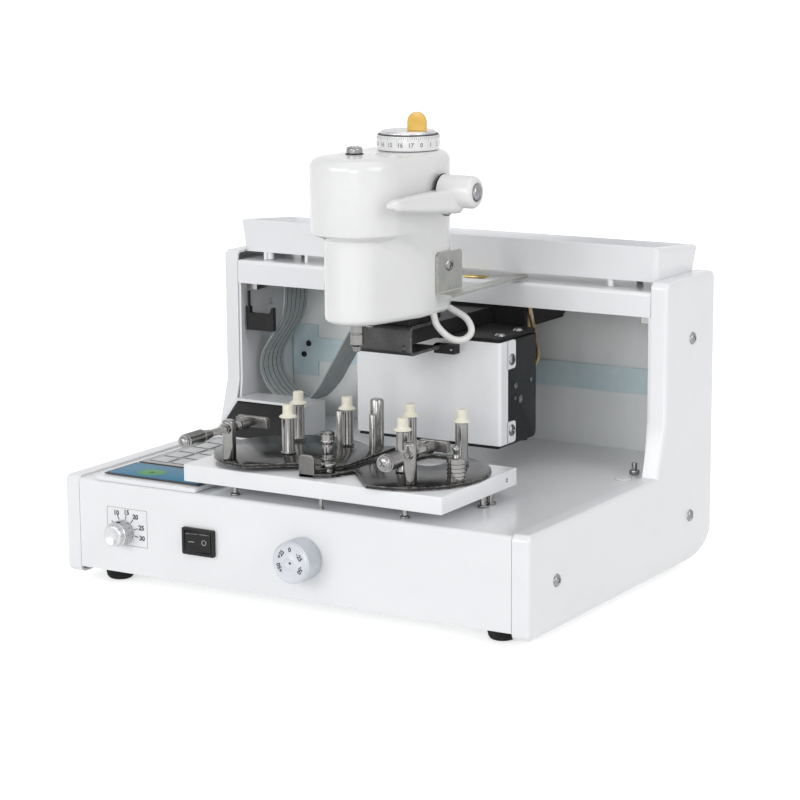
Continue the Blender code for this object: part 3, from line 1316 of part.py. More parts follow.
def lens_posts(side, middle, seat):
    """Three steel stems, each with its nylon cap pressed on."""
    stem_top = TRIO_TOP - CAP_HEIGHT
    foot = seat + STEM_FOOT_HEIGHT
    waist = stem_top + CAP_BRIM
    profile = [(0, seat), (STEM_FOOT_RADIUS, seat), (STEM_FOOT_RADIUS, foot), (STEM_RADIUS, foot),
               (STEM_RADIUS, stem_top), (CAP_BRIM_RADIUS, stem_top), (CAP_BRIM_RADIUS, waist),
               (CAP_RADIUS, waist), (CAP_RADIUS, TRIO_TOP - GAP), (CAP_RADIUS - GAP, TRIO_TOP),
               (0, TRIO_TOP)]
    for label, (x, y) in zip(("front", "rear_left", "rear_right"), trio_places(middle)):
        bm = new()
        add_turned(bm, profile, (x, y, 0), "Z", POST_STEPS)
        place_object("lens_post_" + side + "_" + label, bm, "bright_steel", CLAMP_PIVOT)


def add_stop_pins(bm, seat):
    """Two slim pins and one thick pin behind the pivot, on the left plate."""
    for x, y, radius, top in ((STOP_PIN_LEFT_X, STOP_PIN_LEFT_Y, STOP_PIN_RADIUS, STOP_PIN_TOP),
                              (STOP_PIN_RIGHT_X, STOP_PIN_RIGHT_Y, STOP_PIN_RADIUS, STOP_PIN_TOP),
                              (TALL_PIN_X, TALL_PIN_Y, TALL_PIN_RADIUS, TALL_PIN_TOP)):
        tip = radius / 3
        profile = [(0, seat), (radius, seat), (radius, top - tip), (radius - tip, top), (0, top)]
        add_turned(bm, profile, (x, y, 0), "Z", SMALL_STEPS)


def spindle_post(name, x, y, z, seat):
    """Round post with a cross bore for the screw spindle."""
    top = z + SPINDLE_POST_RISE
    radius = SPINDLE_POST_RADIUS
    profile = [(0, seat), (radius, seat), (radius, top - GAP), (radius - GAP, top), (0, top)]
    bm = new()
    add_turned(bm, profile, (x, y, 0), "Z", TURNED_STEPS)
    post = place_object(name, bm, "bright_steel", CLAMP_PIVOT)
    bore = new()
    add_turned(bore, rod(SPINDLE_ROD_RADIUS + GAP, 4 * radius), (x, y - 2 * radius, z), "Y",
               SMALL_STEPS)
    cut(post, bore)


def screw_spindle(name, x, z, start, handle, jaw):
    """Knurled handle with a domed end screw, and the screw rod that ends in the jaw."""
    axis_base = (x, start, z)
    bm = new()
    add_knurled(bm, knurled(SPINDLE_HANDLE_RADIUS, 0, handle), axis_base, "Y")
    made = place_object(name, bm, "bright_steel", axis_base)
    core = new()
    collar = SPINDLE_ROD_RADIUS + SHEET
    reach = jaw - GAP - JAW_CONE_LENGTH - start
    profile = ([(0, -SPINDLE_SCREW_DOME)]
               + [(radius, -height) for radius, height in
                  reversed(dome(SPINDLE_SCREW_RADIUS, SPINDLE_SCREW_DOME)[:-1])]
               + [(SPINDLE_SCREW_RADIUS, GAP), (collar, GAP), (collar, handle + SHEET),
                  (SPINDLE_ROD_RADIUS, handle + SHEET), (SPINDLE_ROD_RADIUS, reach), (0, reach)])
    add_turned(core, profile, axis_base, "Y", TURNED_STEPS)
    cut(made, core, "UNION")


def spindle_jaw(name, x, z, jaw):
    """Cone that takes the thrust, and the flat bar that meets the lens's edge."""
    bm = new()
    start = jaw - JAW_CONE_LENGTH
    profile = [(0, 0), (JAW_NECK_RADIUS, 0), (JAW_CONE_RADIUS, JAW_CONE_LENGTH / 2),
               (JAW_NECK_RADIUS, JAW_CONE_LENGTH), (0, JAW_CONE_LENGTH)]
    add_turned(bm, profile, (x, start, z), "Y", PLAIN_STEPS)
    made = place_object(name, bm, "bright_steel", (x, start, z))
    bar = new()
    add_box(bar, (x - JAW_WIDTH / 2, jaw - GAP, z - JAW_HEIGHT / 2),
            (x + JAW_WIDTH / 2, jaw + JAW_DEPTH, z + JAW_HEIGHT / 2))
    cut(made, bar, "UNION")


def thumb_screw():
    """Knurled screw that stands on the tongue of the left plate."""
    seat = UPPER_PLATE_TOP + GAP
    neck = THUMB_TOP - THUMB_HEAD
    base = (THUMB_X, THUMB_Y, 0)
    bm = new()
    add_knurled(bm, knurled(THUMB_RADIUS, neck, THUMB_TOP - GAP), base, "Z")
    made = place_object("thumb_screw", bm, "bright_steel", (THUMB_X, THUMB_Y, seat))
    stem = new()
    wide = THUMB_STEM + SHEET / 2
    profile = [(0, seat), (wide, seat), (wide, seat + BEND), (THUMB_STEM, seat + BEND),
               (THUMB_STEM, neck + SHEET), (THUMB_RADIUS - SHEET, neck + SHEET),
               (THUMB_RADIUS - SHEET, THUMB_TOP), (0, THUMB_TOP)]
    add_turned(stem, profile, base, "Z", PLAIN_STEPS)
    cut(made, stem, "UNION")


def add_plunger_sleeve(bm, seat):
    """Grooved sleeve on the right plate, bored for the plunger."""
    bore = PLUNGER_BALL + GAP
    height = PLUNGER_SLEEVE_TOP - seat
    groove = PLUNGER_RADIUS - GROOVE_DEPTH
    profile = [(bore, seat + SHEET), (bore, PLUNGER_SLEEVE_TOP), (PLUNGER_RADIUS, PLUNGER_SLEEVE_TOP)]
    for step in range(PLUNGER_GROOVES, 0, -1):
        level = seat + height * step / (PLUNGER_GROOVES + 1)
        profile += [(PLUNGER_RADIUS, level + GAP), (groove, level + GAP), (groove, level - GAP),
                    (PLUNGER_RADIUS, level - GAP)]
    profile += [(PLUNGER_RADIUS, seat), (0, seat), (0, seat + SHEET)]
    add_turned_open(bm, profile, (PLUNGER_X, PLUNGER_Y, 0), "Z", TURNED_STEPS)


def spring_plunger():
    """Ball-ended plunger in the sleeve."""
    low = LOWER_PLATE_TOP + GAP + SHEET + PLUNGER_TRAVEL + GAP
    pin = new()
    centre = PLUNGER_TOP - PLUNGER_BALL
    profile = [(0, low), (PLUNGER_BALL, low), (PLUNGER_BALL, PLUNGER_SLEEVE_TOP + SHEET),
               (PLUNGER_NECK, PLUNGER_SLEEVE_TOP + SHEET)]
    for step in range(1, BALL_STEPS):
        angle = math.radians(BALL_START + (90 - BALL_START) * step / BALL_STEPS)
        profile.append((PLUNGER_BALL * math.cos(angle), centre + PLUNGER_BALL * math.sin(angle)))
    profile.append((0, PLUNGER_TOP))
    add_turned(pin, profile, (PLUNGER_X, PLUNGER_Y, 0), "Z", PLAIN_STEPS)
    place_object("spring_plunger", pin, "bright_steel", (PLUNGER_X, PLUNGER_Y, PLUNGER_TOP))


# Drill head

def head_outline(nose, inset):
    """Plan of the head: nose arc, sides that flare out to full width, round rear corners."""
    half = HEAD_HALF_WIDTH - inset
    radius = nose - inset
    flare = HEAD_NOSE_FLARE * (HEAD_HALF_WIDTH - nose) / (HEAD_HALF_WIDTH - HEAD_NOSE_RADIUS)
    centre = (SPINDLE_X, SPINDLE_Y)
    degrees = math.degrees(flare)
    points = arc(centre, (radius, radius), -degrees, -180 + degrees, NOSE_STEPS)
    tangent_y = SPINDLE_Y - radius * math.sin(flare)
    widen = half - radius * math.cos(flare)
    meet_y = tangent_y + (widen / math.tan(flare) if flare > FLARE_LEAST else HEAD_BACK_ROUND)
    points.append((SPINDLE_X - half, meet_y))
    round_off = HEAD_BACK_ROUND - inset
    back = HEAD_BACK_Y - HEAD_BACK_ROUND
    inner = HEAD_HALF_WIDTH - HEAD_BACK_ROUND
    points += arc((SPINDLE_X - inner, back), (round_off, round_off), 180, 90, REAR_STEPS)
    points += arc((SPINDLE_X + inner, back), (round_off, round_off), 90, 0, REAR_STEPS)
    points.append((SPINDLE_X + half, meet_y))
    return points


def head_ring(nose, inset, level):
    """One ring of the head's skin."""
    return [(x, y, level) for x, y in head_outline(nose, inset)]


def round_steps(size, steps=CORNER_STEPS):
    """Inset and rise along a quarter-round edge, from the rim inwards."""
    pairs = []
    for step in range(steps + 1):
        angle = math.pi / 2 * step / steps
        pairs.append((size * (1 - math.cos(angle)), size * math.sin(angle)))
    return pairs


def head_housing():
    """Moulded shell: a narrow-nosed body below and a full-width lobe above one crease."""
    wide = HEAD_HALF_WIDTH
    rings = []
    for inset, rise in reversed(round_steps(HEAD_BOTTOM_ROUND)):
        rings.append(head_ring(HEAD_NOSE_RADIUS, inset, HEAD_BOTTOM + HEAD_BOTTOM_ROUND - rise))
    rings.append(head_ring(HEAD_NOSE_RADIUS, 0, HEAD_CREASE))
    middle = (HEAD_NOSE_RADIUS + wide) / 2
    rings.append(head_ring(middle, 0, HEAD_CREASE + HEAD_CREASE_RISE / 5))
    rings.append(head_ring(wide - HEAD_CREASE_RISE / 3, 0, HEAD_CREASE + HEAD_CREASE_RISE / 2))
    rings.append(head_ring(wide, 0, HEAD_CREASE + HEAD_CREASE_RISE))
    for inset, rise in round_steps(HEAD_TOP_ROUND):
        rings.append(head_ring(wide, inset, HEAD_TOP - HEAD_TOP_ROUND + rise))
    bm = new()
    add_loft(bm, rings)
    housing = place_object("head_housing", bm, "white_mould", smooth=30)
    cavity = new()
    add_loft(cavity, [head_ring(HEAD_NOSE_RADIUS, HEAD_WALL, HEAD_BOTTOM + HEAD_WALL),
                      head_ring(HEAD_NOSE_RADIUS, HEAD_WALL, HEAD_CREASE + HEAD_WALL),
                      head_ring(wide, HEAD_WALL, HEAD_CREASE + HEAD_CREASE_RISE + HEAD_WALL),
                      head_ring(wide, HEAD_WALL, HEAD_TOP - HEAD_TOP_ROUND),
                      head_ring(wide, HEAD_WALL + SHEET, HEAD_TOP - HEAD_WALL)])
    cut(housing, cavity)
    holes = new()
    add_turned(holes, rod(QUILL_RADIUS + GAP, HEAD_WALL + 2 * OVERRUN),
               (SPINDLE_X, SPINDLE_Y, HEAD_BOTTOM - OVERRUN), "Z")
    add_turned(holes, rod(LEVER_SHAFT + GAP, HEAD_WALL + 2 * OVERRUN),
               (HEAD_RIGHT - HEAD_WALL - OVERRUN, LEVER_Y, LEVER_Z), "X", TURNED_STEPS)
    add_turned(holes, rod(DIAL_SCREW_RADIUS + GAP, HEAD_WALL + 2 * OVERRUN),
               (DIAL_X, DIAL_Y, HEAD_TOP - HEAD_WALL - OVERRUN), "Z", PLAIN_STEPS)
    add_turned(holes, rod(HEAD_SCREW_SHANK + GAP, HEAD_WALL + 2 * OVERRUN),
               (HEAD_RIGHT - HEAD_WALL - OVERRUN, BRACKET_SCREW_Y, BRACKET_SCREW_Z), "X",
               SMALL_STEPS)
    cut(housing, holes)
    screw = new()
    profile = screw_profile(HEAD_SCREW_RADIUS, HEAD_SCREW_DOME, HEAD_SCREW_SHANK, HEAD_WALL)
    add_turned(screw, profile, (SPINDLE_X, HEAD_SCREW_Y, HEAD_TOP - GAP / 2), "Z", PLAIN_STEPS)
    cut(housing, screw, "UNION")


def quill():
    """Steel sleeve with the drill motor on top and two trunnions for the feed fork."""
    base = (SPINDLE_X, SPINDLE_Y, 0)
    bm = new()
    bore = CHUCK_STEM + GAP
    profile = [(bore, QUILL_BOTTOM), (QUILL_RADIUS, QUILL_BOTTOM), (QUILL_RADIUS, MOTOR_BOTTOM),
               (MOTOR_RADIUS, MOTOR_BOTTOM), (MOTOR_RADIUS, MOTOR_TOP), (0, MOTOR_TOP),
               (0, CHUCK_STEM_TOP + GAP), (bore, CHUCK_STEM_TOP + GAP)]
    add_turned_open(bm, profile, base, "Z", ROUND_STEPS)
    made = place_object("quill_motor", bm, "bright_steel", (SPINDLE_X, SPINDLE_Y, QUILL_BOTTOM))
    pins = new()
    reach = MOTOR_RADIUS + TRUNNION_REACH
    add_turned(pins, rod(TRUNNION_RADIUS, 2 * reach), (SPINDLE_X - reach, SPINDLE_Y, LEVER_Z), "X",
               SMALL_STEPS)
    cut(made, pins, "UNION")


def chuck():
    """Collet chuck that spins under the quill."""
    base = (SPINDLE_X, SPINDLE_Y, 0)
    shoulder = QUILL_BOTTOM - GAP
    profile = [(CHUCK_BORE, CHUCK_BOTTOM), (CHUCK_TIP, CHUCK_BOTTOM),
               (CHUCK_RADIUS, CHUCK_BOTTOM + CHUCK_TIP), (CHUCK_RADIUS, shoulder),
               (CHUCK_STEM, shoulder), (CHUCK_STEM, CHUCK_STEM_TOP), (0, CHUCK_STEM_TOP),
               (0, CHUCK_BOTTOM + CHUCK_BORE_DEPTH), (CHUCK_BORE, CHUCK_BOTTOM + CHUCK_BORE_DEPTH)]
    bm = new()
    add_turned_open(bm, profile, base, "Z", TURNED_STEPS)
    place_object("drill_chuck", bm, "bright_steel", (SPINDLE_X, SPINDLE_Y, CHUCK_BOTTOM))


def feed_fork():
    """Shaft through the head's wall with two slotted arms round the motor."""
    pivot = (SPINDLE_X, LEVER_Y, LEVER_Z)
    arm_inner = MOTOR_RADIUS + FORK_CLEARANCE
    arm_outer = arm_inner + FORK_THICKNESS
    bm = new()
    start = SPINDLE_X - arm_outer - GAP
    end = LEVER_HUB_END - LEVER_CLAMP_LENGTH
    add_turned(bm, rod(LEVER_SHAFT, end - start), (start, LEVER_Y, LEVER_Z), "X", POST_STEPS)
    fork = place_object("feed_fork", bm, "bright_steel", pivot)
    for side in (-1, 1):
        near = SPINDLE_X + side * arm_inner
        far = SPINDLE_X + side * arm_outer
        half = FORK_HEIGHT / 2
        slot = TRUNNION_RADIUS + FORK_SLOT_CLEARANCE
        outline = [(FORK_TAIL_Y, LEVER_Z - half), (FORK_TAIL_Y, LEVER_Z + half),
                   (FORK_END_Y, LEVER_Z + half), (FORK_END_Y, LEVER_Z + slot),
                   (FORK_END_Y + FORK_SLOT_DEPTH, LEVER_Z + slot),
                   (FORK_END_Y + FORK_SLOT_DEPTH, LEVER_Z - slot), (FORK_END_Y, LEVER_Z - slot),
                   (FORK_END_Y, LEVER_Z - half)]
        arm = new()
        add_prism(arm, outline, "X", min(near, far), max(near, far))
        cut(fork, arm, "UNION")


def feed_lever():
    """Moulded lever: a round hub outside the head and a paddle that narrows to its front tip."""
    pivot = (LEVER_HUB_START, LEVER_Y, LEVER_Z)
    length = LEVER_HUB_END - LEVER_HUB_START
    soft = EDGE_ROUND
    radius = LEVER_HUB_RADIUS
    bm = new()
    bore = LEVER_SHAFT + GAP
    deep = length - LEVER_CLAMP_LENGTH + GAP
    profile = [(bore, 0), (radius, 0), (radius, length - soft)]
    for inset, rise in round_steps(soft, FOLD_STEPS)[1:]:
        profile.append((radius - inset, length - soft + rise))
    profile += [(0, length), (0, deep), (bore, deep)]
    add_turned_open(bm, profile, pivot, "X", ROUND_STEPS)
    lever = place_object("feed_lever", bm, "white_mould", pivot)
    paddle = new()
    root_y = LEVER_Y - LEVER_ROOT_STEP
    rise = LEVER_ROOT_RISE
    drop = LEVER_ROOT_DROP
    inner = LEVER_HUB_START
    outer = LEVER_HUB_END - soft
    rings = []
    for share in LEVER_SECTIONS:
        y = root_y + (LEVER_TIP_Y - root_y) * share
        sweep = share ** LEVER_SWEEP
        pinch = soft / 2 if share == 1 else 0
        left = inner + (LEVER_TIP_INNER - inner) * sweep + pinch
        right = outer + (LEVER_TIP_OUTER - outer) * sweep - pinch
        top = LEVER_Z + rise + (LEVER_TIP_TOP - LEVER_Z - rise) * share - pinch
        low = LEVER_Z - drop + (LEVER_TIP_BOTTOM - LEVER_Z + drop) * sweep + pinch
        bite = (right - left) / LEVER_BITE
        lift = (top - low) / LEVER_LIFT
        rings.append([(left, y, low + lift), (left + bite, y, low), (right - bite, y, low),
                      (right, y, low + lift), (right, y, top - lift), (right - bite, y, top),
                      (left + bite, y, top), (left, y, top - lift)])
    add_loft(paddle, rings)
    cut(lever, paddle, "UNION")
    screws = new()
    add_turned(screws, [(0, -KNOB_START)] + dome(LEVER_SCREW_RADIUS, LEVER_SCREW_DOME),
               (LEVER_HUB_END - GAP / 2, LEVER_Y, LEVER_Z), "X", PLAIN_STEPS)
    add_turned(screws, [(0, -KNOB_START)] + dome(LEVER_GRUB_RADIUS, LEVER_GRUB_HEIGHT),
               (LEVER_GRUB_X, LEVER_Y, LEVER_Z - LEVER_HUB_RADIUS + KNOB_START), "-Z", SMALL_STEPS)
    cut(lever, screws, "UNION")


def depth_dial():
    """Graduated ring with a stepped cap and its stop screw, and the yellow thumb tab."""
    base = (DIAL_X, DIAL_Y, 0)
    low = HEAD_TOP + GAP
    top = low + DIAL_HEIGHT
    cap = top + DIAL_CAP_HEIGHT
    edge = DIAL_RADIUS - DIAL_CAP_HEIGHT
    bm = new()
    profile = [(0, low - DIAL_SCREW_LENGTH), (DIAL_SCREW_RADIUS, low - DIAL_SCREW_LENGTH),
               (DIAL_SCREW_RADIUS, low), (DIAL_RADIUS, low), (DIAL_RADIUS, top - DIAL_CAP_HEIGHT),
               (edge, top), (DIAL_CAP_RADIUS, top), (DIAL_CAP_RADIUS, cap), (0, cap)]
    add_turned(bm, profile, base, "Z", DIAL_STEPS)
    place_object("depth_dial", bm, "white_mould", (DIAL_X, DIAL_Y, low))
    tab = new()
    seat = cap + GAP
    x = DIAL_X + TAB_PLATE_OFFSET
    half = TAB_PLATE_WIDTH / 2
    crown = (x, seat + TAB_PLATE_HEIGHT - half)
    outline = [(x - half, seat), (x + half, seat)] + arc(crown, (half, half), 0, 180, SMALL_STEPS)
    add_prism(tab, outline, "Y", DIAL_Y - TAB_PLATE_THICKNESS / 2, DIAL_Y + TAB_PLATE_THICKNESS / 2)
    place_object("depth_tab", tab, "yellow", (DIAL_X, DIAL_Y, low))


def head_bracket():
    """L-shaped galvanised bracket: a plate on the head's side and a long foot over the beam."""
    left = HEAD_RIGHT + GAP
    bm = new()
    add_box(bm, (left, BRACKET_FRONT, BRACKET_BOTTOM), (left + BRACKET_SHEET, BRACKET_BACK, BRACKET_TOP))
    corners = [edge for edge in edges_along(bm, "X") if edge.verts[0].co.z > BRACKET_SCREW_Z]
    bevel(bm, corners, BRACKET_ROUND, FOLD_STEPS)
    bracket = place_object("head_bracket", bm, "galvanised")
    foot = new()
    add_box(foot, (left, BRACKET_FRONT, BRACKET_BOTTOM),
            (left + BRACKET_FOOT_WIDTH, BRACKET_FOOT_BACK, BRACKET_BOTTOM + BRACKET_SHEET))
    corners = [edge for edge in edges_along(foot, "Z") if edge.verts[0].co.x > left + BRACKET_SHEET]
    bevel(foot, corners, BRACKET_ROUND, FOLD_STEPS)
    cut(bracket, foot, "UNION")
    screw = new()
    length = BRACKET_SHEET + GAP + HEAD_WALL
    profile = screw_profile(BRACKET_SCREW_RADIUS, BRACKET_SCREW_DOME, HEAD_SCREW_SHANK, length)
    place = (left + BRACKET_SHEET - GAP / 2, BRACKET_SCREW_Y, BRACKET_SCREW_Z)
    add_turned(screw, profile, place, "X", SMALL_STEPS)
    cut(bracket, screw, "UNION")


def head_slide():
    """Block under the head that runs on top of the channel."""
    bm = new()
    add_box(bm, (CHANNEL_LEFT + SLIDE_MARGIN, SLIDE_FRONT, CHANNEL_TOP + GAP),
            (CHANNEL_RIGHT - SLIDE_MARGIN, SLIDE_BACK, HEAD_BOTTOM - GAP))
    place_object("head_slide", bm, "black_metal")


def head_cable():
    """White lead that loops below the head's right side and goes back up into it."""
    start = Vector((HEAD_RIGHT - HEAD_CABLE_SET_IN, BRACKET_FRONT, HEAD_BOTTOM - GAP))
    points = [start + Vector(step) * ROUTE_GRID for step in HEAD_CABLE_LOOP]
    make_cord("head_cable", [points], HEAD_CABLE_RADIUS, "white_sleeve", CABLE_STEPS)


# Carriage

def channel():
    """C-shaped steel channel round the front of the arm, open to the back."""
    sheet = CHANNEL_SHEET
    outline = [(CHANNEL_BACK, CHANNEL_BOTTOM), (CHANNEL_FRONT, CHANNEL_BOTTOM),
               (CHANNEL_FRONT, CHANNEL_TOP), (CHANNEL_BACK, CHANNEL_TOP),
               (CHANNEL_BACK, CHANNEL_TOP - sheet), (CHANNEL_FRONT + sheet, CHANNEL_TOP - sheet),
               (CHANNEL_FRONT + sheet, CHANNEL_BOTTOM + sheet),
               (CHANNEL_BACK, CHANNEL_BOTTOM + sheet)]
    bm = new()
    add_prism(bm, outline, "X", CHANNEL_LEFT, CHANNEL_RIGHT)
    corners = [edge for edge in edges_along(bm, "X")
               if abs(edge.verts[0].co.y - CHANNEL_FRONT) < GAP]
    bevel(bm, corners, CHANNEL_ROUND, FOLD_STEPS)
    place_object("head_channel", bm, "dark_steel")


def motor_cover():
    """White folded cover: front, short returns and two screw tabs on each side."""
    bm = new()
    sheet = THIN_SHEET
    outline = [(COVER_LEFT, COVER_BACK), (COVER_LEFT, COVER_FRONT + BEND)]
    outline += arc((COVER_LEFT + BEND, COVER_FRONT + BEND), (BEND, BEND), 180, 270, FOLD_STEPS)[1:]
    outline += arc((COVER_RIGHT - BEND, COVER_FRONT + BEND), (BEND, BEND), 270, 360, FOLD_STEPS)
    outline += [(COVER_RIGHT, COVER_BACK), (COVER_RIGHT - sheet, COVER_BACK)]
    inner = BEND - sheet
    outline += arc((COVER_RIGHT - BEND, COVER_FRONT + BEND), (inner, inner), 0, -90, FOLD_STEPS)
    outline += arc((COVER_LEFT + BEND, COVER_FRONT + BEND), (inner, inner), 270, 180, FOLD_STEPS)
    outline += [(COVER_LEFT + sheet, COVER_BACK)]
    add_prism(bm, outline, "Z", COVER_BOTTOM, COVER_TOP)
    cover = place_object("motor_cover", bm, "white_paint")
    tabs = new()
    for side in (COVER_LEFT, COVER_RIGHT - sheet):
        for low, high in ((COVER_BOTTOM, COVER_BOTTOM + COVER_TAB_BOTTOM),
                          (COVER_TOP - COVER_TAB_TOP, COVER_TOP)):
            add_box(tabs, (side, COVER_BACK - OVERRUN, low), (side + sheet, COVER_TAB_BACK, high))
    cut(cover, tabs, "UNION")
    screws = new()
    profile = screw_profile(COVER_SCREW_RADIUS, COVER_SCREW_DOME, SIDE_SCREW_SHANK - GAP,
                            COVER_SCREW_LENGTH)
    for x, axis in ((COVER_LEFT + GAP / 2, "-X"), (COVER_RIGHT - GAP / 2, "X")):
        for y, z in cover_screw_places():
            add_turned(screws, profile, (x, y, z), axis, SMALL_STEPS)
    cut(cover, screws, "UNION")


def cover_screw_places():
    """The screws of the cover's tabs, as y and z."""
    return [(COVER_SCREW_Y, COVER_SCREW_LOW_Z), (COVER_SCREW_Y, COVER_SCREW_HIGH_Z)]


def motor_case():
    """Black case of the cross drive, inside and behind the cover."""
    bm = new()
    gap = THIN_SHEET + GAP
    add_box(bm, (COVER_LEFT + gap, COVER_FRONT + gap, MOTOR_CASE_BOTTOM),
            (COVER_RIGHT - gap, MOTOR_CASE_BACK, MOTOR_CASE_TOP))
    rear = [edge for edge in bm.edges
            if min(vert.co.y for vert in edge.verts) > COVER_TAB_BACK]
    bevel(bm, rear, MOTOR_CASE_ROUND, FOLD_STEPS)
    case = place_object("motor_case", bm, "black_plastic")
    holes = new()
    depth = SIDE_WIDTH
    for side, axis in ((COVER_LEFT, "X"), (COVER_RIGHT, "-X")):
        for y, z in cover_screw_places():
            add_turned(holes, rod(SIDE_SCREW_SHANK, depth), (side, y, z), axis, SMALL_STEPS)
    for y in (TOP_SCREW_FRONT_Y, TOP_SCREW_BACK_Y):
        add_turned(holes, rod(SIDE_SCREW_SHANK, depth),
                   (TOP_SCREW_X, y, MOTOR_CASE_TOP + OVERRUN), "-Z", SMALL_STEPS)
    cut(case, holes)


def carriage_plate():
    """Black plate over the motor case that carries the arm and joins the bearing block."""
    bm = new()
    top = TOP_PLATE_BOTTOM + TOP_PLATE_THICKNESS
    add_box(bm, (TOP_PLATE_LEFT, TOP_PLATE_FRONT, TOP_PLATE_BOTTOM),
            (TOP_PLATE_RIGHT, BLOCK_BACK, top))
    plate = place_object("carriage_plate", bm, "black_metal")
    screws = new()
    profile = screw_profile(COVER_SCREW_RADIUS, COVER_SCREW_DOME, SIDE_SCREW_SHANK - GAP,
                            COVER_SCREW_LENGTH)
    for y in (TOP_SCREW_FRONT_Y, TOP_SCREW_BACK_Y):
        add_turned(screws, profile, (TOP_SCREW_X, y, top - GAP / 2), "Z", SMALL_STEPS)
    cut(plate, screws, "UNION")


def bearing_block():
    """Black block that rides on both rods and the lead screw, with its arm under the head."""
    bm = new()
    low = TOP_PLATE_BOTTOM + TOP_PLATE_THICKNESS + GAP
    add_box(bm, (BLOCK_LEFT, BLOCK_FRONT, low), (BLOCK_RIGHT, BLOCK_BACK, BLOCK_TOP))
    block = place_object("bearing_block", bm, "black_metal")
    arm = new()
    add_box(arm, (SPINDLE_X - ARM_HALF_WIDTH, ARM_FRONT, ARM_BOTTOM),
            (SPINDLE_X + ARM_HALF_WIDTH, BLOCK_FRONT + OVERRUN, ARM_TOP))
    cut(block, arm, "UNION")
    bores = new()
    length = BLOCK_RIGHT - BLOCK_LEFT + 2 * OVERRUN
    for y in (ROD_FRONT_Y, ROD_REAR_Y):
        add_turned(bores, rod(ROD_RADIUS + GAP, length), (BLOCK_LEFT - OVERRUN, y, ROD_Z), "X",
                   PLAIN_STEPS)
    add_turned(bores, rod(SCREW_RADIUS + GAP, length), (BLOCK_LEFT - OVERRUN, SCREW_Y, ROD_Z), "X",
               SMALL_STEPS)
    cut(block, bores)


def limit_switch():
    """Small black switch on the cover's front."""
    back = COVER_FRONT - GAP
    low = (SWITCH_BLOCK_X, back - SWITCH_BLOCK_DEPTH, SWITCH_BLOCK_BOTTOM)
    high = (SWITCH_BLOCK_X + SWITCH_BLOCK_LENGTH, back, SWITCH_BLOCK_BOTTOM + SWITCH_BLOCK_HEIGHT)
    bm = new()
    add_box(bm, low, high)
    place_object("limit_switch", bm, "black_plastic")


def carriage_wires():
    """Bundle of wires from the back of the motor case up beside the bearing block."""
    start_x = TOP_PLATE_RIGHT - WIRES_SWEEP
    start_y = MOTOR_CASE_BACK + GAP
    back = start_y + WIRES_SWEEP
    low = RAIL_BOTTOM + WIRES_LOW_STEP
    high = BEAM_BOTTOM - GAP
    clear = TOP_PLATE_RIGHT + WIRES_CLEAR + WIRE_RADIUS
    points = [(start_x, start_y, low), (start_x, start_y + BEND, low),
              (clear - BEND, back, low + WIRES_BEND),
              (clear + GAP, back, TOP_PLATE_BOTTOM - WIRES_BEND),
              (clear, back, ARM_BOTTOM), (clear, back, high)]
    make_cord("carriage_wires", [points], WIRE_RADIUS, "yellow", PLAIN_STEPS)


def guide_rods():
    """Two hardened rods pressed into their end blocks, and the lead screw between them."""
    block_inner = INSIDE_HALF - ROD_END_WIDTH
    ends = new()
    top = BEAM_TOP - SHEET - GAP
    for low, high in ((-INSIDE_HALF, -block_inner), (block_inner, INSIDE_HALF)):
        add_box(ends, (low, ROD_END_FRONT, ROD_END_BOTTOM), (high, ROD_END_BACK, top))
    frame = place_object("guide_rods", ends, "bright_steel")
    rods = new()
    length = 2 * (INSIDE_HALF - SHEET)
    for y in (ROD_FRONT_Y, ROD_REAR_Y):
        add_turned(rods, rod(ROD_RADIUS, length), (-length / 2, y, ROD_Z), "X", PLAIN_STEPS)
    cut(frame, rods, "UNION")
    bore = new()
    add_turned(bore, rod(SCREW_RADIUS + GAP, 2 * HALF_WIDTH),
               (-HALF_WIDTH, SCREW_Y, ROD_Z), "X", SMALL_STEPS)
    cut(frame, bore)
    lead = new()
    start = -INSIDE_HALF + GAP
    add_turned(lead, rod(SCREW_RADIUS, -2 * start), (start, SCREW_Y, ROD_Z), "X", SMALL_STEPS)
    place_object("lead_screw", lead, "bright_steel", (start, SCREW_Y, ROD_Z))


def ribbon_cable():
    """Flat cable that hangs in a loop behind the left end of the beam."""
    top = BEAM_BOTTOM - RIBBON_TOP_GAP
    points = [(right * ROUTE_GRID - HALF_WIDTH, 0, top - down * ROUTE_GRID)
              for right, down in RIBBON_LOOP]
    route, length = smooth_route(points, RIBBON_STEPS)
    print("ribbon_cable length in mm", round(length / MM, 1))
    near = RIBBON_Y - RIBBON_WIDTH / 2
    far = RIBBON_Y + RIBBON_WIDTH / 2
    half = RIBBON_THICKNESS / 2
    rings = []
    for index, spot in enumerate(route):
        before = route[max(index - 1, 0)]
        after = route[min(index + 1, len(route) - 1)]
        run = (after - before).normalized()
        side = Vector((-run.z, 0, run.x)) * half
        left = spot + side
        right = spot - side
        rings.append([(left.x, near, left.z), (left.x, far, left.z), (right.x, far, right.z),
                      (right.x, near, right.z)])
    bm = new()
    add_loft(bm, rings)
    place_object("ribbon_cable", bm, "grey_sleeve")


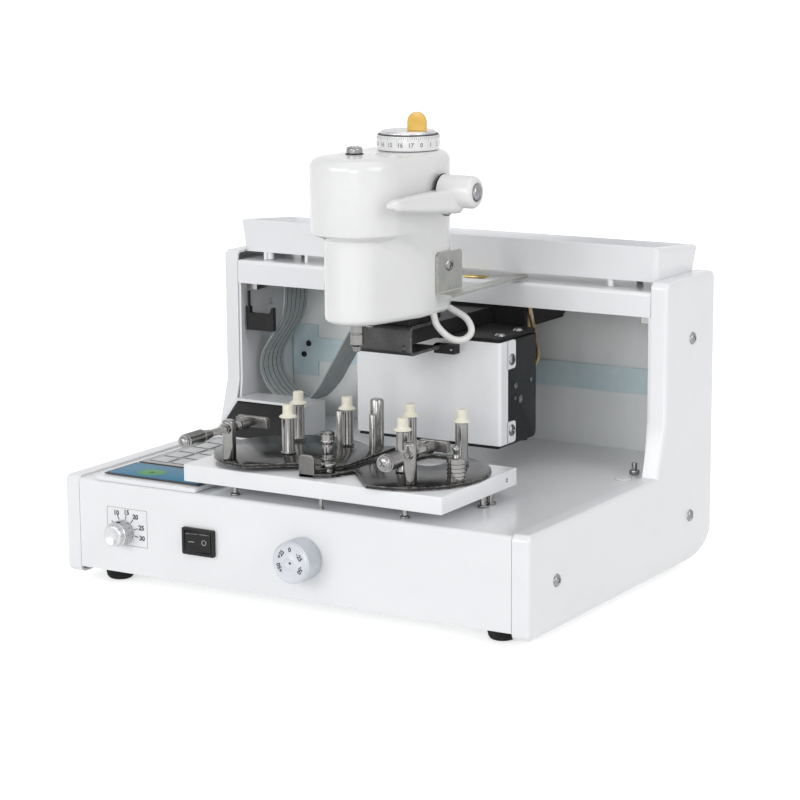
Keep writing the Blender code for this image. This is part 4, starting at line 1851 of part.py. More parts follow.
def build():
    """Makes every node."""
    clear_scene()
    side_panel("side_panel_right", 1)
    side_panel("side_panel_left", -1)
    front_top_cover()
    rear_pan()
    beam_frame()
    parts_tray()
    rail_strip()
    rear_housing()
    cable_hook()
    rubber_feet()
    mains_inlet()
    rocker_switch()
    speed_knob()
    offset_dial()
    control_plate()
    table_plate()
    clamp_plates()
    pivot_disc()
    upper = UPPER_PLATE_TOP + GAP
    lower = LOWER_PLATE_TOP + GAP
    lens_posts("left", TRIO_LEFT_X, upper)
    lens_posts("right", TRIO_RIGHT_X, lower)
    spindle_post("spindle_post_left", SPINDLE_LEFT_X, SPINDLE_LEFT_POST_Y, SPINDLE_LEFT_Z, upper)
    spindle_post("spindle_post_right", SPINDLE_RIGHT_X, SPINDLE_RIGHT_POST_Y, SPINDLE_RIGHT_Z, lower)
    screw_spindle("spindle_left", SPINDLE_LEFT_X, SPINDLE_LEFT_Z, SPINDLE_LEFT_START,
                  SPINDLE_LEFT_HANDLE, SPINDLE_LEFT_JAW_Y)
    screw_spindle("spindle_right", SPINDLE_RIGHT_X, SPINDLE_RIGHT_Z, SPINDLE_RIGHT_START,
                  SPINDLE_RIGHT_HANDLE, SPINDLE_RIGHT_JAW_Y)
    spindle_jaw("jaw_left", SPINDLE_LEFT_X, SPINDLE_LEFT_Z, SPINDLE_LEFT_JAW_Y)
    spindle_jaw("jaw_right", SPINDLE_RIGHT_X, SPINDLE_RIGHT_Z, SPINDLE_RIGHT_JAW_Y)
    thumb_screw()
    spring_plunger()
    head_housing()
    quill()
    chuck()
    feed_fork()
    feed_lever()
    depth_dial()
    head_bracket()
    head_slide()
    head_cable()
    channel()
    motor_cover()
    motor_case()
    carriage_plate()
    bearing_block()
    limit_switch()
    carriage_wires()
    guide_rods()
    ribbon_cable()


build()
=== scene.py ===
"""Looks of the desktop lens drilling machine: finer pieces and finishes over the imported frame.

Lengths are in millimetres in the case's own frame, as in the part's source: x from the middle,
y from the face of the front panel towards the back, and z up from the surface it stands on.
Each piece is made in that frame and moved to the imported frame, in metres, when it is finished."""
import math

import bmesh
import bpy
from mathutils import Matrix, Vector


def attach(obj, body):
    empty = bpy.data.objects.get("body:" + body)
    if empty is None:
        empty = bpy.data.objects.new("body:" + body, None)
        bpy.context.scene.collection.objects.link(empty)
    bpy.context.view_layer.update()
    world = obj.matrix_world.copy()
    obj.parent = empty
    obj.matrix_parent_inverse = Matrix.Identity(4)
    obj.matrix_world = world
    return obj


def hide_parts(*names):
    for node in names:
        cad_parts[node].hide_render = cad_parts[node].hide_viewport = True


MM = 0.001
CENTRE_Y = 91.7
TO_WORLD = Matrix.Scale(MM, 4) @ Matrix.Translation((0, -CENTRE_Y, 0))
FULL_TURN = 2 * math.pi
QUARTER = math.pi / 2
FIGURE_BOLDNESS = 0.035

# Cross recess of a screw, as shares of its head's radius and height
RECESS_ARM = 0.1
RECESS_REACH = 0.56
RECESS_TAPER = 0.8
RECESS_DEPTH = 0.55

# Camera of the photograph, on a sensor 36 mm wide
CAMERA_PLACE = (740.13, -1106.62, 377.07)
CAMERA_AZIMUTH = math.radians(31.113)
CAMERA_ELEVATION = math.radians(11.095)
CAMERA_ROLL = math.radians(0.381)
CAMERA_LENS = 115.8

# Case
HALF_WIDTH = 147.5
CASE_DEPTH = 222
CASE_BOTTOM = 5
CASE_TOP = 168
CASE_CORNER = 4
HEEL = (29, 15)
SIDE_WIDTH = 10
SIDE_EDGE = 2.5
SHEET = 1.5
SILL = 60.5
SLANT_START = 150
PILLAR_FRONT = 159
SLANT_TOP = 89
DECK = 59.5
GAP = 0.3
SIDE_SCREWS = ((29.7, 31.3), (192, 31.3), (192, 133.1))
SIDE_SCREW_RADIUS = 3.6
SIDE_SCREW_DOME = 2.05
FEET_X = (("left", -123), ("right", 123))
FEET_Y = (("front", 17), ("rear", 200))
DECK_STUD = (128.8, 158.5)
DECK_WASHER = (128.8, 144.5, 0.15)

# Display and keypad, on top of the control plate
KEYPAD_LEFT = -124
KEYPAD_RIGHT = -60
KEYPAD_BASE = 62.3
KEY_COLUMNS = 4
KEY_ROWS = 5
KEYS_FRONT = 42
KEYS_DEPTH = 70
KEYS_MARGIN = 3

# Front controls
SPEED = (-106.9, 0, 32)
SPEED_FRAME = (-118.2, -90.8, 24.5, 45.6)
SPEED_FIGURES = (("10", 115, 11.4), ("15", 80, 11.4), ("20", 50, 12.1), ("25", 17, 12.1), ("30", -11, 12.1))
SPEED_MARKS = (147, 115, 80, 50, 17, -11)
DIAL = (12, 0, 32.5)
DIAL_FIGURES = (("0", 90, 7.3), ("-25", 34, 7), ("-50", -25, 7), ("+25", 143, 7), ("+50", 205, 7))
SWITCH = (-55.5, 0, 32.9)
ROCKER_TILT = math.radians(7)
ROCKER_HALF = 7.7

# Table and clamps
TABLE_LOW = (-64.3, -1.5, 66)
TABLE_HIGH = (97.4, 79.3, 75.5)
TABLE_LEGS = ((-37, 8, 1.3), (21, 3.5, 1.1), (70, 8, 1.3), (88, 64, 2.2), (-37, 64, 1.3))
TABLE_STUDS = ((93.4, 49.4), (93.6, 57))
UPPER_TOP = 79.9
LOWER_TOP = 77.7
PLATE = 1.9
PLATE_RADIUS = 43
LEFT_DISC = (-20, 39)
RIGHT_DISC = (55, 39)
WINDOW = (53, 64)
WINDOW_HALF = (9.6, 13)
TAB_LEFT = 7.6
TAB_RIGHT = 17
TAB_TOP = 87.6
STOP_PINS = ((-0.5, 56, 1.75, 101), (21.6, 55.2, 1.95, 101.4), (13.6, 72.6, 3.8, 106.4))
PLUNGER = (88, 30, 0)
PIVOT = (18.5, 15, 0)
THUMB_SCREW = (10.5, 27, 0)
TRIOS = {"left": (-18, UPPER_TOP + GAP), "right": (54.5, LOWER_TOP + GAP)}
TRIO_FRONT_Y = 32
TRIO_BACK_Y = 66.5
TRIO_HALF = 16
STEM_RADIUS = 3.45
CAP_START = 100
POST_TOP = 107
JAW_LENGTH = 9
CLAMPS = (
    {"side": "left", "x": -38, "z": 97, "start": -37, "handle": 17, "jaw": 24, "radius": 3.9, "push": 13,
     "jaw_left": -45.5, "jaw_right": -26.5, "post_y": 4.7, "post": 3.7, "post_top": 101.6,
     "seat": UPPER_TOP + GAP, "screw_turn": 0.3},
    {"side": "right", "x": 73, "z": 93.7, "start": -17.6, "handle": 14, "jaw": 32, "radius": 4.7, "push": 3.5,
     "jaw_left": 65, "jaw_right": 82, "post_y": 8.4, "post": 3.5, "post_top": 100.2,
     "seat": LOWER_TOP + GAP, "screw_turn": 0.75},
)

# Head
SPINDLE_X = 21.5
SPINDLE_Y = 40
SPINDLE = (SPINDLE_X, SPINDLE_Y, 0)
HEAD_HALF = 25.5
HEAD_NOSE = 17
HEAD_NOSE_SHIFT = 2.4
HEAD_FLARE = math.radians(16)
HEAD_REAR_Y = 91
HEAD_CORNER = 18
HEAD_RIGHT = SPINDLE_X + HEAD_HALF
HEAD_BOTTOM = 154
HEAD_FOOT_ROUND = 4
HEAD_CREASE = 202.6
CREASE_STEP = 4
CREASE_DEEPENS = 22
CREASE_FROM = 30
CREASE_RUN = 38
HEAD_TOP = 242
HEAD_TOP_ROUND = 5.5
HEAD_SCREW_Y = 39.4
CROWN_Y = 42
CROWN_HALF = (23, 27)
CROWN_RISE = 1.9
CROWN_CUTS = ((0, SPINDLE_X - 20, SPINDLE_X + 20, 14), (1, 22, 104, 24))
QUILL_BORE = 7.2
QUILL_BORE_DEPTH = 33
LEVER_Y = 84
LEVER_Z = 221.5
LEVER_START = 49.6
LEVER_END = 70.5
LEVER_FRONT = 23.5
LEVER_ROOT_LOW = 209.9
LEVER_ROOT_RIGHT = 63.4
LEVER_TIP_RIGHT = 56.2
LEVER_TIP = (216.9, 222.3)
HUB_RADIUS = 8.7
HUB_ROUND = (2.8, 3.2)
DEPTH_DIAL = (24.5, 89.5, 242.3)
DEPTH_RADIUS = 17
DEPTH_BAND = 8
DEPTH_NUMBERS = 18
DEPTH_MARKS_EACH = 5
TAB_HALF = 5.6
TAB_PEAK = 262.58
CABLE_LOOP = ((0, 0, 0), (1.8, 1.5, -7.2), (6.6, 7, -14.2), (11.6, 12.5, -15.6), (13.6, 18, -11.6),
              (8.6, 21, -5.2), (-1.6, 20.4, 0))

# Folded sheets, and the drive's wires
FOLDED = 1.6
BRACKET_FOOT = 164.2
BRACKET_REACH = 9.6
BRACKET_TOP = 188
BRACKET_PLATE = (79.4, 105.4)
BRACKET_END = 168
WIRE_ROUTE = ((61.5, 158.3, 112), (62.2, 161.5, 114), (63.8, 163.6, 120), (62.4, 164.2, 130),
              (60.4, 164, 139), (59.6, 163.6, 148.2))
WIRE_FINISHES = ("wire_yellow", "wire_pale", "wire_brown", "wire_red", "black_plastic", "wire_pale",
                 "wire_yellow")

# Ribbon: points across from the left side and down from the beam
RIBBON_LOOP = ((34.5, 0), (33.2, 14.3), (30.1, 23.1), (22.6, 33.6), (16.9, 42.9), (16, 52.9), (21.3, 63),
               (31.5, 70.2), (45.4, 70.8), (57.1, 60.4), (64.4, 49.2), (71.7, 37.5), (81.5, 22), (90.5, 9),
               (93.5, 0))
RIBBON_TOP = 146
RIBBON_NEAR = 173.3
RIBBON_WIDTH = 25
RIBBON_LANES = 16
RIBBON_SHADE_END = 52

TURN_TO = {
    "X": Matrix.Rotation(QUARTER, 4, "Y"),
    "-X": Matrix.Rotation(-QUARTER, 4, "Y"),
    "Y": Matrix.Rotation(-QUARTER, 4, "X"),
    "-Y": Matrix.Rotation(QUARTER, 4, "X"),
    "Z": Matrix.Identity(4),
    "-Z": Matrix.Rotation(math.pi, 4, "X"),
}
UPRIGHT = Matrix.Rotation(QUARTER, 4, "X")

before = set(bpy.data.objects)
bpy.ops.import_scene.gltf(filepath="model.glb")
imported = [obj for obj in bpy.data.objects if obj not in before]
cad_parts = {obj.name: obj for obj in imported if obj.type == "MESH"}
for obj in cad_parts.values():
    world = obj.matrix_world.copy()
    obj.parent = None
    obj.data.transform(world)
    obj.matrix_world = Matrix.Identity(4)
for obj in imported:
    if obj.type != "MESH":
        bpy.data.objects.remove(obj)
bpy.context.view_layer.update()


# Outlines and profiles

def arc(centre, radius, start, end, steps):
    """Points of an arc between two angles in degrees."""
    points = []
    for step in range(steps + 1):
        angle = math.radians(start + (end - start) * step / steps)
        points.append((centre[0] + radius * math.cos(angle), centre[1] + radius * math.sin(angle)))
    return points


def oblong(centre, half, count):
    """Points of an oblong with very round corners."""
    points = []
    for step in range(count):
        angle = FULL_TURN * step / count
        across = math.copysign(abs(math.cos(angle)) ** 0.6, math.cos(angle))
        along = math.copysign(abs(math.sin(angle)) ** 0.6, math.sin(angle))
        points.append((centre[0] + half[0] * across, centre[1] + half[1] * along))
    return points


def eased(share):
    """A share from 0 to 1 that starts and ends gently."""
    return share * share * (3 - 2 * share)


def rod(radius, low, high):
    """Profile of a rod between two heights."""
    return [(0, low), (radius, low), (radius, high), (0, high)]


def collar(inner, outer, low, high):
    """Profile of a ring between two radii and two heights."""
    return [(inner, low), (outer, low), (outer, high), (inner, high), (inner, low)]


def dome(radius, height, steps=8):
    """Profile of a dome from its rim to its pole."""
    points = []
    for step in range(steps):
        angle = QUARTER * step / steps
        points.append((radius * math.cos(angle), height * math.sin(angle)))
    return points + [(0, height)]


def soften(points, size, steps=3):
    """Rounds the corners between a profile's straight runs."""
    spots = [Vector(point) for point in points]
    made = [points[0]]
    for before, here, after in zip(spots, spots[1:], spots[2:]):
        back = before - here
        ahead = after - here
        reach = min(size, back.length * 0.45, ahead.length * 0.45)
        if reach < 0.02 or abs(back.normalized().cross(ahead.normalized())) < 0.05:
            made.append(tuple(here))
            continue
        start = here + back.normalized() * reach
        end = here + ahead.normalized() * reach
        for step in range(steps + 1):
            share = step / steps
            curve = start * (1 - share) ** 2 + here * 2 * share * (1 - share) + end * share ** 2
            made.append(tuple(curve))
    made.append(points[-1])
    return made


def smooth_route(points, steps):
    """Evenly spaced points on a smooth curve through the given ones."""
    spots = [Vector(point) for point in points]
    spots = [2 * spots[0] - spots[1]] + spots + [2 * spots[-1] - spots[-2]]
    fine = []
    for index in range(1, len(spots) - 2):
        before, start, end, after = spots[index - 1:index + 3]
        for step in range(24):
            share = step / 24
            bend = (2 * start + (end - before) * share
                    + (2 * before - 5 * start + 4 * end - after) * share ** 2
                    + (3 * start - before - 3 * end + after) * share ** 3)
            fine.append(bend / 2)
    fine.append(spots[-2])
    lengths = [0]
    for here, there in zip(fine, fine[1:]):
        lengths.append(lengths[-1] + (there - here).length)
    route = []
    index = 0
    for step in range(steps + 1):
        wanted = lengths[-1] * step / steps
        while index < len(fine) - 2 and lengths[index + 1] < wanted:
            index += 1
        run = lengths[index + 1] - lengths[index]
        route.append(fine[index].lerp(fine[index + 1], min((wanted - lengths[index]) / run, 1)))
    return route


# Shapes

def new():
    """A fresh bmesh."""
    return bmesh.new()


def at(base, axis="Z"):
    """The matrix that stands a shape made round Z on a base, along an axis."""
    return Matrix.Translation(base) @ TURN_TO[axis]


def verts_in(items):
    """The vertices among what an operator made."""
    return [item for item in items if isinstance(item, bmesh.types.BMVert)]


def edges_of(verts):
    """All edges that meet the given vertices."""
    return {edge for vert in verts for edge in vert.link_edges}


def closed_loop(bm, spots):
    """A closed loop of edges through the given points."""
    verts = [bm.verts.new(spot) for spot in spots]
    return [bm.edges.new(pair) for pair in zip(verts, verts[1:] + verts[:1])]


def turned(bm, profile, base, axis="Z", steps=48):
    """Spins a profile of (radius, height) points and closes it at its poles."""
    before = set(bm.verts)
    verts = [bm.verts.new((radius, 0, height)) for radius, height in profile]
    edges = [bm.edges.new(pair) for pair in zip(verts, verts[1:])]
    bmesh.ops.spin(bm, geom=verts + edges, cent=(0, 0, 0), axis=(0, 0, 1), dvec=(0, 0, 0),
                   angle=FULL_TURN, steps=steps, use_merge=True)
    made = [vert for vert in bm.verts if vert not in before]
    bmesh.ops.remove_doubles(bm, verts=made, dist=0.0005)
    kept = [vert for vert in made if vert.is_valid]
    bmesh.ops.transform(bm, matrix=at(base, axis), verts=kept)
    return kept


def rounded(bm, edges, size, segments=3):
    """Rounds the given edges."""
    bmesh.ops.bevel(bm, geom=list(edges), offset=size, segments=segments, profile=0.5,
                    affect="EDGES", material=-1, clamp_overlap=True)


def block(bm, low, high, round_off=0, segments=3):
    """A box between two corners, with its edges rounded."""
    size = [high[axis] - low[axis] for axis in range(3)]
    middle = [(high[axis] + low[axis]) / 2 for axis in range(3)]
    place = Matrix.Translation(middle) @ Matrix.Diagonal((*size, 1))
    verts = bmesh.ops.create_cube(bm, size=1, matrix=place)["verts"]
    if round_off:
        rounded(bm, edges_of(verts), round_off, segments)
    return verts


def sheet(bm, outline, axis, start, end, edge=0, segments=2):
    """A face from an outline, extruded along an axis, with the edges of both faces rounded.

    Points are (y, z) along X, (x, z) along Y and (x, y) along Z."""
    spots = {"X": lambda a, b: (start, a, b), "Y": lambda a, b: (a, start, b),
             "Z": lambda a, b: (a, b, start)}[axis]
    near = bm.faces.new([bm.verts.new(spots(*point)) for point in outline])
    way = {"X": (end - start, 0, 0), "Y": (0, end - start, 0), "Z": (0, 0, end - start)}[axis]
    made = bmesh.ops.extrude_face_region(bm, geom=[near], use_keep_orig=True)["geom"]
    bmesh.ops.translate(bm, vec=way, verts=verts_in(made))
    far = next(item for item in made if isinstance(item, bmesh.types.BMFace))
    if edge:
        rounded(bm, list(near.edges) + list(far.edges), edge, segments)
    return near, far


def loft(bm, rings):
    """Skins a stack of rings of equal count, and closes its ends."""
    edges = [closed_loop(bm, ring) for ring in rings]
    for lower, upper in zip(edges, edges[1:]):
        bmesh.ops.bridge_loops(bm, edges=lower + upper)
    for end in (edges[0], edges[-1]):
        bm.faces.new([edge.verts[0] for edge in end])


def flat_plate(bm, loops, low, high, edge=0.45):
    """A flat plate between two heights, from its outline and the outlines of its holes."""
    edges = []
    for loop in loops:
        edges += closed_loop(bm, [(x, y, low) for x, y in loop])
    made = bmesh.ops.triangle_fill(bm, use_beauty=True, use_dissolve=False, edges=edges)["geom"]
    faces = [item for item in made if isinstance(item, bmesh.types.BMFace)]
    lifted = bmesh.ops.extrude_face_region(bm, geom=faces, use_keep_orig=True)["geom"]
    bmesh.ops.translate(bm, verts=verts_in(lifted), vec=(0, 0, high - low))
    bm.normal_update()
    rim = [item for item in bm.edges if len(item.link_faces) == 2
           and min(vert.co.z for vert in item.verts) > high - 0.01
           and min(abs(face.normal.z) for face in item.link_faces) < 0.5]
    rounded(bm, rim, edge, 2)


def cross_screw(bm, radius, height, base, axis, turn=0.4, seat=0.4):
    """A domed screw head with a cross recess sunk in it."""
    cells = 13
    verts = bmesh.ops.create_grid(bm, x_segments=cells, y_segments=cells, size=1)["verts"]
    faces = {face for vert in verts for face in vert.link_faces}
    arms = []
    for face in faces:
        narrow, wide = sorted(abs(share) for share in face.calc_center_median().xy)
        if narrow < RECESS_ARM and wide < RECESS_REACH:
            arms.append(face)
    rim = [edge for edge in edges_of(verts) if edge.is_boundary]
    for vert in verts:
        across, along = vert.co.x, vert.co.y
        x = across * math.sqrt(1 - along * along / 2)
        y = along * math.sqrt(1 - across * across / 2)
        share = min(1, math.hypot(x, y))
        rise = math.sqrt(max(0, 1 - share ** 2.2))
        vert.co = (x * radius, y * radius, height * rise)
    skirt = bmesh.ops.extrude_edge_only(bm, edges=rim)["geom"]
    low = verts_in(skirt)
    bmesh.ops.translate(bm, verts=low, vec=(0, 0, -seat))
    foot = [item for item in skirt if isinstance(item, bmesh.types.BMEdge)]
    bmesh.ops.contextual_create(bm, geom=foot)
    sunk = bmesh.ops.extrude_face_region(bm, geom=arms)["geom"]
    bmesh.ops.delete(bm, geom=arms, context="FACES_KEEP_BOUNDARY")
    floor = verts_in(sunk)
    for vert in floor:
        vert.co.z -= height * RECESS_DEPTH
        pull_in(vert, RECESS_TAPER)
    every = set(verts) | set(low) | set(floor)
    placed = at(base, axis) @ Matrix.Rotation(turn, 4, "Z")
    bmesh.ops.transform(bm, matrix=placed, verts=[vert for vert in every if vert.is_valid])


def tooth(vert, count):
    """Which of count places round Z a vertex stands at."""
    return round(math.atan2(vert.co.y, vert.co.x) / FULL_TURN * count)


def pull_in(vert, share):
    """Moves a vertex towards Z, to a share of its distance."""
    vert.co.x *= share
    vert.co.y *= share


def diamond_knurl(bm, radius, depth, low, high, base, axis="Z", count=40, rows=12, end_round=0.5):
    """A band whose crossed ridges stand out in diamonds, with plain rounded ends."""
    run = high - low - 2 * end_round
    levels = [low + end_round + run * (row + 0.5) / rows for row in range(rows)]
    profile = [(0, low), (radius - end_round, low), (radius, low + end_round)]
    profile += [(radius, level) for level in levels]
    profile += [(radius, high - end_round), (radius - end_round, high), (0, high)]
    verts = turned(bm, profile, (0, 0, 0), "Z", count * 2)
    for vert in verts:
        away = math.hypot(vert.co.x, vert.co.y)
        if away > radius - 0.01 and levels[0] - 0.01 < vert.co.z < levels[-1] + 0.01:
            row = min(range(rows), key=lambda index: abs(levels[index] - vert.co.z))
            if (tooth(vert, count * 2) + row) % 2:
                pull_in(vert, (radius - depth) / radius)
    bmesh.ops.transform(bm, matrix=at(base, axis), verts=verts)


def straight_knurl(bm, radius, depth, low, high, base, axis, count, end_round=0.4):
    """A band with straight teeth along its axis."""
    neck = radius - depth - end_round
    profile = [(0, low), (neck, low), (radius, low + end_round), (radius, high - end_round), (neck, high),
               (0, high)]
    verts = turned(bm, profile, (0, 0, 0), "Z", count * 2)
    for vert in verts:
        if math.hypot(vert.co.x, vert.co.y) > radius - 0.01 and tooth(vert, count * 2) % 2:
            pull_in(vert, (radius - depth) / radius)
    bmesh.ops.transform(bm, matrix=at(base, axis), verts=verts)


def tube(bm, route, radius, sides=20):
    """A round cord along a route of points, closed at its ends."""
    rings = []
    side = Vector((0, 1, 0))
    for index, spot in enumerate(route):
        before = route[max(index - 1, 0)]
        after = route[min(index + 1, len(route) - 1)]
        run = (after - before).normalized()
        side = (side - run * side.dot(run)).normalized()
        other = run.cross(side)
        ring = []
        for step in range(sides):
            angle = FULL_TURN * step / sides
            ring.append(spot + side * (radius * math.cos(angle)) + other * (radius * math.sin(angle)))
        rings.append(ring)
    loft(bm, rings)


def add_words(bm, words, size, place, turn, depth=0.06):
    """Adds raised figures to a mesh: they lie in the plane that turn gives, centred on place."""
    curve = bpy.data.curves.new("figures", "FONT")
    curve.body = words
    curve.size = size
    curve.align_x = "CENTER"
    curve.align_y = "CENTER"
    curve.extrude = depth
    curve.offset = size * FIGURE_BOLDNESS
    curve.resolution_u = 4
    holder = bpy.data.objects.new("figures", curve)
    bpy.context.scene.collection.objects.link(holder)
    graph = bpy.context.evaluated_depsgraph_get()
    mesh = bpy.data.meshes.new_from_object(holder.evaluated_get(graph))
    bpy.data.objects.remove(holder)
    bpy.data.curves.remove(curve)
    mesh.transform(Matrix.Translation(place) @ turn)
    bm.from_mesh(mesh)
    bpy.data.meshes.remove(mesh)


# Node groups for the effects that several finishes share

def feed(tree, value, socket):
    """Links a socket, or sets a plain value."""
    if isinstance(value, bpy.types.NodeSocket):
        tree.links.new(value, socket)
    else:
        socket.default_value = value


def group(name, inputs, outputs):
    """An empty node group with its sockets."""
    made = bpy.data.node_groups.new(name, "ShaderNodeTree")
    for label, value in inputs.items():
        kind = "NodeSocketVector" if isinstance(value, tuple) else "NodeSocketFloat"
        socket = made.interface.new_socket(name=label, in_out="INPUT", socket_type=kind)
        socket.default_value = value
    for label in outputs:
        made.interface.new_socket(name=label, in_out="OUTPUT", socket_type="NodeSocketFloat")
    return made, made.nodes.new("NodeGroupInput").outputs, made.nodes.new("NodeGroupOutput").inputs


def noise(tree, place, scale, detail=3, roughness=0.5):
    """A noise texture with its scale given by a socket or a value."""
    node = tree.nodes.new("ShaderNodeTexNoise")
    for label, value in (("Vector", place), ("Scale", scale), ("Detail", detail),
                         ("Roughness", roughness)):
        feed(tree, value, node.inputs[label])
    return node.outputs["Fac"]


def sums(tree, operation, *values):
    """A Math node from sockets and plain values."""
    node = tree.nodes.new("ShaderNodeMath")
    node.operation = operation
    for socket, value in zip(node.inputs, values):
        feed(tree, value, socket)
    return node.outputs[0]


def vectors(tree, operation, *values):
    """A Vector Math node from sockets and plain values."""
    node = tree.nodes.new("ShaderNodeVectorMath")
    node.operation = operation
    for socket, value in zip(node.inputs, values):
        feed(tree, value, socket)
    return node.outputs


def ramp(tree, value, low, high, to_low=0.0, to_high=1.0):
    """Maps a value from one range to another, held at its ends."""
    node = tree.nodes.new("ShaderNodeMapRange")
    node.clamp = True
    for label, given in (("Value", value), ("From Min", low), ("From Max", high),
                         ("To Min", to_low), ("To Max", to_high)):
        feed(tree, given, node.inputs[label])
    return node.outputs["Result"]


def two_sizes(tree, wide, fine, fine_share):
    """Two noises added by their shares."""
    return sums(tree, "ADD", sums(tree, "MULTIPLY", wide, 1 - fine_share),
                sums(tree, "MULTIPLY", fine, fine_share))


def make_drift_group():
    """Slow drift of tone over a surface, from two sizes of noise."""
    made, given, out = group("tone_drift", {"Place": (0, 0, 0), "Scale": 30.0}, ["Mask"])
    wide = noise(made, given["Place"], given["Scale"], 2)
    small = noise(made, given["Place"], sums(made, "MULTIPLY", given["Scale"], 7.0), 3)
    made.links.new(ramp(made, two_sizes(made, wide, small, 0.3), 0.3, 0.7), out["Mask"])
    return made


def make_grain_group():
    """Fine grain, stretched where the surface is brushed or turned."""
    made, given, out = group("fine_grain", {"Place": (0, 0, 0), "Scale": 1000.0, "Stretch": (1, 1, 1)},
                             ["Height", "Mask"])
    place = vectors(made, "MULTIPLY", given["Place"], given["Stretch"])[0]
    fine = noise(made, place, given["Scale"], 4, 0.6)
    coarse = noise(made, place, sums(made, "MULTIPLY", given["Scale"], 0.22), 2)
    both = two_sizes(made, coarse, fine, 0.6)
    made.links.new(both, out["Height"])
    made.links.new(ramp(made, both, 0.35, 0.65), out["Mask"])
    return made


def make_wear_group():
    """Marks the edges, broken up by noise: where handling rubs them, and a painted highlight along them."""
    made, given, out = group("edge_wear_and_highlight", {"Place": (0, 0, 0), "Reach": 0.0006, "Amount": 0.5}, ["Mask"])
    soft = made.nodes.new("ShaderNodeBevel")
    soft.samples = 4
    made.links.new(given["Reach"], soft.inputs["Radius"])
    plain = made.nodes.new("ShaderNodeNewGeometry")
    meet = vectors(made, "DOT_PRODUCT", soft.outputs["Normal"], plain.outputs["Normal"])["Value"]
    edge = ramp(made, meet, 0.995, 0.9)
    broken = ramp(made, noise(made, given["Place"], 420.0, 4), 0.38, 0.62)
    worn_and_lit = sums(made, "MULTIPLY", edge, broken)
    made.links.new(sums(made, "MULTIPLY", worn_and_lit, given["Amount"]), out["Mask"])
    return made


def make_dust_group():
    """A thin film of dust on surfaces that face up."""
    made, given, out = group("settled_dust", {"Place": (0, 0, 0), "Amount": 0.1}, ["Mask"])
    plain = made.nodes.new("ShaderNodeNewGeometry")
    split = made.nodes.new("ShaderNodeSeparateXYZ")
    made.links.new(plain.outputs["Normal"], split.inputs[0])
    facing = ramp(made, split.outputs["Z"], 0.5, 1.0)
    spread = ramp(made, noise(made, given["Place"], 120.0, 5, 0.7), 0.45, 0.75)
    held = sums(made, "MULTIPLY", facing, spread)
    made.links.new(sums(made, "MULTIPLY", held, given["Amount"]), out["Mask"])
    return made


DRIFT = make_drift_group()
GRAIN = make_grain_group()
# The edge group paints both wear and a highlight along the edges
WEAR_AND_HIGHLIGHT = make_wear_group()
DUST = make_dust_group()


def use(tree, made, place, **values):
    """Places a shared effect in a material with its own values."""
    node = tree.nodes.new("ShaderNodeGroup")
    node.node_tree = made
    tree.links.new(place, node.inputs["Place"])
    for label, value in values.items():
        node.inputs[label.capitalize()].default_value = value
    return node.outputs


def blend_colours(tree, mask, first, second):
    """Mixes two colours by a mask."""
    node = tree.nodes.new("ShaderNodeMix")
    node.data_type = "RGBA"
    tree.links.new(mask, node.inputs["Factor"])
    for socket, value in ((node.inputs[6], first), (node.inputs[7], second)):
        feed(tree, value if isinstance(value, bpy.types.NodeSocket) else (*value, 1), socket)
    return node.outputs[2]


def material(name, colour, shade, roughness, spread=0.08, metallic=0.0, drift=60.0, grain=900.0,
             stretch=(1, 1, 1), bump=0.1, bump_depth=0.00002, worn_and_lit=None, wear_and_highlight=0.0, reach=0.0006,
             dust=0.0, coat=0.0, coat_roughness=0.1, specular=0.5, paint=None):
    """A finish: drifting tone, grain in its roughness and its bump, edges painted lighter for wear and as a
    painted highlight, and a little dust.
    """
    made = bpy.data.materials.new(name)
    made.use_nodes = True
    tree = made.node_tree
    shader = tree.nodes["Principled BSDF"]
    place = tree.nodes.new("ShaderNodeTexCoord").outputs["Object"]
    base = blend_colours(tree, use(tree, DRIFT, place, scale=drift)["Mask"], colour, shade)
    if paint:
        base = paint(tree, place, base)
    texture = use(tree, GRAIN, place, scale=grain, stretch=stretch)
    # Lighter edges: partly wear, partly a painted highlight along them
    if wear_and_highlight:
        rubbed_and_lit = use(tree, WEAR_AND_HIGHLIGHT, place, reach=reach, amount=wear_and_highlight)["Mask"]
        base = blend_colours(tree, rubbed_and_lit, base, worn_and_lit)
    if dust:
        film = use(tree, DUST, place, amount=dust)["Mask"]
        base = blend_colours(tree, film, base, (0.55, 0.53, 0.5))
    tree.links.new(base, shader.inputs["Base Color"])
    rough = sums(tree, "MULTIPLY_ADD", texture["Mask"], spread, roughness - spread / 2)
    tree.links.new(rough, shader.inputs["Roughness"])
    relief = tree.nodes.new("ShaderNodeBump")
    relief.inputs["Strength"].default_value = bump
    relief.inputs["Distance"].default_value = bump_depth
    tree.links.new(texture["Height"], relief.inputs["Height"])
    tree.links.new(relief.outputs["Normal"], shader.inputs["Normal"])
    shader.inputs["Metallic"].default_value = metallic
    shader.inputs["Coat Weight"].default_value = coat
    shader.inputs["Coat Roughness"].default_value = coat_roughness
    shader.inputs["Specular IOR Level"].default_value = specular
    made.diffuse_color = (*colour, 1)
    return made


def brushed_paint(tree, place, base):
    """Upright brush marks, painted a little lighter than the sheet as a streaked sheen."""
    marks = use(tree, GRAIN, place, scale=150, stretch=(1, 1, 0.02))["Mask"]
    return blend_colours(tree, sums(tree, "MULTIPLY", marks, 0.16), base, (0.92, 0.93, 0.93))


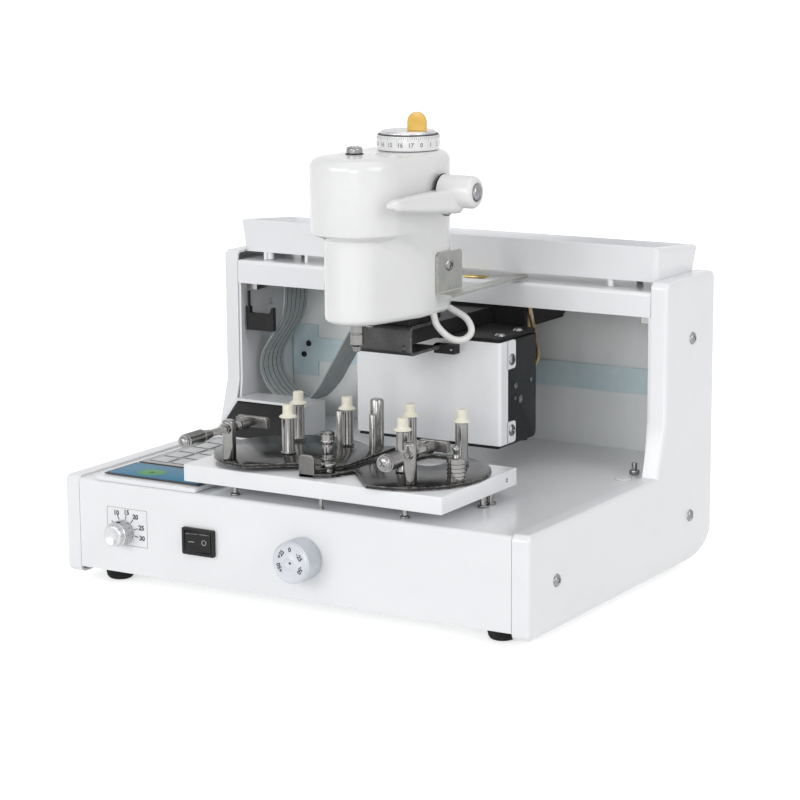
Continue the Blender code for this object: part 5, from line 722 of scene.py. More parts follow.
def display_paint(tree, place, base):
    """The display's fields: blue with a green middle, thin lines and a small dark mark."""
    split = tree.nodes.new("ShaderNodeSeparateXYZ")
    tree.links.new(place, split.inputs[0])
    middle = TO_WORLD @ Vector((-100, 18, 0))
    wide, deep = 0.02, 0.012
    across = sums(tree, "MULTIPLY_ADD", split.outputs["X"], 1 / wide, -middle.x / wide)
    along = sums(tree, "MULTIPLY_ADD", split.outputs["Y"], 1 / deep, -middle.y / deep)
    squares = [sums(tree, "POWER", sums(tree, "MULTIPLY", way, factor), 2.0)
               for way, factor in ((across, 1.9), (along, 1.2))]
    reach = sums(tree, "SQRT", sums(tree, "ADD", *squares))
    glow = blend_colours(tree, ramp(tree, reach, 0.95, 0.5), base, (0.06, 0.30, 0.07))
    lines = sums(tree, "SINE", sums(tree, "MULTIPLY", split.outputs["Y"], 2400.0))
    rows = sums(tree, "MULTIPLY", ramp(tree, lines, 0.72, 0.95), ramp(tree, reach, 0.9, 1.2))
    lined = blend_colours(tree, sums(tree, "MULTIPLY", rows, 0.5), glow, (0.14, 0.42, 0.6))
    return blend_colours(tree, ramp(tree, reach, 0.2, 0.12), lined, (0.015, 0.04, 0.03))


# Finishes: the slot, two tones that drift into each other, the roughness, and what else sets it apart

PAINT = {"grain": 1500.0, "dust": 0.05, "coat": 0.35, "coat_roughness": 0.08, "reach": 0.0005}
STEEL = {"metallic": 1.0, "grain": 1400.0, "bump_depth": 0.00001}
BLACK = {"spread": 0.12, "bump": 0.2, "wear_and_highlight": 0.4, "dust": 0.02}
PRINT = {"drift": 300.0, "grain": 2500.0, "spread": 0.1}
SLEEVE = {"drift": 200.0, "grain": 1800.0, "spread": 0.1}

FINISHES = {
    "white_paint": ("white_paint", (0.84, 0.85, 0.87), (0.80, 0.81, 0.83), 0.24, {
        **PAINT, "spread": 0.06, "drift": 9.0, "bump": 0.12, "bump_depth": 0.00003,
        "worn_and_lit": (0.60, 0.60, 0.60), "wear_and_highlight": 0.25}),
    "white_mould": ("white_mould", (0.80, 0.805, 0.81), (0.77, 0.77, 0.765), 0.2, {
        **PAINT, "spread": 0.05, "drift": 12.0, "grain": 2200.0, "bump": 0.06, "worn_and_lit": (0.62, 0.61, 0.58),
        "wear_and_highlight": 0.18, "dust": 0.04, "coat": 0.4, "coat_roughness": 0.06}),
    # The back panel's lighter upright streaks are painted sheen along its brushing
    "back_panel": ("white_paint", (0.84, 0.86, 0.86), (0.76, 0.78, 0.78), 0.36, {
        "metallic": 0.15, "drift": 10.0, "grain": 260.0, "stretch": (1, 1, 0.06), "spread": 0.18,
        "bump": 0.05, "worn_and_lit": (0.8, 0.8, 0.8), "wear_and_highlight": 0.3, "dust": 0.04, "paint": brushed_paint}),
    "zinc": ("galvanised", (0.68, 0.80, 0.83), (0.54, 0.68, 0.72), 0.38, {
        "metallic": 0.25, "drift": 30.0, "grain": 700.0, "stretch": (1, 1, 0.4), "spread": 0.1,
        "bump": 0.03, "worn_and_lit": (0.8, 0.84, 0.86), "wear_and_highlight": 0.15}),
    "bracket_zinc": ("galvanised", (0.50, 0.50, 0.47), (0.36, 0.37, 0.35), 0.34, {
        "metallic": 0.8, "drift": 70.0, "grain": 700.0, "spread": 0.16, "bump": 0.08,
        "worn_and_lit": (0.8, 0.8, 0.78), "wear_and_highlight": 0.6}),
    # In this finish and the next, the light edges are partly wear and partly a painted rim highlight
    "steel_upright": ("bright_steel", (0.31, 0.305, 0.30), (0.19, 0.187, 0.184), 0.16, {
        **STEEL, "stretch": (0.05, 0.05, 2.5), "spread": 0.1, "bump": 0.12, "worn_and_lit": (0.7, 0.69, 0.67),
        "wear_and_highlight": 0.2, "reach": 0.0002}),
    "steel_level": ("bright_steel", (0.34, 0.335, 0.33), (0.22, 0.215, 0.21), 0.22, {
        **STEEL, "stretch": (0.05, 2.5, 0.05), "spread": 0.12, "bump": 0.16, "worn_and_lit": (0.85, 0.84, 0.82),
        "wear_and_highlight": 0.4, "reach": 0.0003}),
    "steel_rod": ("bright_steel", (0.42, 0.41, 0.40), (0.32, 0.31, 0.30), 0.22, {
        **STEEL, "drift": 40.0, "stretch": (2.5, 0.05, 0.05), "spread": 0.1, "bump": 0.14,
        "worn_and_lit": (0.85, 0.84, 0.82), "wear_and_highlight": 0.3}),
    "screw_steel": ("bright_steel", (0.36, 0.36, 0.37), (0.2, 0.2, 0.21), 0.2, {
        **STEEL, "drift": 200.0, "grain": 1800.0, "spread": 0.14, "worn_and_lit": (0.8, 0.8, 0.8), "wear_and_highlight": 0.4,
        "reach": 0.0003}),
    # Its light worn edges stand for a painted highlight along the plate's rims
    "plate_steel": ("dark_steel", (0.026, 0.025, 0.024), (0.018, 0.017, 0.016), 0.15, {
        "specular": 0.22, "drift": 28.0, "grain": 700.0, "stretch": (1, 0.4, 1), "bump": 0.03,
        "bump_depth": 0.00001, "worn_and_lit": (0.5, 0.49, 0.48), "wear_and_highlight": 0.9, "reach": 0.0008, "dust": 0.02}),
    "tab_steel": ("dark_steel", (0.19, 0.185, 0.18), (0.12, 0.117, 0.115), 0.34, {
        "metallic": 0.8, "stretch": (1, 0.3, 1), "spread": 0.18, "bump": 0.08, "worn_and_lit": (0.7, 0.68, 0.66),
        "wear_and_highlight": 0.6, "reach": 0.0004}),
    # Its light edges are partly wear and partly a painted highlight on the rounded bends
    "channel_steel": ("dark_steel", (0.10, 0.10, 0.10), (0.055, 0.055, 0.056), 0.36, {
        "metallic": 0.5, "drift": 90.0, "spread": 0.2, "bump": 0.18, "worn_and_lit": (0.5, 0.5, 0.49),
        "wear_and_highlight": 0.8, "specular": 0.2}),
    "black_metal": ("black_metal", (0.012, 0.012, 0.013), (0.02, 0.02, 0.021), 0.44, {
        **BLACK, "grain": 1600.0, "spread": 0.14, "worn_and_lit": (0.16, 0.16, 0.16), "specular": 0.15}),
    "black_plastic": ("black_plastic", (0.012, 0.012, 0.013), (0.02, 0.02, 0.021), 0.44, {
        **BLACK, "grain": 2600.0, "worn_and_lit": (0.10, 0.10, 0.10), "specular": 0.2}),
    "rubber": ("rubber", (0.014, 0.014, 0.014), (0.022, 0.022, 0.021), 0.75, {
        "drift": 120.0, "grain": 1800.0, "spread": 0.12, "bump": 0.35, "worn_and_lit": (0.05, 0.05, 0.05),
        "wear_and_highlight": 0.5, "specular": 0.2}),
    "brass": ("bright_steel", (0.78, 0.58, 0.22), (0.62, 0.44, 0.14), 0.28, {
        "metallic": 1.0, "drift": 90.0, "stretch": (0.1, 1, 1), "spread": 0.14, "worn_and_lit": (0.9, 0.75, 0.4),
        "wear_and_highlight": 0.5}),
    "aluminium": ("aluminium", (0.66, 0.66, 0.67), (0.50, 0.50, 0.52), 0.26, {
        **STEEL, "metallic": 0.9, "drift": 80.0, "grain": 1500.0, "spread": 0.14, "bump": 0.12,
        "worn_and_lit": (0.92, 0.92, 0.92), "wear_and_highlight": 0.4, "reach": 0.0003}),
    "dial_silver": ("aluminium", (0.64, 0.66, 0.70), (0.55, 0.57, 0.61), 0.34, {
        **STEEL, "metallic": 0.35, "grain": 2000.0, "spread": 0.1, "worn_and_lit": (0.9, 0.9, 0.9), "wear_and_highlight": 0.3,
        "reach": 0.0003}),
    "nylon": ("bright_steel", (0.84, 0.82, 0.70), (0.78, 0.75, 0.62), 0.46, {
        "drift": 140.0, "grain": 1500.0, "spread": 0.12, "bump": 0.25, "worn_and_lit": (0.86, 0.85, 0.76),
        "wear_and_highlight": 0.4, "reach": 0.0004}),
    "display_glass": ("display", (0.02, 0.15, 0.28), (0.02, 0.21, 0.34), 0.42, {
        "spread": 0.06, "grain": 2000.0, "bump": 0.02, "specular": 0.2, "paint": display_paint}),
    "keypad_face": ("keypad", (0.42, 0.43, 0.44), (0.34, 0.35, 0.36), 0.36, {
        "metallic": 0.4, "drift": 50.0, "grain": 1500.0, "spread": 0.12, "bump": 0.15,
        "worn_and_lit": (0.6, 0.6, 0.6), "wear_and_highlight": 0.3}),
    "key_face": ("keypad", (0.56, 0.57, 0.58), (0.46, 0.47, 0.48), 0.34, {
        "metallic": 0.3, "drift": 120.0, "grain": 1800.0, "spread": 0.12, "bump": 0.15,
        "worn_and_lit": (0.7, 0.7, 0.7), "wear_and_highlight": 0.3}),
    "amber": ("yellow", (0.80, 0.50, 0.07), (0.70, 0.42, 0.05), 0.22, {
        "spread": 0.06, "drift": 120.0, "grain": 2000.0, "bump": 0.05, "worn_and_lit": (0.9, 0.7, 0.25),
        "wear_and_highlight": 0.3, "coat": 0.4}),
    "ink": ("black_plastic", (0.02, 0.02, 0.022), (0.045, 0.045, 0.05), 0.5, PRINT),
    "scale_ink": ("black_plastic", (0.25, 0.25, 0.26), (0.34, 0.34, 0.35), 0.5, PRINT),
    "white_ink": ("black_plastic", (0.5, 0.5, 0.5), (0.42, 0.42, 0.42), 0.5, PRINT),
    "white_sleeve": ("white_sleeve", (0.78, 0.78, 0.77), (0.70, 0.70, 0.68), 0.42, {
        **SLEEVE, "spread": 0.12, "bump": 0.2}),
    "ribbon": ("grey_sleeve", (0.36, 0.38, 0.385), (0.28, 0.30, 0.31), 0.46, {
        "drift": 80.0, "grain": 1500.0, "stretch": (1, 0.3, 1), "spread": 0.1, "bump": 0.15}),
    # Painted shade for the grooves between the ribbon's lanes
    "ribbon_shade": ("grey_sleeve", (0.10, 0.12, 0.125), (0.06, 0.07, 0.075), 0.5, {
        **PRINT, "grain": 2000.0}),
    "ribbon_wire": ("grey_sleeve", (0.62, 0.66, 0.66), (0.40, 0.43, 0.44), 0.4, {
        **SLEEVE, "grain": 1500.0}),
    "wire_yellow": ("yellow", (0.68, 0.50, 0.10), (0.58, 0.40, 0.08), 0.4, SLEEVE),
    "wire_red": ("yellow", (0.48, 0.06, 0.04), (0.38, 0.05, 0.03), 0.4, SLEEVE),
    "wire_brown": ("yellow", (0.30, 0.19, 0.09), (0.22, 0.14, 0.07), 0.4, SLEEVE),
    "wire_pale": ("yellow", (0.62, 0.60, 0.54), (0.52, 0.50, 0.44), 0.4, SLEEVE),
}
MATERIALS = {name: material(name, colour, shade, roughness, **values)
             for name, (slot, colour, shade, roughness, values) in FINISHES.items()}

NODE_FINISH = {
    "white_paint": ["front_top_cover", "beam_frame", "parts_tray", "rear_housing", "control_plate",
                    "table_plate"],
    "back_panel": ["rear_pan"],
    "zinc": ["rail_strip"],
    "black_plastic": ["housing_front", "cable_hook", "mains_inlet", "switch_body", "switch_rocker",
                      "motor_case", "limit_switch"],
    "steel_upright": ["feed_fork"],
    "steel_rod": ["guide_rods", "lead_screw"],
    "black_metal": ["head_slide", "bearing_block"],
}


def dress_nodes():
    """Gives each CAD node that stays its finish."""
    for finish_name, names in NODE_FINISH.items():
        for name in names:
            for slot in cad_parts[name].material_slots:
                slot.material = MATERIALS[finish_name]


def finish(name, bm, body, look, stands_for=(), smooth=30):
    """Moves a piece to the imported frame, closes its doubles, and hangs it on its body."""
    bmesh.ops.transform(bm, matrix=TO_WORLD, verts=bm.verts)
    bmesh.ops.remove_doubles(bm, verts=bm.verts, dist=0.0000005)
    bmesh.ops.recalc_face_normals(bm, faces=bm.faces)
    mesh = bpy.data.meshes.new(name)
    bm.to_mesh(mesh)
    bm.free()
    mesh.materials.append(MATERIALS[look])
    mesh.shade_smooth()
    mesh.set_sharp_from_angle(angle=math.radians(smooth))
    made = bpy.data.objects.new(name, mesh)
    bpy.context.scene.collection.objects.link(made)
    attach(made, body)
    if stands_for:
        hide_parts(*stands_for)


def lathe(name, body, look, profile, base, axis="Z", steps=48, stands_for=()):
    """A piece that is one turned profile."""
    bm = new()
    turned(bm, profile, base, axis, steps)
    finish(name, bm, body, look, stands_for)


def slab(name, body, look, low, high, edge, segments=2, stands_for=()):
    """A piece that is one box with rounded edges."""
    bm = new()
    block(bm, low, high, edge, segments)
    finish(name, bm, body, look, stands_for)


# Case pieces

def side_outline():
    """Side panel seen from the right, as (y, z)."""
    corner = CASE_CORNER
    points = arc((corner, CASE_BOTTOM + corner), corner, 270, 180, 8)
    points += arc((corner, SILL - corner), corner, 180, 90, 8)
    points += [(SLANT_START, SILL), (PILLAR_FRONT, SLANT_TOP)]
    points += arc((PILLAR_FRONT + corner, CASE_TOP - corner), corner, 180, 90, 8)
    points += arc((CASE_DEPTH - corner, CASE_TOP - corner), corner, 90, 0, 8)
    deep, high = HEEL
    for step in range(17):
        angle = -QUARTER * step / 16
        points.append((CASE_DEPTH - deep + deep * math.cos(angle),
                       CASE_BOTTOM + high + high * math.sin(angle)))
    return points


def side_panels():
    """Pressed side panels, hollow inside, each with three cross-recessed domed screws."""
    for label, side, axis in (("right", 1, "X"), ("left", -1, "-X")):
        bm = new()
        skin, mouth = sheet(bm, side_outline(), "X", side * HALF_WIDTH, side * (HALF_WIDTH - SIDE_WIDTH))
        bmesh.ops.recalc_face_normals(bm, faces=bm.faces)
        bmesh.ops.inset_region(bm, faces=[mouth], thickness=SHEET, use_even_offset=True)
        made = bmesh.ops.extrude_face_region(bm, geom=[mouth])["geom"]
        bmesh.ops.delete(bm, geom=[mouth], context="FACES_KEEP_BOUNDARY")
        bmesh.ops.translate(bm, verts=verts_in(made), vec=(side * (SIDE_WIDTH - SHEET), 0, 0))
        rounded(bm, skin.edges, SIDE_EDGE, 5)
        finish(f"side_skin_{label}", bm, "case", "white_paint", [f"side_panel_{label}"])
        screws = new()
        for index, (y, z) in enumerate(SIDE_SCREWS):
            cross_screw(screws, SIDE_SCREW_RADIUS, SIDE_SCREW_DOME, (side * (HALF_WIDTH - 0.1), y, z), axis,
                        0.4 + index, 0.1)
        finish(f"side_screws_{label}", screws, "case", "screw_steel")


def rubber_feet():
    """Turned feet with a wide rounded sole."""
    profile = [(0, 0), (5, 0), (6.4, 0.5), (7.4, 1.7), (7.9, 3.4), (8, 5.2), (7.7, 8.4), (0, 8.4)]
    for across, x in FEET_X:
        for along, y in FEET_Y:
            lathe(f"foot_{along}_{across}", "case", "rubber", soften(profile, 0.8), (x, y, 0),
                  stands_for=[f"rubber_foot_{along}_{across}"])


def small_hardware():
    """Brass strip on the beam, screws on the rail, posts under the tray, and what stands on the deck."""
    slab("beam_brass_strip", "case", "brass", (18, 160.6, 162.7), (31, 167.8, 163.6), 0.25)
    bm = new()
    for x, z in ((-127, 97), (-123.5, 104)):
        cross_screw(bm, 1.9, 1.3, (x, 214.95, z), "-Y", 0.3, 0.2)
    finish("rail_screws", bm, "case", "black_metal")
    bm = new()
    for x in (-122.3, -93):
        turned(bm, soften(rod(1.1, 162.5, 167.2), 0.2), (x, 167, 0), "Z", 24)
    finish("tray_posts", bm, "case", "white_paint")
    lathe("deck_washer", "case", "white_sleeve", soften(rod(4.6, DECK, DECK + 0.7), 0.2), DECK_WASHER,
          steps=40)
    bm = new()
    nut = bmesh.ops.create_cone(bm, cap_ends=True, segments=6, radius1=2.9, radius2=2.9, depth=2.4,
                                matrix=Matrix.Translation((*DECK_STUD, DECK + 1.5)))["verts"]
    rounded(bm, edges_of(nut), 0.25, 2)
    turned(bm, soften(rod(1.6, 0, 6.4), 0.3), (*DECK_STUD, DECK + 0.5), "Z", 20)
    finish("deck_nut", bm, "case", "screw_steel")


def table():
    """White table on its thin legs."""
    slab("table_top", "case", "white_paint", TABLE_LOW, TABLE_HIGH, 0.7, 3, ["table_plate"])
    profile = [(0, -0.6), (1, -0.6), (1.15, 0.1), (0.6, 0.12), (0.5, -0.3), (0, -0.3)]
    lathe("table_side_screw", "case", "black_metal", profile, (97.3, 68, 70.75), "X", 24)
    bm = new()
    tall = TABLE_LOW[2] + 0.6 - DECK
    for x, y, slim in TABLE_LEGS:
        foot = 2.6 if slim > 1.2 else 1.5
        profile = [(0, 0), (foot, 0), (foot, 0.8), (foot - 0.5, 1.3), (slim, 1.4), (slim, tall), (0, tall)]
        turned(bm, soften(profile, 0.2), (x, y, DECK + 0.06), "Z", 32)
    profile = [(0, 0), (3.1, 0), (3.1, 1.1), (1.7, 1.1), (1.7, 6.4), (0, 6.4)]
    for x, y in TABLE_STUDS:
        turned(bm, soften(profile, 0.25), (x, y, DECK + 0.1), "Z", 24)
    finish("table_legs", bm, "case", "steel_upright")


def keypad_and_display():
    """Display in a dark surround, and a silver keypad of framed keys."""
    left, right, base = KEYPAD_LEFT, KEYPAD_RIGHT, KEYPAD_BASE
    slab("display_surround", "case", "ink", (left, 6, base), (right, 36, base + 0.55), 0.15, 2,
         ["display_window"])
    slab("display_pane", "case", "display_glass", (left + 1.6, 7.4, base + 0.3),
         (right - 1.2, 34.8, base + 0.7), 0.12)
    slab("keypad_sheet", "case", "ink", (left, 38, base), (right, 116, base + 0.5), 0.15, 2,
         ["membrane_keypad"])
    slab("keypad_face", "case", "keypad_face", (left + 1, 39, base + 0.2), (right - 1, 115, base + 0.6),
         0.12)
    wide = (right - left - 2 * KEYS_MARGIN) / KEY_COLUMNS
    deep = KEYS_DEPTH / KEY_ROWS
    frames = new()
    keys = new()
    for column in range(KEY_COLUMNS):
        for row in range(KEY_ROWS):
            x = left + KEYS_MARGIN + wide * column
            y = KEYS_FRONT + deep * row
            for bm, inset, low, high, edge, segments in ((frames, 0.8, 0.4, 0.68, 0.1, 1),
                                                         (keys, 1.7, 0.5, 0.95, 0.2, 2)):
                block(bm, (x + inset, y + inset, base + low),
                      (x + wide - inset, y + deep - inset, base + high), edge, segments)
    finish("key_frames", frames, "case", "ink")
    finish("keys", keys, "case", "key_face")


# Front controls

def front_turn(degrees):
    """A turn about the axis that points out of the front."""
    return Matrix.Rotation(math.radians(degrees), 4, Vector((0, -1, 0)))


def round_control(centre, degrees, reach, y, widen=1):
    """A point round a control's centre, at a depth."""
    angle = math.radians(degrees)
    return (centre[0] + reach * math.cos(angle) * widen, y, centre[2] + reach * math.sin(angle))


def speed_control():
    """Scale round the speed knob, and the knob with its knurled waist."""
    left, right, low, high = SPEED_FRAME
    line = 0.22
    ink = new()
    for start, end in (((left, low), (right, low + line)), ((left, high - line), (right, high)),
                       ((left, low), (left + line, high)), ((right - line, low), (right, high))):
        block(ink, (start[0], -0.1, start[1]), (end[0], 0.05, end[1]))
    finish("speed_scale_frame", ink, "case", "scale_ink")
    ink = new()
    for degrees in SPEED_MARKS:
        spots = block(ink, (7.4, -0.1, -0.24), (10, 0.05, 0.24))
        bmesh.ops.transform(ink, matrix=Matrix.Translation(SPEED) @ front_turn(degrees), verts=spots)
    finish("speed_scale_marks", ink, "case", "ink")
    figures = new()
    for words, degrees, reach in SPEED_FIGURES:
        add_words(figures, words, 3.7, round_control(SPEED, degrees, reach, -0.05, 1.04), UPRIGHT)
    finish("speed_scale_figures", figures, "case", "ink")
    bm = new()
    straight_knurl(bm, 7, 0.3, 0.5, 8.2, SPEED, "-Y", 44)
    profile = [(0, 7.8), (6.5, 7.8), (6.3, 8.6), (5.9, 10.4), (5.6, 11.1), (5.1, 11.3), (2.2, 9.9), (0, 9.7)]
    turned(bm, soften(profile, 0.2, 2), SPEED, "-Y", 64)
    finish("speed_knob_turned", bm, "speed_control", "aluminium", ["speed_knob"])
    bm = new()
    for shift in (0.25, 1.15):
        block(bm, (SPEED[0] + shift, -7.6, SPEED[2] + 6), (SPEED[0] + shift + 0.3, -4.6, SPEED[2] + 7.05))
    finish("speed_pointer", bm, "speed_control", "ink")


def offset_control():
    """Dial with a knurled rim, raised figures on its face and a centre ring."""
    bm = new()
    straight_knurl(bm, 11.5, 0.34, 0.5, 12.9, DIAL, "-Y", 96, 0.35)
    face = [(0, 12.4), (10.7, 12.4), (10.7, 13.3), (10.3, 13.9), (9.9, 13.95), (9.6, 13.6), (3.4, 13.6),
            (3.2, 13.9), (2.6, 13.9), (2.4, 13.5), (0, 13.5)]
    turned(bm, soften(face, 0.15, 2), DIAL, "-Y", 96)
    finish("offset_dial_turned", bm, "offset_control", "dial_silver", ["offset_dial"])
    ink = new()
    for words, degrees, reach in DIAL_FIGURES:
        add_words(ink, words, 3.3, round_control(DIAL, degrees, reach, -13.6),
                  front_turn(degrees - 90) @ UPRIGHT, 0.08)
    turned(ink, soften(rod(0.7, 0, 0.12), 0.03), (DIAL[0], -13.5, DIAL[2]), "-Y", 16)
    finish("offset_dial_figures", ink, "offset_control", "ink")


def switch_marks():
    """White bar and ring on the rocker's two faces, and a thin raised line above each, painted lighter as its
    highlight.
    """
    lift = ROCKER_HALF * math.tan(ROCKER_TILT)
    hinge = Vector((SWITCH[0], 0.9, SWITCH[2]))
    turn = Matrix.Rotation(ROCKER_TILT, 3, "Z")
    ends = (turn @ Vector((-ROCKER_HALF, -3 - lift / 2, 0)), turn @ Vector((0, -3 + lift / 3, 0)),
            turn @ Vector((ROCKER_HALF, -3 - lift / 2, 0)))

    def on_face(index, share, up):
        """The place on one of the rocker's two faces, a share of the way along it."""
        start, end = ends[index:index + 2]
        run = (end - start).normalized()
        out = Vector((run.y, -run.x, 0))
        basis = Matrix((run, Vector((0, 0, 1)), out)).transposed().to_4x4()
        return Matrix.Translation(hinge + start.lerp(end, share) + out * 0.03 + Vector((0, 0, up))) @ basis

    bm = new()
    spots = block(bm, (-1.7, -0.14, -0.05), (1.7, 0.14, 0.08))
    bmesh.ops.transform(bm, matrix=on_face(0, 0.46, 0), verts=spots)
    spots = turned(bm, collar(1.2, 1.5, -0.05, 0.08), (0, 0, 0), "Z", 32)
    bmesh.ops.transform(bm, matrix=on_face(1, 0.46, 0), verts=spots)
    finish("rocker_marks", bm, "rocker", "white_ink")
    # A thin ridge above each face, in a lighter steel finish that paints its highlight on the black rocker
    bm = new()
    for index in (0, 1):
        spots = block(bm, (-3.5, -0.14, -0.1), (3.5, 0.14, 0.16))
        bmesh.ops.transform(bm, matrix=on_face(index, 0.5, 4.5), verts=spots)
    finish("rocker_ridge_highlight", bm, "rocker", "tab_steel")


# Clamp pieces

def lens_posts():
    """Steel stems with a turned foot and a groove, under nylon caps."""
    for side, (middle, seat) in TRIOS.items():
        stem = [(0, seat), (4.1, seat), (4.1, seat + 0.9), (STEM_RADIUS, seat + 1),
                (STEM_RADIUS, CAP_START - 0.5), (STEM_RADIUS - 0.4, CAP_START), (2, CAP_START + 0.1),
                (0, CAP_START + 0.1)]
        cap = [(0, CAP_START + 0.02), (4.75, CAP_START + 0.02), (4.85, CAP_START + 0.5),
               (4.4, CAP_START + 1), (3.2, CAP_START + 1.6), (2.95, CAP_START + 2.6), (2.85, POST_TOP),
               (0, POST_TOP)]
        for label, x, y in (("front", middle, TRIO_FRONT_Y), ("rear_left", middle - TRIO_HALF, TRIO_BACK_Y),
                            ("rear_right", middle + TRIO_HALF, TRIO_BACK_Y)):
            lathe(f"post_stem_{side}_{label}", f"{side}_clamp", "steel_upright", soften(stem, 0.2, 2),
                  (x, y, 0), stands_for=[f"lens_post_{side}_{label}"])
            lathe(f"post_cap_{side}_{label}", f"{side}_clamp", "nylon", soften(cap, 0.45), (x, y, 0),
                  steps=40)


def left_clamp():
    """Left swivelling plate with its tongue, and its stop pins."""
    outline = arc(LEFT_DISC, PLATE_RADIUS, 265, 47, 72)
    outline += [(22, 77), (24, 75), (24, 24), (17.2, 7.6), (16.4, 7), (10.1, 7), (10.1, 15), (0.5, 15)]
    bm = new()
    flat_plate(bm, [outline], UPPER_TOP - PLATE, UPPER_TOP)
    finish("left_plate", bm, "left_clamp", "plate_steel", ["clamp_plate_left"])
    bm = new()
    for x, y, radius, top in STOP_PINS:
        tip = radius / 3
        profile = [(0, UPPER_TOP - 0.4), (radius, UPPER_TOP - 0.4), (radius, top - tip),
                   (radius - tip * 0.3, top - tip * 0.3), (radius - tip, top), (0, top)]
        turned(bm, profile, (x, y, 0), "Z", 40)
    finish("stop_pins", bm, "left_clamp", "steel_upright")


def right_clamp():
    """Right swivelling plate with its window, its upright tab and the plunger's grooved sleeve."""
    outline = arc(RIGHT_DISC, PLATE_RADIUS, -92, 150, 80)
    outline += [(12.5, 26), (TAB_LEFT, 19), (TAB_LEFT, 3), (TAB_RIGHT, 3), (24.5, 7.6), (30.5, 22)]
    bm = new()
    flat_plate(bm, [outline, oblong(WINDOW, WINDOW_HALF, 48)], LOWER_TOP - PLATE, LOWER_TOP)
    finish("right_plate", bm, "right_clamp", "plate_steel", ["clamp_plate_right"])
    bm = new()
    tab = [(TAB_LEFT, LOWER_TOP - PLATE), (TAB_RIGHT, LOWER_TOP - PLATE)]
    tab += arc((TAB_RIGHT - 2.6, TAB_TOP - 2.6), 2.6, 0, 90, 6)
    tab += arc((TAB_LEFT + 2, TAB_TOP - 2), 2, 90, 180, 6)
    sheet(bm, tab, "Y", 3, 3 + PLATE, 0.3)
    finish("plate_tab", bm, "right_clamp", "tab_steel")
    outer = 4.95
    sleeve = [(2.4, LOWER_TOP + 1.5), (2.4, 89.4), (3.4, 89.6), (4.7, 89.3), (outer, 88.9)]
    for level in (86.6, 84.4, 82.2, 80):
        sleeve += [(outer, level + 0.35), (outer - 0.5, level + 0.2), (outer - 0.5, level - 0.2),
                   (outer, level - 0.35)]
    sleeve += [(outer, LOWER_TOP + 0.6), (5.3, LOWER_TOP + 0.5), (5.3, LOWER_TOP - 0.3),
               (2.4, LOWER_TOP - 0.3), (2.4, LOWER_TOP + 1.5)]
    lathe("plunger_sleeve", "right_clamp", "steel_upright", sleeve, PLUNGER, steps=56)


def pivot():
    """Turned pivot that both plates swivel about."""
    low = TABLE_HIGH[2] + GAP
    profile = [(0, low), (5.95, low), (5.95, 77.7), (2.5, 77.72), (2.5, 80.2), (4, 80.2), (4, 81.6),
               (3.4, 82.2), (0, 82.2)]
    lathe("pivot_turned", "case", "steel_upright", soften(profile, 0.25, 2), PIVOT,
          stands_for=["pivot_disc"])


def clamp_screws():
    """The knurled thumb screw and the plunger's ball-ended pin."""
    seat = UPPER_TOP + GAP
    bm = new()
    diamond_knurl(bm, 3.8, 0.28, 90.3, 95.9, THUMB_SCREW, "Z", 22, 6, 0.4)
    profile = [(0, seat), (3.3, seat), (3.3, seat + 1), (2.95, seat + 1.2), (2.95, 83.2), (2.7, 83.4),
               (2.95, 83.6), (2.95, 88.4), (2.6, 88.6), (2.6, 89.4), (3.1, 89.7), (3.1, 90.6), (0, 90.6)]
    turned(bm, soften(profile, 0.2, 2), THUMB_SCREW, "Z", 36)
    turned(bm, soften(rod(2.2, 95.4, 96), 0.15, 2), THUMB_SCREW, "Z", 32)
    finish("thumb_screw_turned", bm, "clamp_lock", "steel_upright", ["thumb_screw"])
    pin = [(0, 83), (2, 83), (2, 90.8), (1.9, 91), (1.2, 91.1)] + arc((0, 94), 2, -52, 90, 12)[1:-1]
    lathe("plunger_pin", "plunger", "steel_upright", pin + [(0, 96)], PLUNGER, steps=40,
          stands_for=["spring_plunger"])


def spindle(clamp):
    """Knurled handle on its threaded rod, with a domed cross screw in its end."""
    side, start, handle, radius = (clamp[key] for key in ("side", "start", "handle", "radius"))
    base = (clamp["x"], start, clamp["z"])
    bm = new()
    diamond_knurl(bm, radius, 0.3, 1.4, handle - 0.5, base, "Y", 28, int(handle * 0.9))
    reach = clamp["jaw"] - GAP - JAW_LENGTH - start
    end = radius - 0.45
    taper = clamp["post_y"] - clamp["post"] - 1.4 - clamp["push"] - start
    profile = [(0, 0), (end, 0), (end, 0.7), (end - 0.4, 0.9), (end - 0.4, 1.4), (end, 1.6), (3, 1.7),
               (3, handle - 0.8), (radius - 0.5, handle - 0.7), (2.4, taper), (2, taper + 0.2)]
    level = taper + 1
    while level < reach - 1:
        profile += [(2, level), (1.75, level + 0.2), (2, level + 0.4)]
        level += 0.7
    turned(bm, profile + [(2, reach), (0, reach)], base, "Y", 40)
    finish(f"handle_{side}", bm, f"{side}_spindle", "steel_level", [f"spindle_{side}"])
    screw = new()
    cross_screw(screw, end - 0.6, 1.6, (clamp["x"], start + 0.04, clamp["z"]), "-Y", clamp["screw_turn"], 0.2)
    finish(f"handle_screw_{side}", screw, f"{side}_spindle", "screw_steel")


def spindle_post(clamp):
    """Post with the bush that the spindle runs in."""
    side, x, y, wide, top, seat = (clamp[key] for key in ("side", "x", "post_y", "post", "post_top", "seat"))
    bm = new()
    profile = [(0, seat), (wide, seat), (wide, top - 1.2), (wide - 0.5, top - 0.4), (wide - 1.4, top),
               (0, top)]
    turned(bm, soften(profile, 0.3, 2), (x, y, 0), "Z", 48)
    bush = collar(2.1, 3.1, -wide - 0.9, wide + 0.9)[:-1]
    turned(bm, soften(bush, 0.2), (x, y, clamp["z"]), "Y", 32)
    finish(f"post_{side}", bm, f"{side}_clamp", "steel_upright", [f"spindle_post_{side}"])


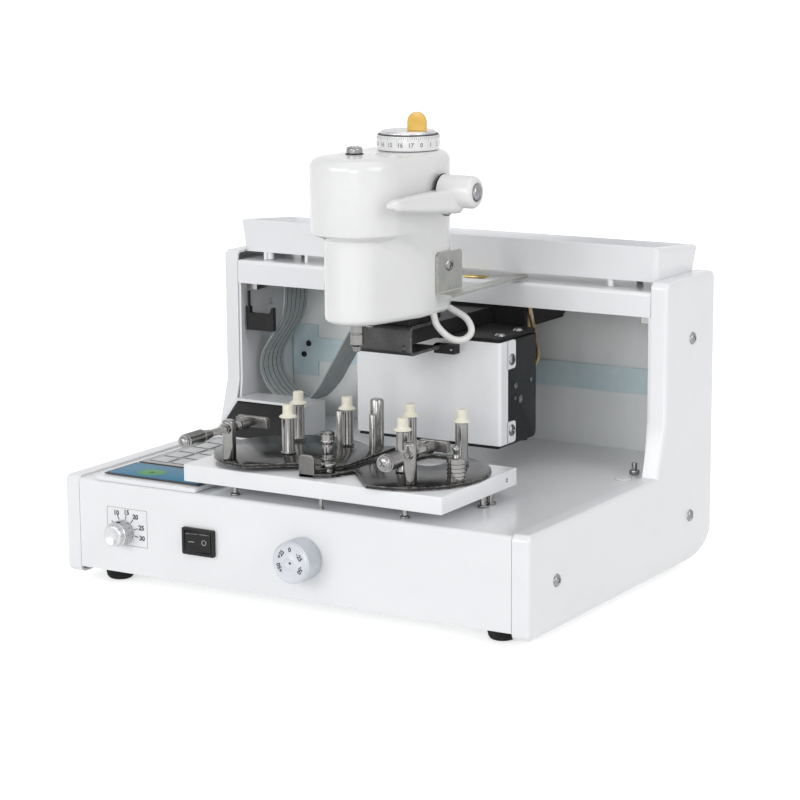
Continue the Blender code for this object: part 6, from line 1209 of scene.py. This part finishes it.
def jaw_plate(clamp):
    """Jaw with its ridged face, its side block and screw, on the end of the spindle."""
    side, x, z, jaw = (clamp[key] for key in ("side", "x", "z", "jaw"))
    left, right = clamp["jaw_left"], clamp["jaw_right"]
    bm = new()
    profile = [(0, 0), (2.6, 0), (3.6, 4.5), (3.6, 5.2), (2.6, JAW_LENGTH), (0, JAW_LENGTH)]
    turned(bm, soften(profile, 0.3), (x, jaw - JAW_LENGTH, z), "Y", 40)
    outline = [(left, z - 3), (right, z - 3)] + arc((right - 1.8, z + 1.2), 1.8, 0, 90, 5) + [(left, z + 3)]
    sheet(bm, outline, "Y", jaw - 0.3, jaw + 3, 0.4)
    ridges = 10
    for step in range(ridges):
        ridge = left + 1 + (right - left - 2) * (step + 0.5) / ridges
        block(bm, (ridge - 0.25, jaw + 2.9, z - 2.3), (ridge + 0.25, jaw + 3, z + 2.3))
    block(bm, (left, jaw - 2.2, z - 2.6), (x - 1.5, jaw, z + 2.6), 0.4, 2)
    turned(bm, soften(rod(1, -0.6, 0.5), 0.15, 2), (x - 4.5, jaw - 2.2, z), "-Y", 20)
    finish(f"jaw_plate_{side}", bm, f"{side}_jaw", "tab_steel", [f"jaw_{side}"])


def clamp_spindles():
    """Both clamps' posts, spindles and jaws."""
    for clamp in CLAMPS:
        spindle(clamp)
        spindle_post(clamp)
        jaw_plate(clamp)


# Head pieces

def head_outline(nose, inset):
    """Plan of the head: nose arc, sides that flare out to full width, round rear corners."""
    half = HEAD_HALF - inset
    radius = nose - inset
    share = (nose - HEAD_NOSE) / (HEAD_HALF - HEAD_NOSE)
    middle = SPINDLE_Y + HEAD_NOSE_SHIFT * share
    flare = HEAD_FLARE * (1 - share)
    degrees = math.degrees(flare)
    points = arc((SPINDLE_X, middle), radius, -degrees, -180 + degrees, 60)
    tangent = middle - radius * math.sin(flare)
    widen = half - radius * math.cos(flare)
    meet = tangent + (widen / math.tan(flare) if flare > 0.001 else HEAD_CORNER)
    corner = HEAD_CORNER - inset
    across = HEAD_HALF - HEAD_CORNER
    points.append((SPINDLE_X - half, meet))
    points += arc((SPINDLE_X - across, HEAD_REAR_Y), corner, 180, 90, 20)
    points += arc((SPINDLE_X + across, HEAD_REAR_Y), corner, 90, 0, 20)
    points.append((SPINDLE_X + half, meet))
    return points


def crease_drop(y):
    """How deep the step under the head's upper part is: a crisp crease at the nose, gone at the sides."""
    share = min(1, max(0, (y - CREASE_FROM) / CREASE_RUN))
    return CREASE_STEP + CREASE_DEEPENS * eased(share)


def head_rings():
    """Rings of the head from its rounded foot, over the crease, to its rounded top."""
    rings = []
    for step in range(8, -1, -1):
        angle = QUARTER * step / 8
        level = HEAD_BOTTOM + HEAD_FOOT_ROUND * (1 - math.sin(angle))
        inset = HEAD_FOOT_ROUND * (1 - math.cos(angle))
        rings.append([(x, y, level) for x, y in head_outline(HEAD_NOSE, inset)])
    foot = HEAD_BOTTOM + HEAD_FOOT_ROUND
    for step in range(1, 8):
        rings.append([(x, y, foot + (HEAD_CREASE - crease_drop(y) - foot) * step / 8)
                      for x, y in head_outline(HEAD_NOSE, 0)])
    for step in range(13):
        share = step / 12
        nose = HEAD_NOSE + (HEAD_HALF - HEAD_NOSE) * eased(share)
        rings.append([(x, y, HEAD_CREASE - (1 - share) * crease_drop(y)) for x, y in head_outline(nose, 0)])
    for step in range(11):
        angle = QUARTER * step / 10
        level = HEAD_TOP - HEAD_TOP_ROUND * (1 - math.sin(angle))
        inset = HEAD_TOP_ROUND * (1 - math.cos(angle))
        rings.append([(x, y, level) for x, y in head_outline(HEAD_HALF, inset)])
    return rings


def crown_top(bm):
    """Divides the head's flat top, and lifts it to a crown in front of the depth dial."""
    bm.normal_update()
    for axis, low, high, count in CROWN_CUTS:
        for step in range(count + 1):
            lid = [face for face in bm.faces if face.calc_center_median().z > HEAD_TOP - 0.001]
            edges = {edge for face in lid for edge in face.edges}
            verts = {vert for edge in edges for vert in edge.verts}
            spot = Vector()
            spot[axis] = low + (high - low) * step / count
            way = Vector()
            way[axis] = 1
            bmesh.ops.bisect_plane(bm, geom=list(verts) + list(edges) + lid, dist=0.001, plane_co=spot,
                                   plane_no=way)
    for vert in bm.verts:
        if vert.co.z > HEAD_TOP - 0.001:
            away = math.hypot((vert.co.x - SPINDLE_X) / CROWN_HALF[0], (vert.co.y - CROWN_Y) / CROWN_HALF[1])
            vert.co.z += CROWN_RISE * max(0, 1 - away * away) ** 1.5


def bore_foot(bm):
    """Bores the head's foot for the quill."""
    low = min(bm.faces, key=lambda face: face.calc_center_median().z)
    bmesh.ops.inset_region(bm, faces=[low], thickness=1)
    rim = list(low.edges)
    bmesh.ops.delete(bm, geom=[low], context="FACES_ONLY")
    centre = Matrix.Translation((SPINDLE_X, SPINDLE_Y, HEAD_BOTTOM))
    circle = bmesh.ops.create_circle(bm, segments=48, radius=QUILL_BORE, matrix=centre)["verts"]
    mouth = list(edges_of(circle))
    bmesh.ops.bridge_loops(bm, edges=rim + mouth)
    end = verts_in(bmesh.ops.extrude_edge_only(bm, edges=mouth)["geom"])
    bmesh.ops.translate(bm, vec=(0, 0, QUILL_BORE_DEPTH), verts=end)
    bmesh.ops.contextual_create(bm, geom=end)


def head_shell():
    """Moulded shell of the head."""
    bm = new()
    loft(bm, head_rings())
    crown_top(bm)
    bore_foot(bm)
    finish("head_shell", bm, "head", "white_mould", ["head_housing"])


def head_screws():
    """Socket screw on the head's top, and the ring round the quill with its small screw."""
    seat = HEAD_TOP + 1.85
    # A black ring round the foot of the top screw
    lathe("head_screw_dark_rim", "head", "black_metal", soften(rod(4.9, -0.6, 0.25), 0.12, 2),
          (SPINDLE_X, HEAD_SCREW_Y, seat), steps=40)
    profile = [(0, -0.2), (4, -0.2), (4.25, 0.2), (4.25, 2.4), (3.7, 3.3), (2.7, 3.6), (2.2, 3.4), (2, 2),
               (0, 1.8)]
    base = (SPINDLE_X, HEAD_SCREW_Y, seat + 0.3)
    lathe("head_top_screw", "head", "screw_steel", soften(profile, 0.2, 2), base)
    # A black disc in the bottom of the screw's socket: painted shade of the recess
    lathe("head_screw_socket_shade", "head", "black_metal", soften(rod(1.9, 1.6, 2.3), 0.1, 2), base, steps=32)
    bm = new()
    turned(bm, soften(collar(QUILL_BORE, 9.2, HEAD_BOTTOM - 0.4, HEAD_BOTTOM + 0.6), 0.15, 2), SPINDLE)
    cross_screw(bm, 2, 1.2, (33.6, 33.5, HEAD_BOTTOM - 0.05), "-Z", 0.2, 0.2)
    finish("quill_ring", bm, "head", "screw_steel")


def spindle_and_chuck():
    """Drill motor's nose in the quill, and the turned chuck with its collet jaws."""
    profile = [(0, 154.2), (5.6, 154.2), (6.6, 154.6), (6.9, 156), (6.9, 186), (0, 186)]
    lathe("quill_nose", "quill", "steel_upright", soften(profile, 0.3, 2), SPINDLE,
          stands_for=["quill_motor"])
    profile = [(0, 138), (0.9, 138), (2, 138.6), (2.3, 140.2), (2.5, 141.2), (3.1, 141.6), (3.5, 142.2),
               (3.5, 147.6), (3.2, 147.9), (3.2, 148.5), (3.5, 148.8), (3.5, 153.8), (3.1, 154.1), (0, 154.1)]
    lathe("chuck_turned", "chuck", "steel_upright", profile, SPINDLE, steps=56, stands_for=["drill_chuck"])


def lever_paddle():
    """Rings of the lever's paddle, from its hub to its narrow front tip."""
    rings = []
    root = LEVER_Y - 2
    root_top = LEVER_Z + 2.5
    count = 26
    for step in range(count + 1):
        share = step / count
        sweep = share ** 0.75
        pinch = 2.4 * max(0, (share - 0.93) / 0.07) ** 2
        left = LEVER_START + 0.2 * sweep + pinch * 0.4
        right = LEVER_ROOT_RIGHT + (LEVER_TIP_RIGHT - LEVER_ROOT_RIGHT) * sweep - pinch
        top = root_top + (LEVER_TIP[1] - root_top) * share - pinch * 0.6
        low = LEVER_ROOT_LOW + (LEVER_TIP[0] - LEVER_ROOT_LOW) * share ** 1.3 + pinch * 0.6
        centre = ((left + right) / 2, (top + low) / 2)
        y = root + (LEVER_FRONT - root) * share
        ring = oblong(centre, ((right - left) / 2, (top - low) / 2), 28)
        rings.append([(x, y, z) for x, z in ring])
    return rings


def lever():
    """Moulded feed lever: a turned hub with a paddle that narrows to its front tip."""
    hub = (LEVER_START, LEVER_Y, LEVER_Z)
    length = LEVER_END - LEVER_START
    shoulder = length - HUB_ROUND[1]
    bm = new()
    profile = [(4.4, 0.6), (4.4, 0), (8.4, 0), (9, 0.6), (HUB_RADIUS, shoulder)]
    for step in range(1, 8):
        angle = QUARTER * step / 8
        profile.append((HUB_RADIUS - HUB_ROUND[0] * (1 - math.cos(angle)),
                        shoulder + HUB_ROUND[1] * math.sin(angle)))
    profile += [(5.5, length), (5.1, length - 0.5), (0, length - 0.5)]
    turned(bm, profile, hub, "X", 64)
    loft(bm, lever_paddle())
    finish("lever_moulding", bm, "lever", "white_mould", ["feed_lever"], smooth=40)
    # A black ring in the slit between the hub and the head: painted shade of that slit
    lathe("lever_gap_shade", "lever", "black_plastic", collar(4.5, 9.3, 0, 0.35), (49.15, LEVER_Y, LEVER_Z),
          "X")
    lathe("lever_hub_screw", "lever", "screw_steel", [(0, -0.6), (4.9, -0.6), (4.9, 0.1)] + dome(4.7, 2.05),
          (LEVER_END - 0.1, LEVER_Y, LEVER_Z), "X", 40)
    lathe("lever_grub_screw", "lever", "screw_steel", [(0, -1), (2.6, -1)] + dome(2.6, 1.6),
          (56.5, LEVER_Y - 9, 210.7), "-Z", 32)


def depth_dial():
    """Graduated dial with a dark line under its metal cap, and the amber tab on it."""
    x, y, low = DEPTH_DIAL
    band = DEPTH_BAND
    radius = DEPTH_RADIUS
    profile = [(0, 0), (radius - 0.3, 0), (radius, 0.4), (radius, band), (0, band)]
    lathe("depth_ring", "depth_stop", "white_mould", soften(profile, 0.3), DEPTH_DIAL, steps=120,
          stands_for=["depth_dial"])
    line = [(0, band), (radius - 0.4, band), (radius - 0.8, band + 0.6), (0, band + 0.6)]
    lathe("depth_line", "depth_stop", "ink", line, DEPTH_DIAL, steps=96)
    ink = new()
    marks = DEPTH_NUMBERS * DEPTH_MARKS_EACH
    for step in range(marks):
        tall = 1.3 if step % DEPTH_MARKS_EACH else 2.3
        turn = Matrix.Rotation(FULL_TURN * step / marks, 4, "Z")
        spots = block(ink, (radius - 0.1, -0.11, band - 0.3 - tall), (radius + 0.04, 0.11, band - 0.3))
        bmesh.ops.transform(ink, matrix=Matrix.Translation(DEPTH_DIAL) @ turn, verts=spots)
    for step in range(DEPTH_NUMBERS):
        turn = Matrix.Rotation(FULL_TURN * step / DEPTH_NUMBERS - 0.6, 4, "Z")
        spot = Vector(DEPTH_DIAL) + turn @ Vector((radius, 0, 3.3))
        add_words(ink, str(step), 3.2, spot, turn @ Matrix.Rotation(QUARTER, 4, "Z") @ UPRIGHT, 0.04)
    finish("depth_ring_scale", ink, "depth_stop", "scale_ink")
    profile = [(0, band + 0.4), (15.2, band + 0.4), (15.2, band + 1.2), (14.2, band + 2.2), (0, band + 2.2)]
    lathe("depth_cap", "depth_stop", "aluminium", soften(profile, 0.2), DEPTH_DIAL, steps=96)
    seat = low + band + 2.15
    centre = x + 5.6
    bm = new()
    outline = [(centre - TAB_HALF, seat), (centre + TAB_HALF, seat)]
    outline += arc((centre, TAB_PEAK - TAB_HALF), TAB_HALF, 0, 180, 28)
    sheet(bm, outline, "Y", y - 1.2, y + 1.2, 0.35, 3)
    finish("depth_tab_amber", bm, "depth_stop", "amber", ["depth_tab"])


def runs_along(edge, axis):
    """Whether an edge lies along an axis: 0 for X, 1 for Y, 2 for Z."""
    return abs((edge.verts[0].co - edge.verts[1].co).normalized()[axis]) > 0.99


def bracket():
    """Bent zinc bracket: its plate, its long foot with the bend between, and a domed screw."""
    left = HEAD_RIGHT + GAP
    top = BRACKET_TOP
    foot = BRACKET_FOOT
    far = left + BRACKET_REACH
    centre = (left + FOLDED + 1, foot + FOLDED + 1)
    outline = [(left, top)] + arc(centre, 1 + FOLDED, 180, 270, 6) + [(far, foot), (far, foot + FOLDED)]
    outline += arc(centre, 1, 270, 180, 6) + [(left + FOLDED, top)]
    bm = new()
    sheet(bm, outline, "Y", *BRACKET_PLATE)
    corners = [edge for edge in bm.edges
               if runs_along(edge, 0) and min(vert.co.z for vert in edge.verts) > top - 1]
    rounded(bm, corners, 3, 5)
    block(bm, (left + 1.9, BRACKET_PLATE[1] - 0.2, foot), (far, BRACKET_END, foot + FOLDED))
    ends = [edge for edge in bm.edges
            if runs_along(edge, 2) and min(vert.co.y for vert in edge.verts) > BRACKET_END - 1]
    rounded(bm, ends, 2.5, 4)
    finish("bracket_bent", bm, "head", "bracket_zinc", ["head_bracket"])
    bm = new()
    cross_screw(bm, 3.8, 1.7, (left + FOLDED - 0.1, 91.2, 180.8), "X", 0.6, 0.2)
    finish("bracket_screw", bm, "head", "screw_steel")


def head_cable():
    """White sleeved lead that loops below the head's right side."""
    start = Vector((HEAD_RIGHT - 2, 80.4, HEAD_BOTTOM + 1.2))
    bm = new()
    tube(bm, smooth_route([start + Vector(step) for step in CABLE_LOOP], 60), 1.85, 20)
    finish("head_cable_sleeve", bm, "head", "white_sleeve", ["head_cable"])


# Carriage pieces

def head_channel():
    """Bent channel under the head: front wall and two flanges, with rounded bends."""
    front, back = 67.5, 98
    low, high = 132.4, 148.7
    bend = 3
    lower = (front + bend, low + bend)
    upper = (front + bend, high - bend)
    outline = [(back, low)] + arc(lower, bend, 270, 180, 7) + arc(upper, bend, 180, 90, 7)
    outline += [(back, high), (back, high - FOLDED)]
    outline += arc(upper, bend - FOLDED, 90, 180, 7) + arc(lower, bend - FOLDED, 180, 270, 7)
    outline += [(back, low + FOLDED)]
    bm = new()
    sheet(bm, outline, "X", 4, 38.6, 0.25)
    finish("channel_bent", bm, "carriage", "channel_steel", ["head_channel"])
    lathe("channel_screw", "carriage", "channel_steel", [(0, -0.3), (2.1, -0.3)] + dome(2, 1.1),
          (34, front, 136.5), "-Y", 28)


def motor_cover():
    """White folded cover with screw tabs, and four cross screws."""
    left, right = -25, 68.5
    front, back = 113, 122
    low, high = 77.5, 135.3
    thick = 1.2
    bend = 2
    near = (left + bend, front + bend)
    far = (right - bend, front + bend)
    outline = [(left, back)] + arc(near, bend, 180, 270, 8) + arc(far, bend, 270, 360, 8)
    outline += [(right, back), (right - thick, back)] + arc(far, bend - thick, 0, -90, 8)
    outline += arc(near, bend - thick, 270, 180, 8) + [(left + thick, back)]
    bm = new()
    sheet(bm, outline, "Z", low, high)
    for side in (left, right - thick):
        for bottom, top in ((low, low + 12), (high - 16, high)):
            verts = block(bm, (side, back - 0.6, bottom), (side + thick, 131, top))
            corners = [edge for edge in edges_of(verts)
                       if runs_along(edge, 0) and min(end.co.y for end in edge.verts) > 130]
            rounded(bm, corners, 2, 4)
    finish("cover_folded", bm, "carriage", "white_paint", ["motor_cover"])
    bm = new()
    for x, axis in ((left + 0.1, "-X"), (right - 0.1, "X")):
        for z in (84.5, 124.5):
            cross_screw(bm, 3.4, 1.55, (x, 126.4, z), axis, z, 0.2)
    finish("cover_screws", bm, "carriage", "screw_steel")


def drive_case():
    """Black case of the drive, with rounded lower and rear corners on its right side."""
    front, back = 114.5, 158
    low, high = 75.5, 134.6
    corner = 4
    outline = [(front, low)] + arc((back - corner, low + corner), corner, 270, 360, 8)
    outline += [(back, high), (front, high)]
    bm = new()
    right = sheet(bm, outline, "X", -23.6, 67)[1]
    rounded(bm, [edge for edge in right.edges if max(end.co.y for end in edge.verts) > front + 1], 0.7, 2)
    finish("drive_case", bm, "carriage", "black_plastic", ["motor_case"])


def carriage_top():
    """Black plate over the drive with its two screws, small screws on the drive's side, and its foot."""
    outline = [(-8, 115), (66, 115), (66, 158), (64.5, 159.6), (56.5, 159.6), (56.5, 211), (-8, 211)]
    bm = new()
    flat_plate(bm, [outline], 135.6, 137.4)
    finish("carriage_top", bm, "carriage", "black_metal", ["carriage_plate"])
    bm = new()
    for index, y in enumerate((125.6, 146.8)):
        cross_screw(bm, 3.4, 1.55, (61.3, y, 137.3), "Z", index, 0.2)
    finish("carriage_screws", bm, "carriage", "screw_steel")
    bm = new()
    for y, z, radius in ((133.2, 108.5, 1.7), (138.5, 100, 2.2), (151.1, 109.1, 1.2), (132.6, 101.4, 1)):
        profile = [(0, -0.3), (radius, -0.3), (radius, 0.35), (radius - 0.5, 0.4), (radius - 0.6, 0.05),
                   (0, 0.05)]
        turned(bm, profile, (67, y, z), "X", 24)
    finish("drive_side_screws", bm, "carriage", "screw_steel")
    lathe("drive_foot", "carriage", "rubber", soften(rod(3, 0, 2), 0.4), (62, 150.7, 73.9), steps=24)


def switch_blade():
    """Bright spring blade of the limit switch, with its small screws."""
    outline = [(110.4, 133.1), (110.4, 133.5), (104.6, 134.4), (99.4, 133.4), (99.2, 133), (104.6, 134)]
    bm = new()
    sheet(bm, outline, "X", 33, 36.6)
    finish("switch_blade", bm, "carriage", "screw_steel")
    bm = new()
    for x in (32, 41):
        turned(bm, [(0, -0.2), (0.9, -0.2)] + dome(0.9, 0.5, 4), (x, 106.7, 130.5), "-Y", 16)
    finish("switch_rivets", bm, "carriage", "screw_steel")


def carriage_wires():
    """Thin coloured wires, loosely gathered, where the CAD has one bundle."""
    route = smooth_route(WIRE_ROUTE, 48)
    for index, look in enumerate(WIRE_FINISHES):
        twist = []
        for step, spot in enumerate(route):
            share = step / (len(route) - 1)
            angle = FULL_TURN * index / len(WIRE_FINISHES) + 1.9 * math.sin(2.3 * share + 1.7 * index)
            reach = 1 + 1.1 * math.sin(math.pi * share) * (0.5 + 0.5 * math.sin(2.1 * index + 5 * share))
            twist.append(spot + Vector((reach * math.cos(angle), reach * math.sin(angle), 0)))
        bm = new()
        tube(bm, twist, 0.5, 10)
        stands_for = () if index else ["carriage_wires"]
        finish(f"drive_wire_{index + 1}", bm, "carriage", look, stands_for)


def ribbon_cable():
    """Flat cable: a web with a raised round conductor along each lane, and dark cords in the grooves between
    some lanes as painted shade.
    """
    points = [(right - HALF_WIDTH, 0, RIBBON_TOP - down) for right, down in RIBBON_LOOP]
    route = smooth_route(points, 90)
    lanes = RIBBON_LANES
    pitch = RIBBON_WIDTH / lanes
    rings = []
    for index, spot in enumerate(route):
        before = route[max(index - 1, 0)]
        after = route[min(index + 1, len(route) - 1)]
        run = (after - before).normalized()
        side = Vector((-run.z, 0, run.x))
        ring = []
        for face, order in ((1, range(lanes + 1)), (-1, range(lanes, -1, -1))):
            for lane in order:
                half = 0.3 if 0 < lane < lanes else 0.42
                place = spot + side * (face * half)
                ring.append((place.x, RIBBON_NEAR + lane * pitch, place.z))
        rings.append(ring)
    web = new()
    loft(web, rings)
    finish("ribbon_web", web, "case", "ribbon", ["ribbon_cable"], smooth=60)

    def lane_route(lane):
        """Every second point along the middle of a lane, or between two for a half number."""
        return [Vector((spot.x, RIBBON_NEAR + (lane + 0.5) * pitch, spot.z)) for spot in route[::2]]

    wires = new()
    for lane in range(lanes):
        tube(wires, lane_route(lane), 0.5, 8)
    finish("ribbon_conductors", wires, "case", "ribbon_wire", smooth=60)
    # Dark cords in some grooves between lanes: painted shade of those grooves
    groove_shade = new()
    for lane in range(2, lanes, 3):
        tube(groove_shade, lane_route(lane - 0.5)[:RIBBON_SHADE_END // 2], 0.52, 6)
    finish("ribbon_groove_shade", groove_shade, "case", "ribbon_shade", smooth=60)


# Camera, lamps and surroundings

def add_camera():
    """The photograph's viewpoint."""
    cos_up = math.cos(CAMERA_ELEVATION)
    ahead = Vector((-math.sin(CAMERA_AZIMUTH) * cos_up, math.cos(CAMERA_AZIMUTH) * cos_up,
                    -math.sin(CAMERA_ELEVATION)))
    right = Vector((math.cos(CAMERA_AZIMUTH), math.sin(CAMERA_AZIMUTH), 0))
    down = ahead.cross(right)
    across = right * math.cos(CAMERA_ROLL) + down * math.sin(CAMERA_ROLL)
    up = right * math.sin(CAMERA_ROLL) - down * math.cos(CAMERA_ROLL)
    turn = Matrix((across, up, -ahead)).transposed()
    data = bpy.data.cameras.new("camera")
    data.lens = CAMERA_LENS
    data.sensor_width = 36
    data.clip_start = 0.05
    data.clip_end = 60
    camera = bpy.data.objects.new("camera", data)
    camera.matrix_world = Matrix.Translation(TO_WORLD @ Vector(CAMERA_PLACE)) @ turn.to_4x4()
    bpy.context.scene.collection.objects.link(camera)
    bpy.context.scene.camera = camera


def add_lamp(name, place, target, size, power):
    """An oblong area lamp that faces a point, in metres."""
    data = bpy.data.lights.new(name, "AREA")
    data.shape = "RECTANGLE"
    data.size, data.size_y = size
    data.energy = power
    lamp = bpy.data.objects.new(name, data)
    lamp.location = place
    lamp.rotation_euler = (Vector(target) - Vector(place)).to_track_quat("-Z", "Y").to_euler()
    bpy.context.scene.collection.objects.link(lamp)


def seen_directly(tree):
    """A mask of the rays that show the background itself."""
    path = tree.nodes.new("ShaderNodeLightPath")
    some = sums(tree, "MAXIMUM", path.outputs["Is Camera Ray"], path.outputs["Is Glossy Ray"])
    return sums(tree, "MAXIMUM", some, path.outputs["Is Transmission Ray"])


def backdrop():
    """White world that lights the object softly."""
    world = bpy.data.worlds.new("studio")
    bpy.context.scene.world = world
    world.use_nodes = True
    tree = world.node_tree
    back = tree.nodes["Background"]
    back.inputs["Color"].default_value = (1, 1, 1, 1)
    tree.links.new(ramp(tree, seen_directly(tree), 0.0, 1.0, 0.43, 1.0), back.inputs["Strength"])


def studio_floor():
    """Pale floor that keeps the object's shadow."""
    made = bpy.data.materials.new("studio_floor")
    made.use_nodes = True
    tree = made.node_tree
    shader = tree.nodes["Principled BSDF"]
    place = tree.nodes.new("ShaderNodeTexCoord").outputs["Object"]
    tone = use(tree, DRIFT, place, scale=2.0)["Mask"]
    base = blend_colours(tree, tone, (0.86, 0.86, 0.86), (0.84, 0.84, 0.84))
    tree.links.new(base, shader.inputs["Base Color"])
    shader.inputs["Roughness"].default_value = 0.6
    shader.inputs["Specular IOR Level"].default_value = 0.2
    shader.inputs["Emission Color"].default_value = (1, 1, 1, 1)
    lift = ramp(tree, seen_directly(tree), 0.0, 1.0, 0.0, 0.6)
    tree.links.new(lift, shader.inputs["Emission Strength"])
    mesh = bpy.data.meshes.new("studio_floor")
    bm = new()
    bmesh.ops.create_grid(bm, x_segments=2, y_segments=2, size=14)
    bm.to_mesh(mesh)
    bm.free()
    mesh.materials.append(made)
    floor = bpy.data.objects.new("studio_floor", mesh)
    bpy.context.scene.collection.objects.link(floor)


def lamps():
    """Soft lamps: a key from the front left, sides and top."""
    add_lamp("key_lamp", (-0.7, -2.4, 0.95), (0, 0, 0.12), (1.9, 1.1), 22)
    add_lamp("side_lamp", (2.4, -0.6, 1.3), (0, 0, 0.12), (1.4, 1.8), 20)
    add_lamp("fill_lamp", (0.9, -2.2, 0.55), (0.05, 0.1, 0.12), (0.9, 0.8), 7)
    add_lamp("top_lamp", (0.1, 0.3, 2.6), (0, 0, 0.1), (2.2, 2.2), 11)


dress_nodes()
side_panels()
rubber_feet()
small_hardware()
table()
keypad_and_display()
speed_control()
offset_control()
switch_marks()
lens_posts()
left_clamp()
right_clamp()
pivot()
clamp_spindles()
clamp_screws()
head_shell()
head_screws()
spindle_and_chuck()
lever()
depth_dial()
bracket()
head_cable()
head_channel()
motor_cover()
drive_case()
carriage_top()
switch_blade()
carriage_wires()
ribbon_cable()
add_camera()
backdrop()
studio_floor()
lamps()
bpy.context.scene.view_settings.view_transform = "Standard"
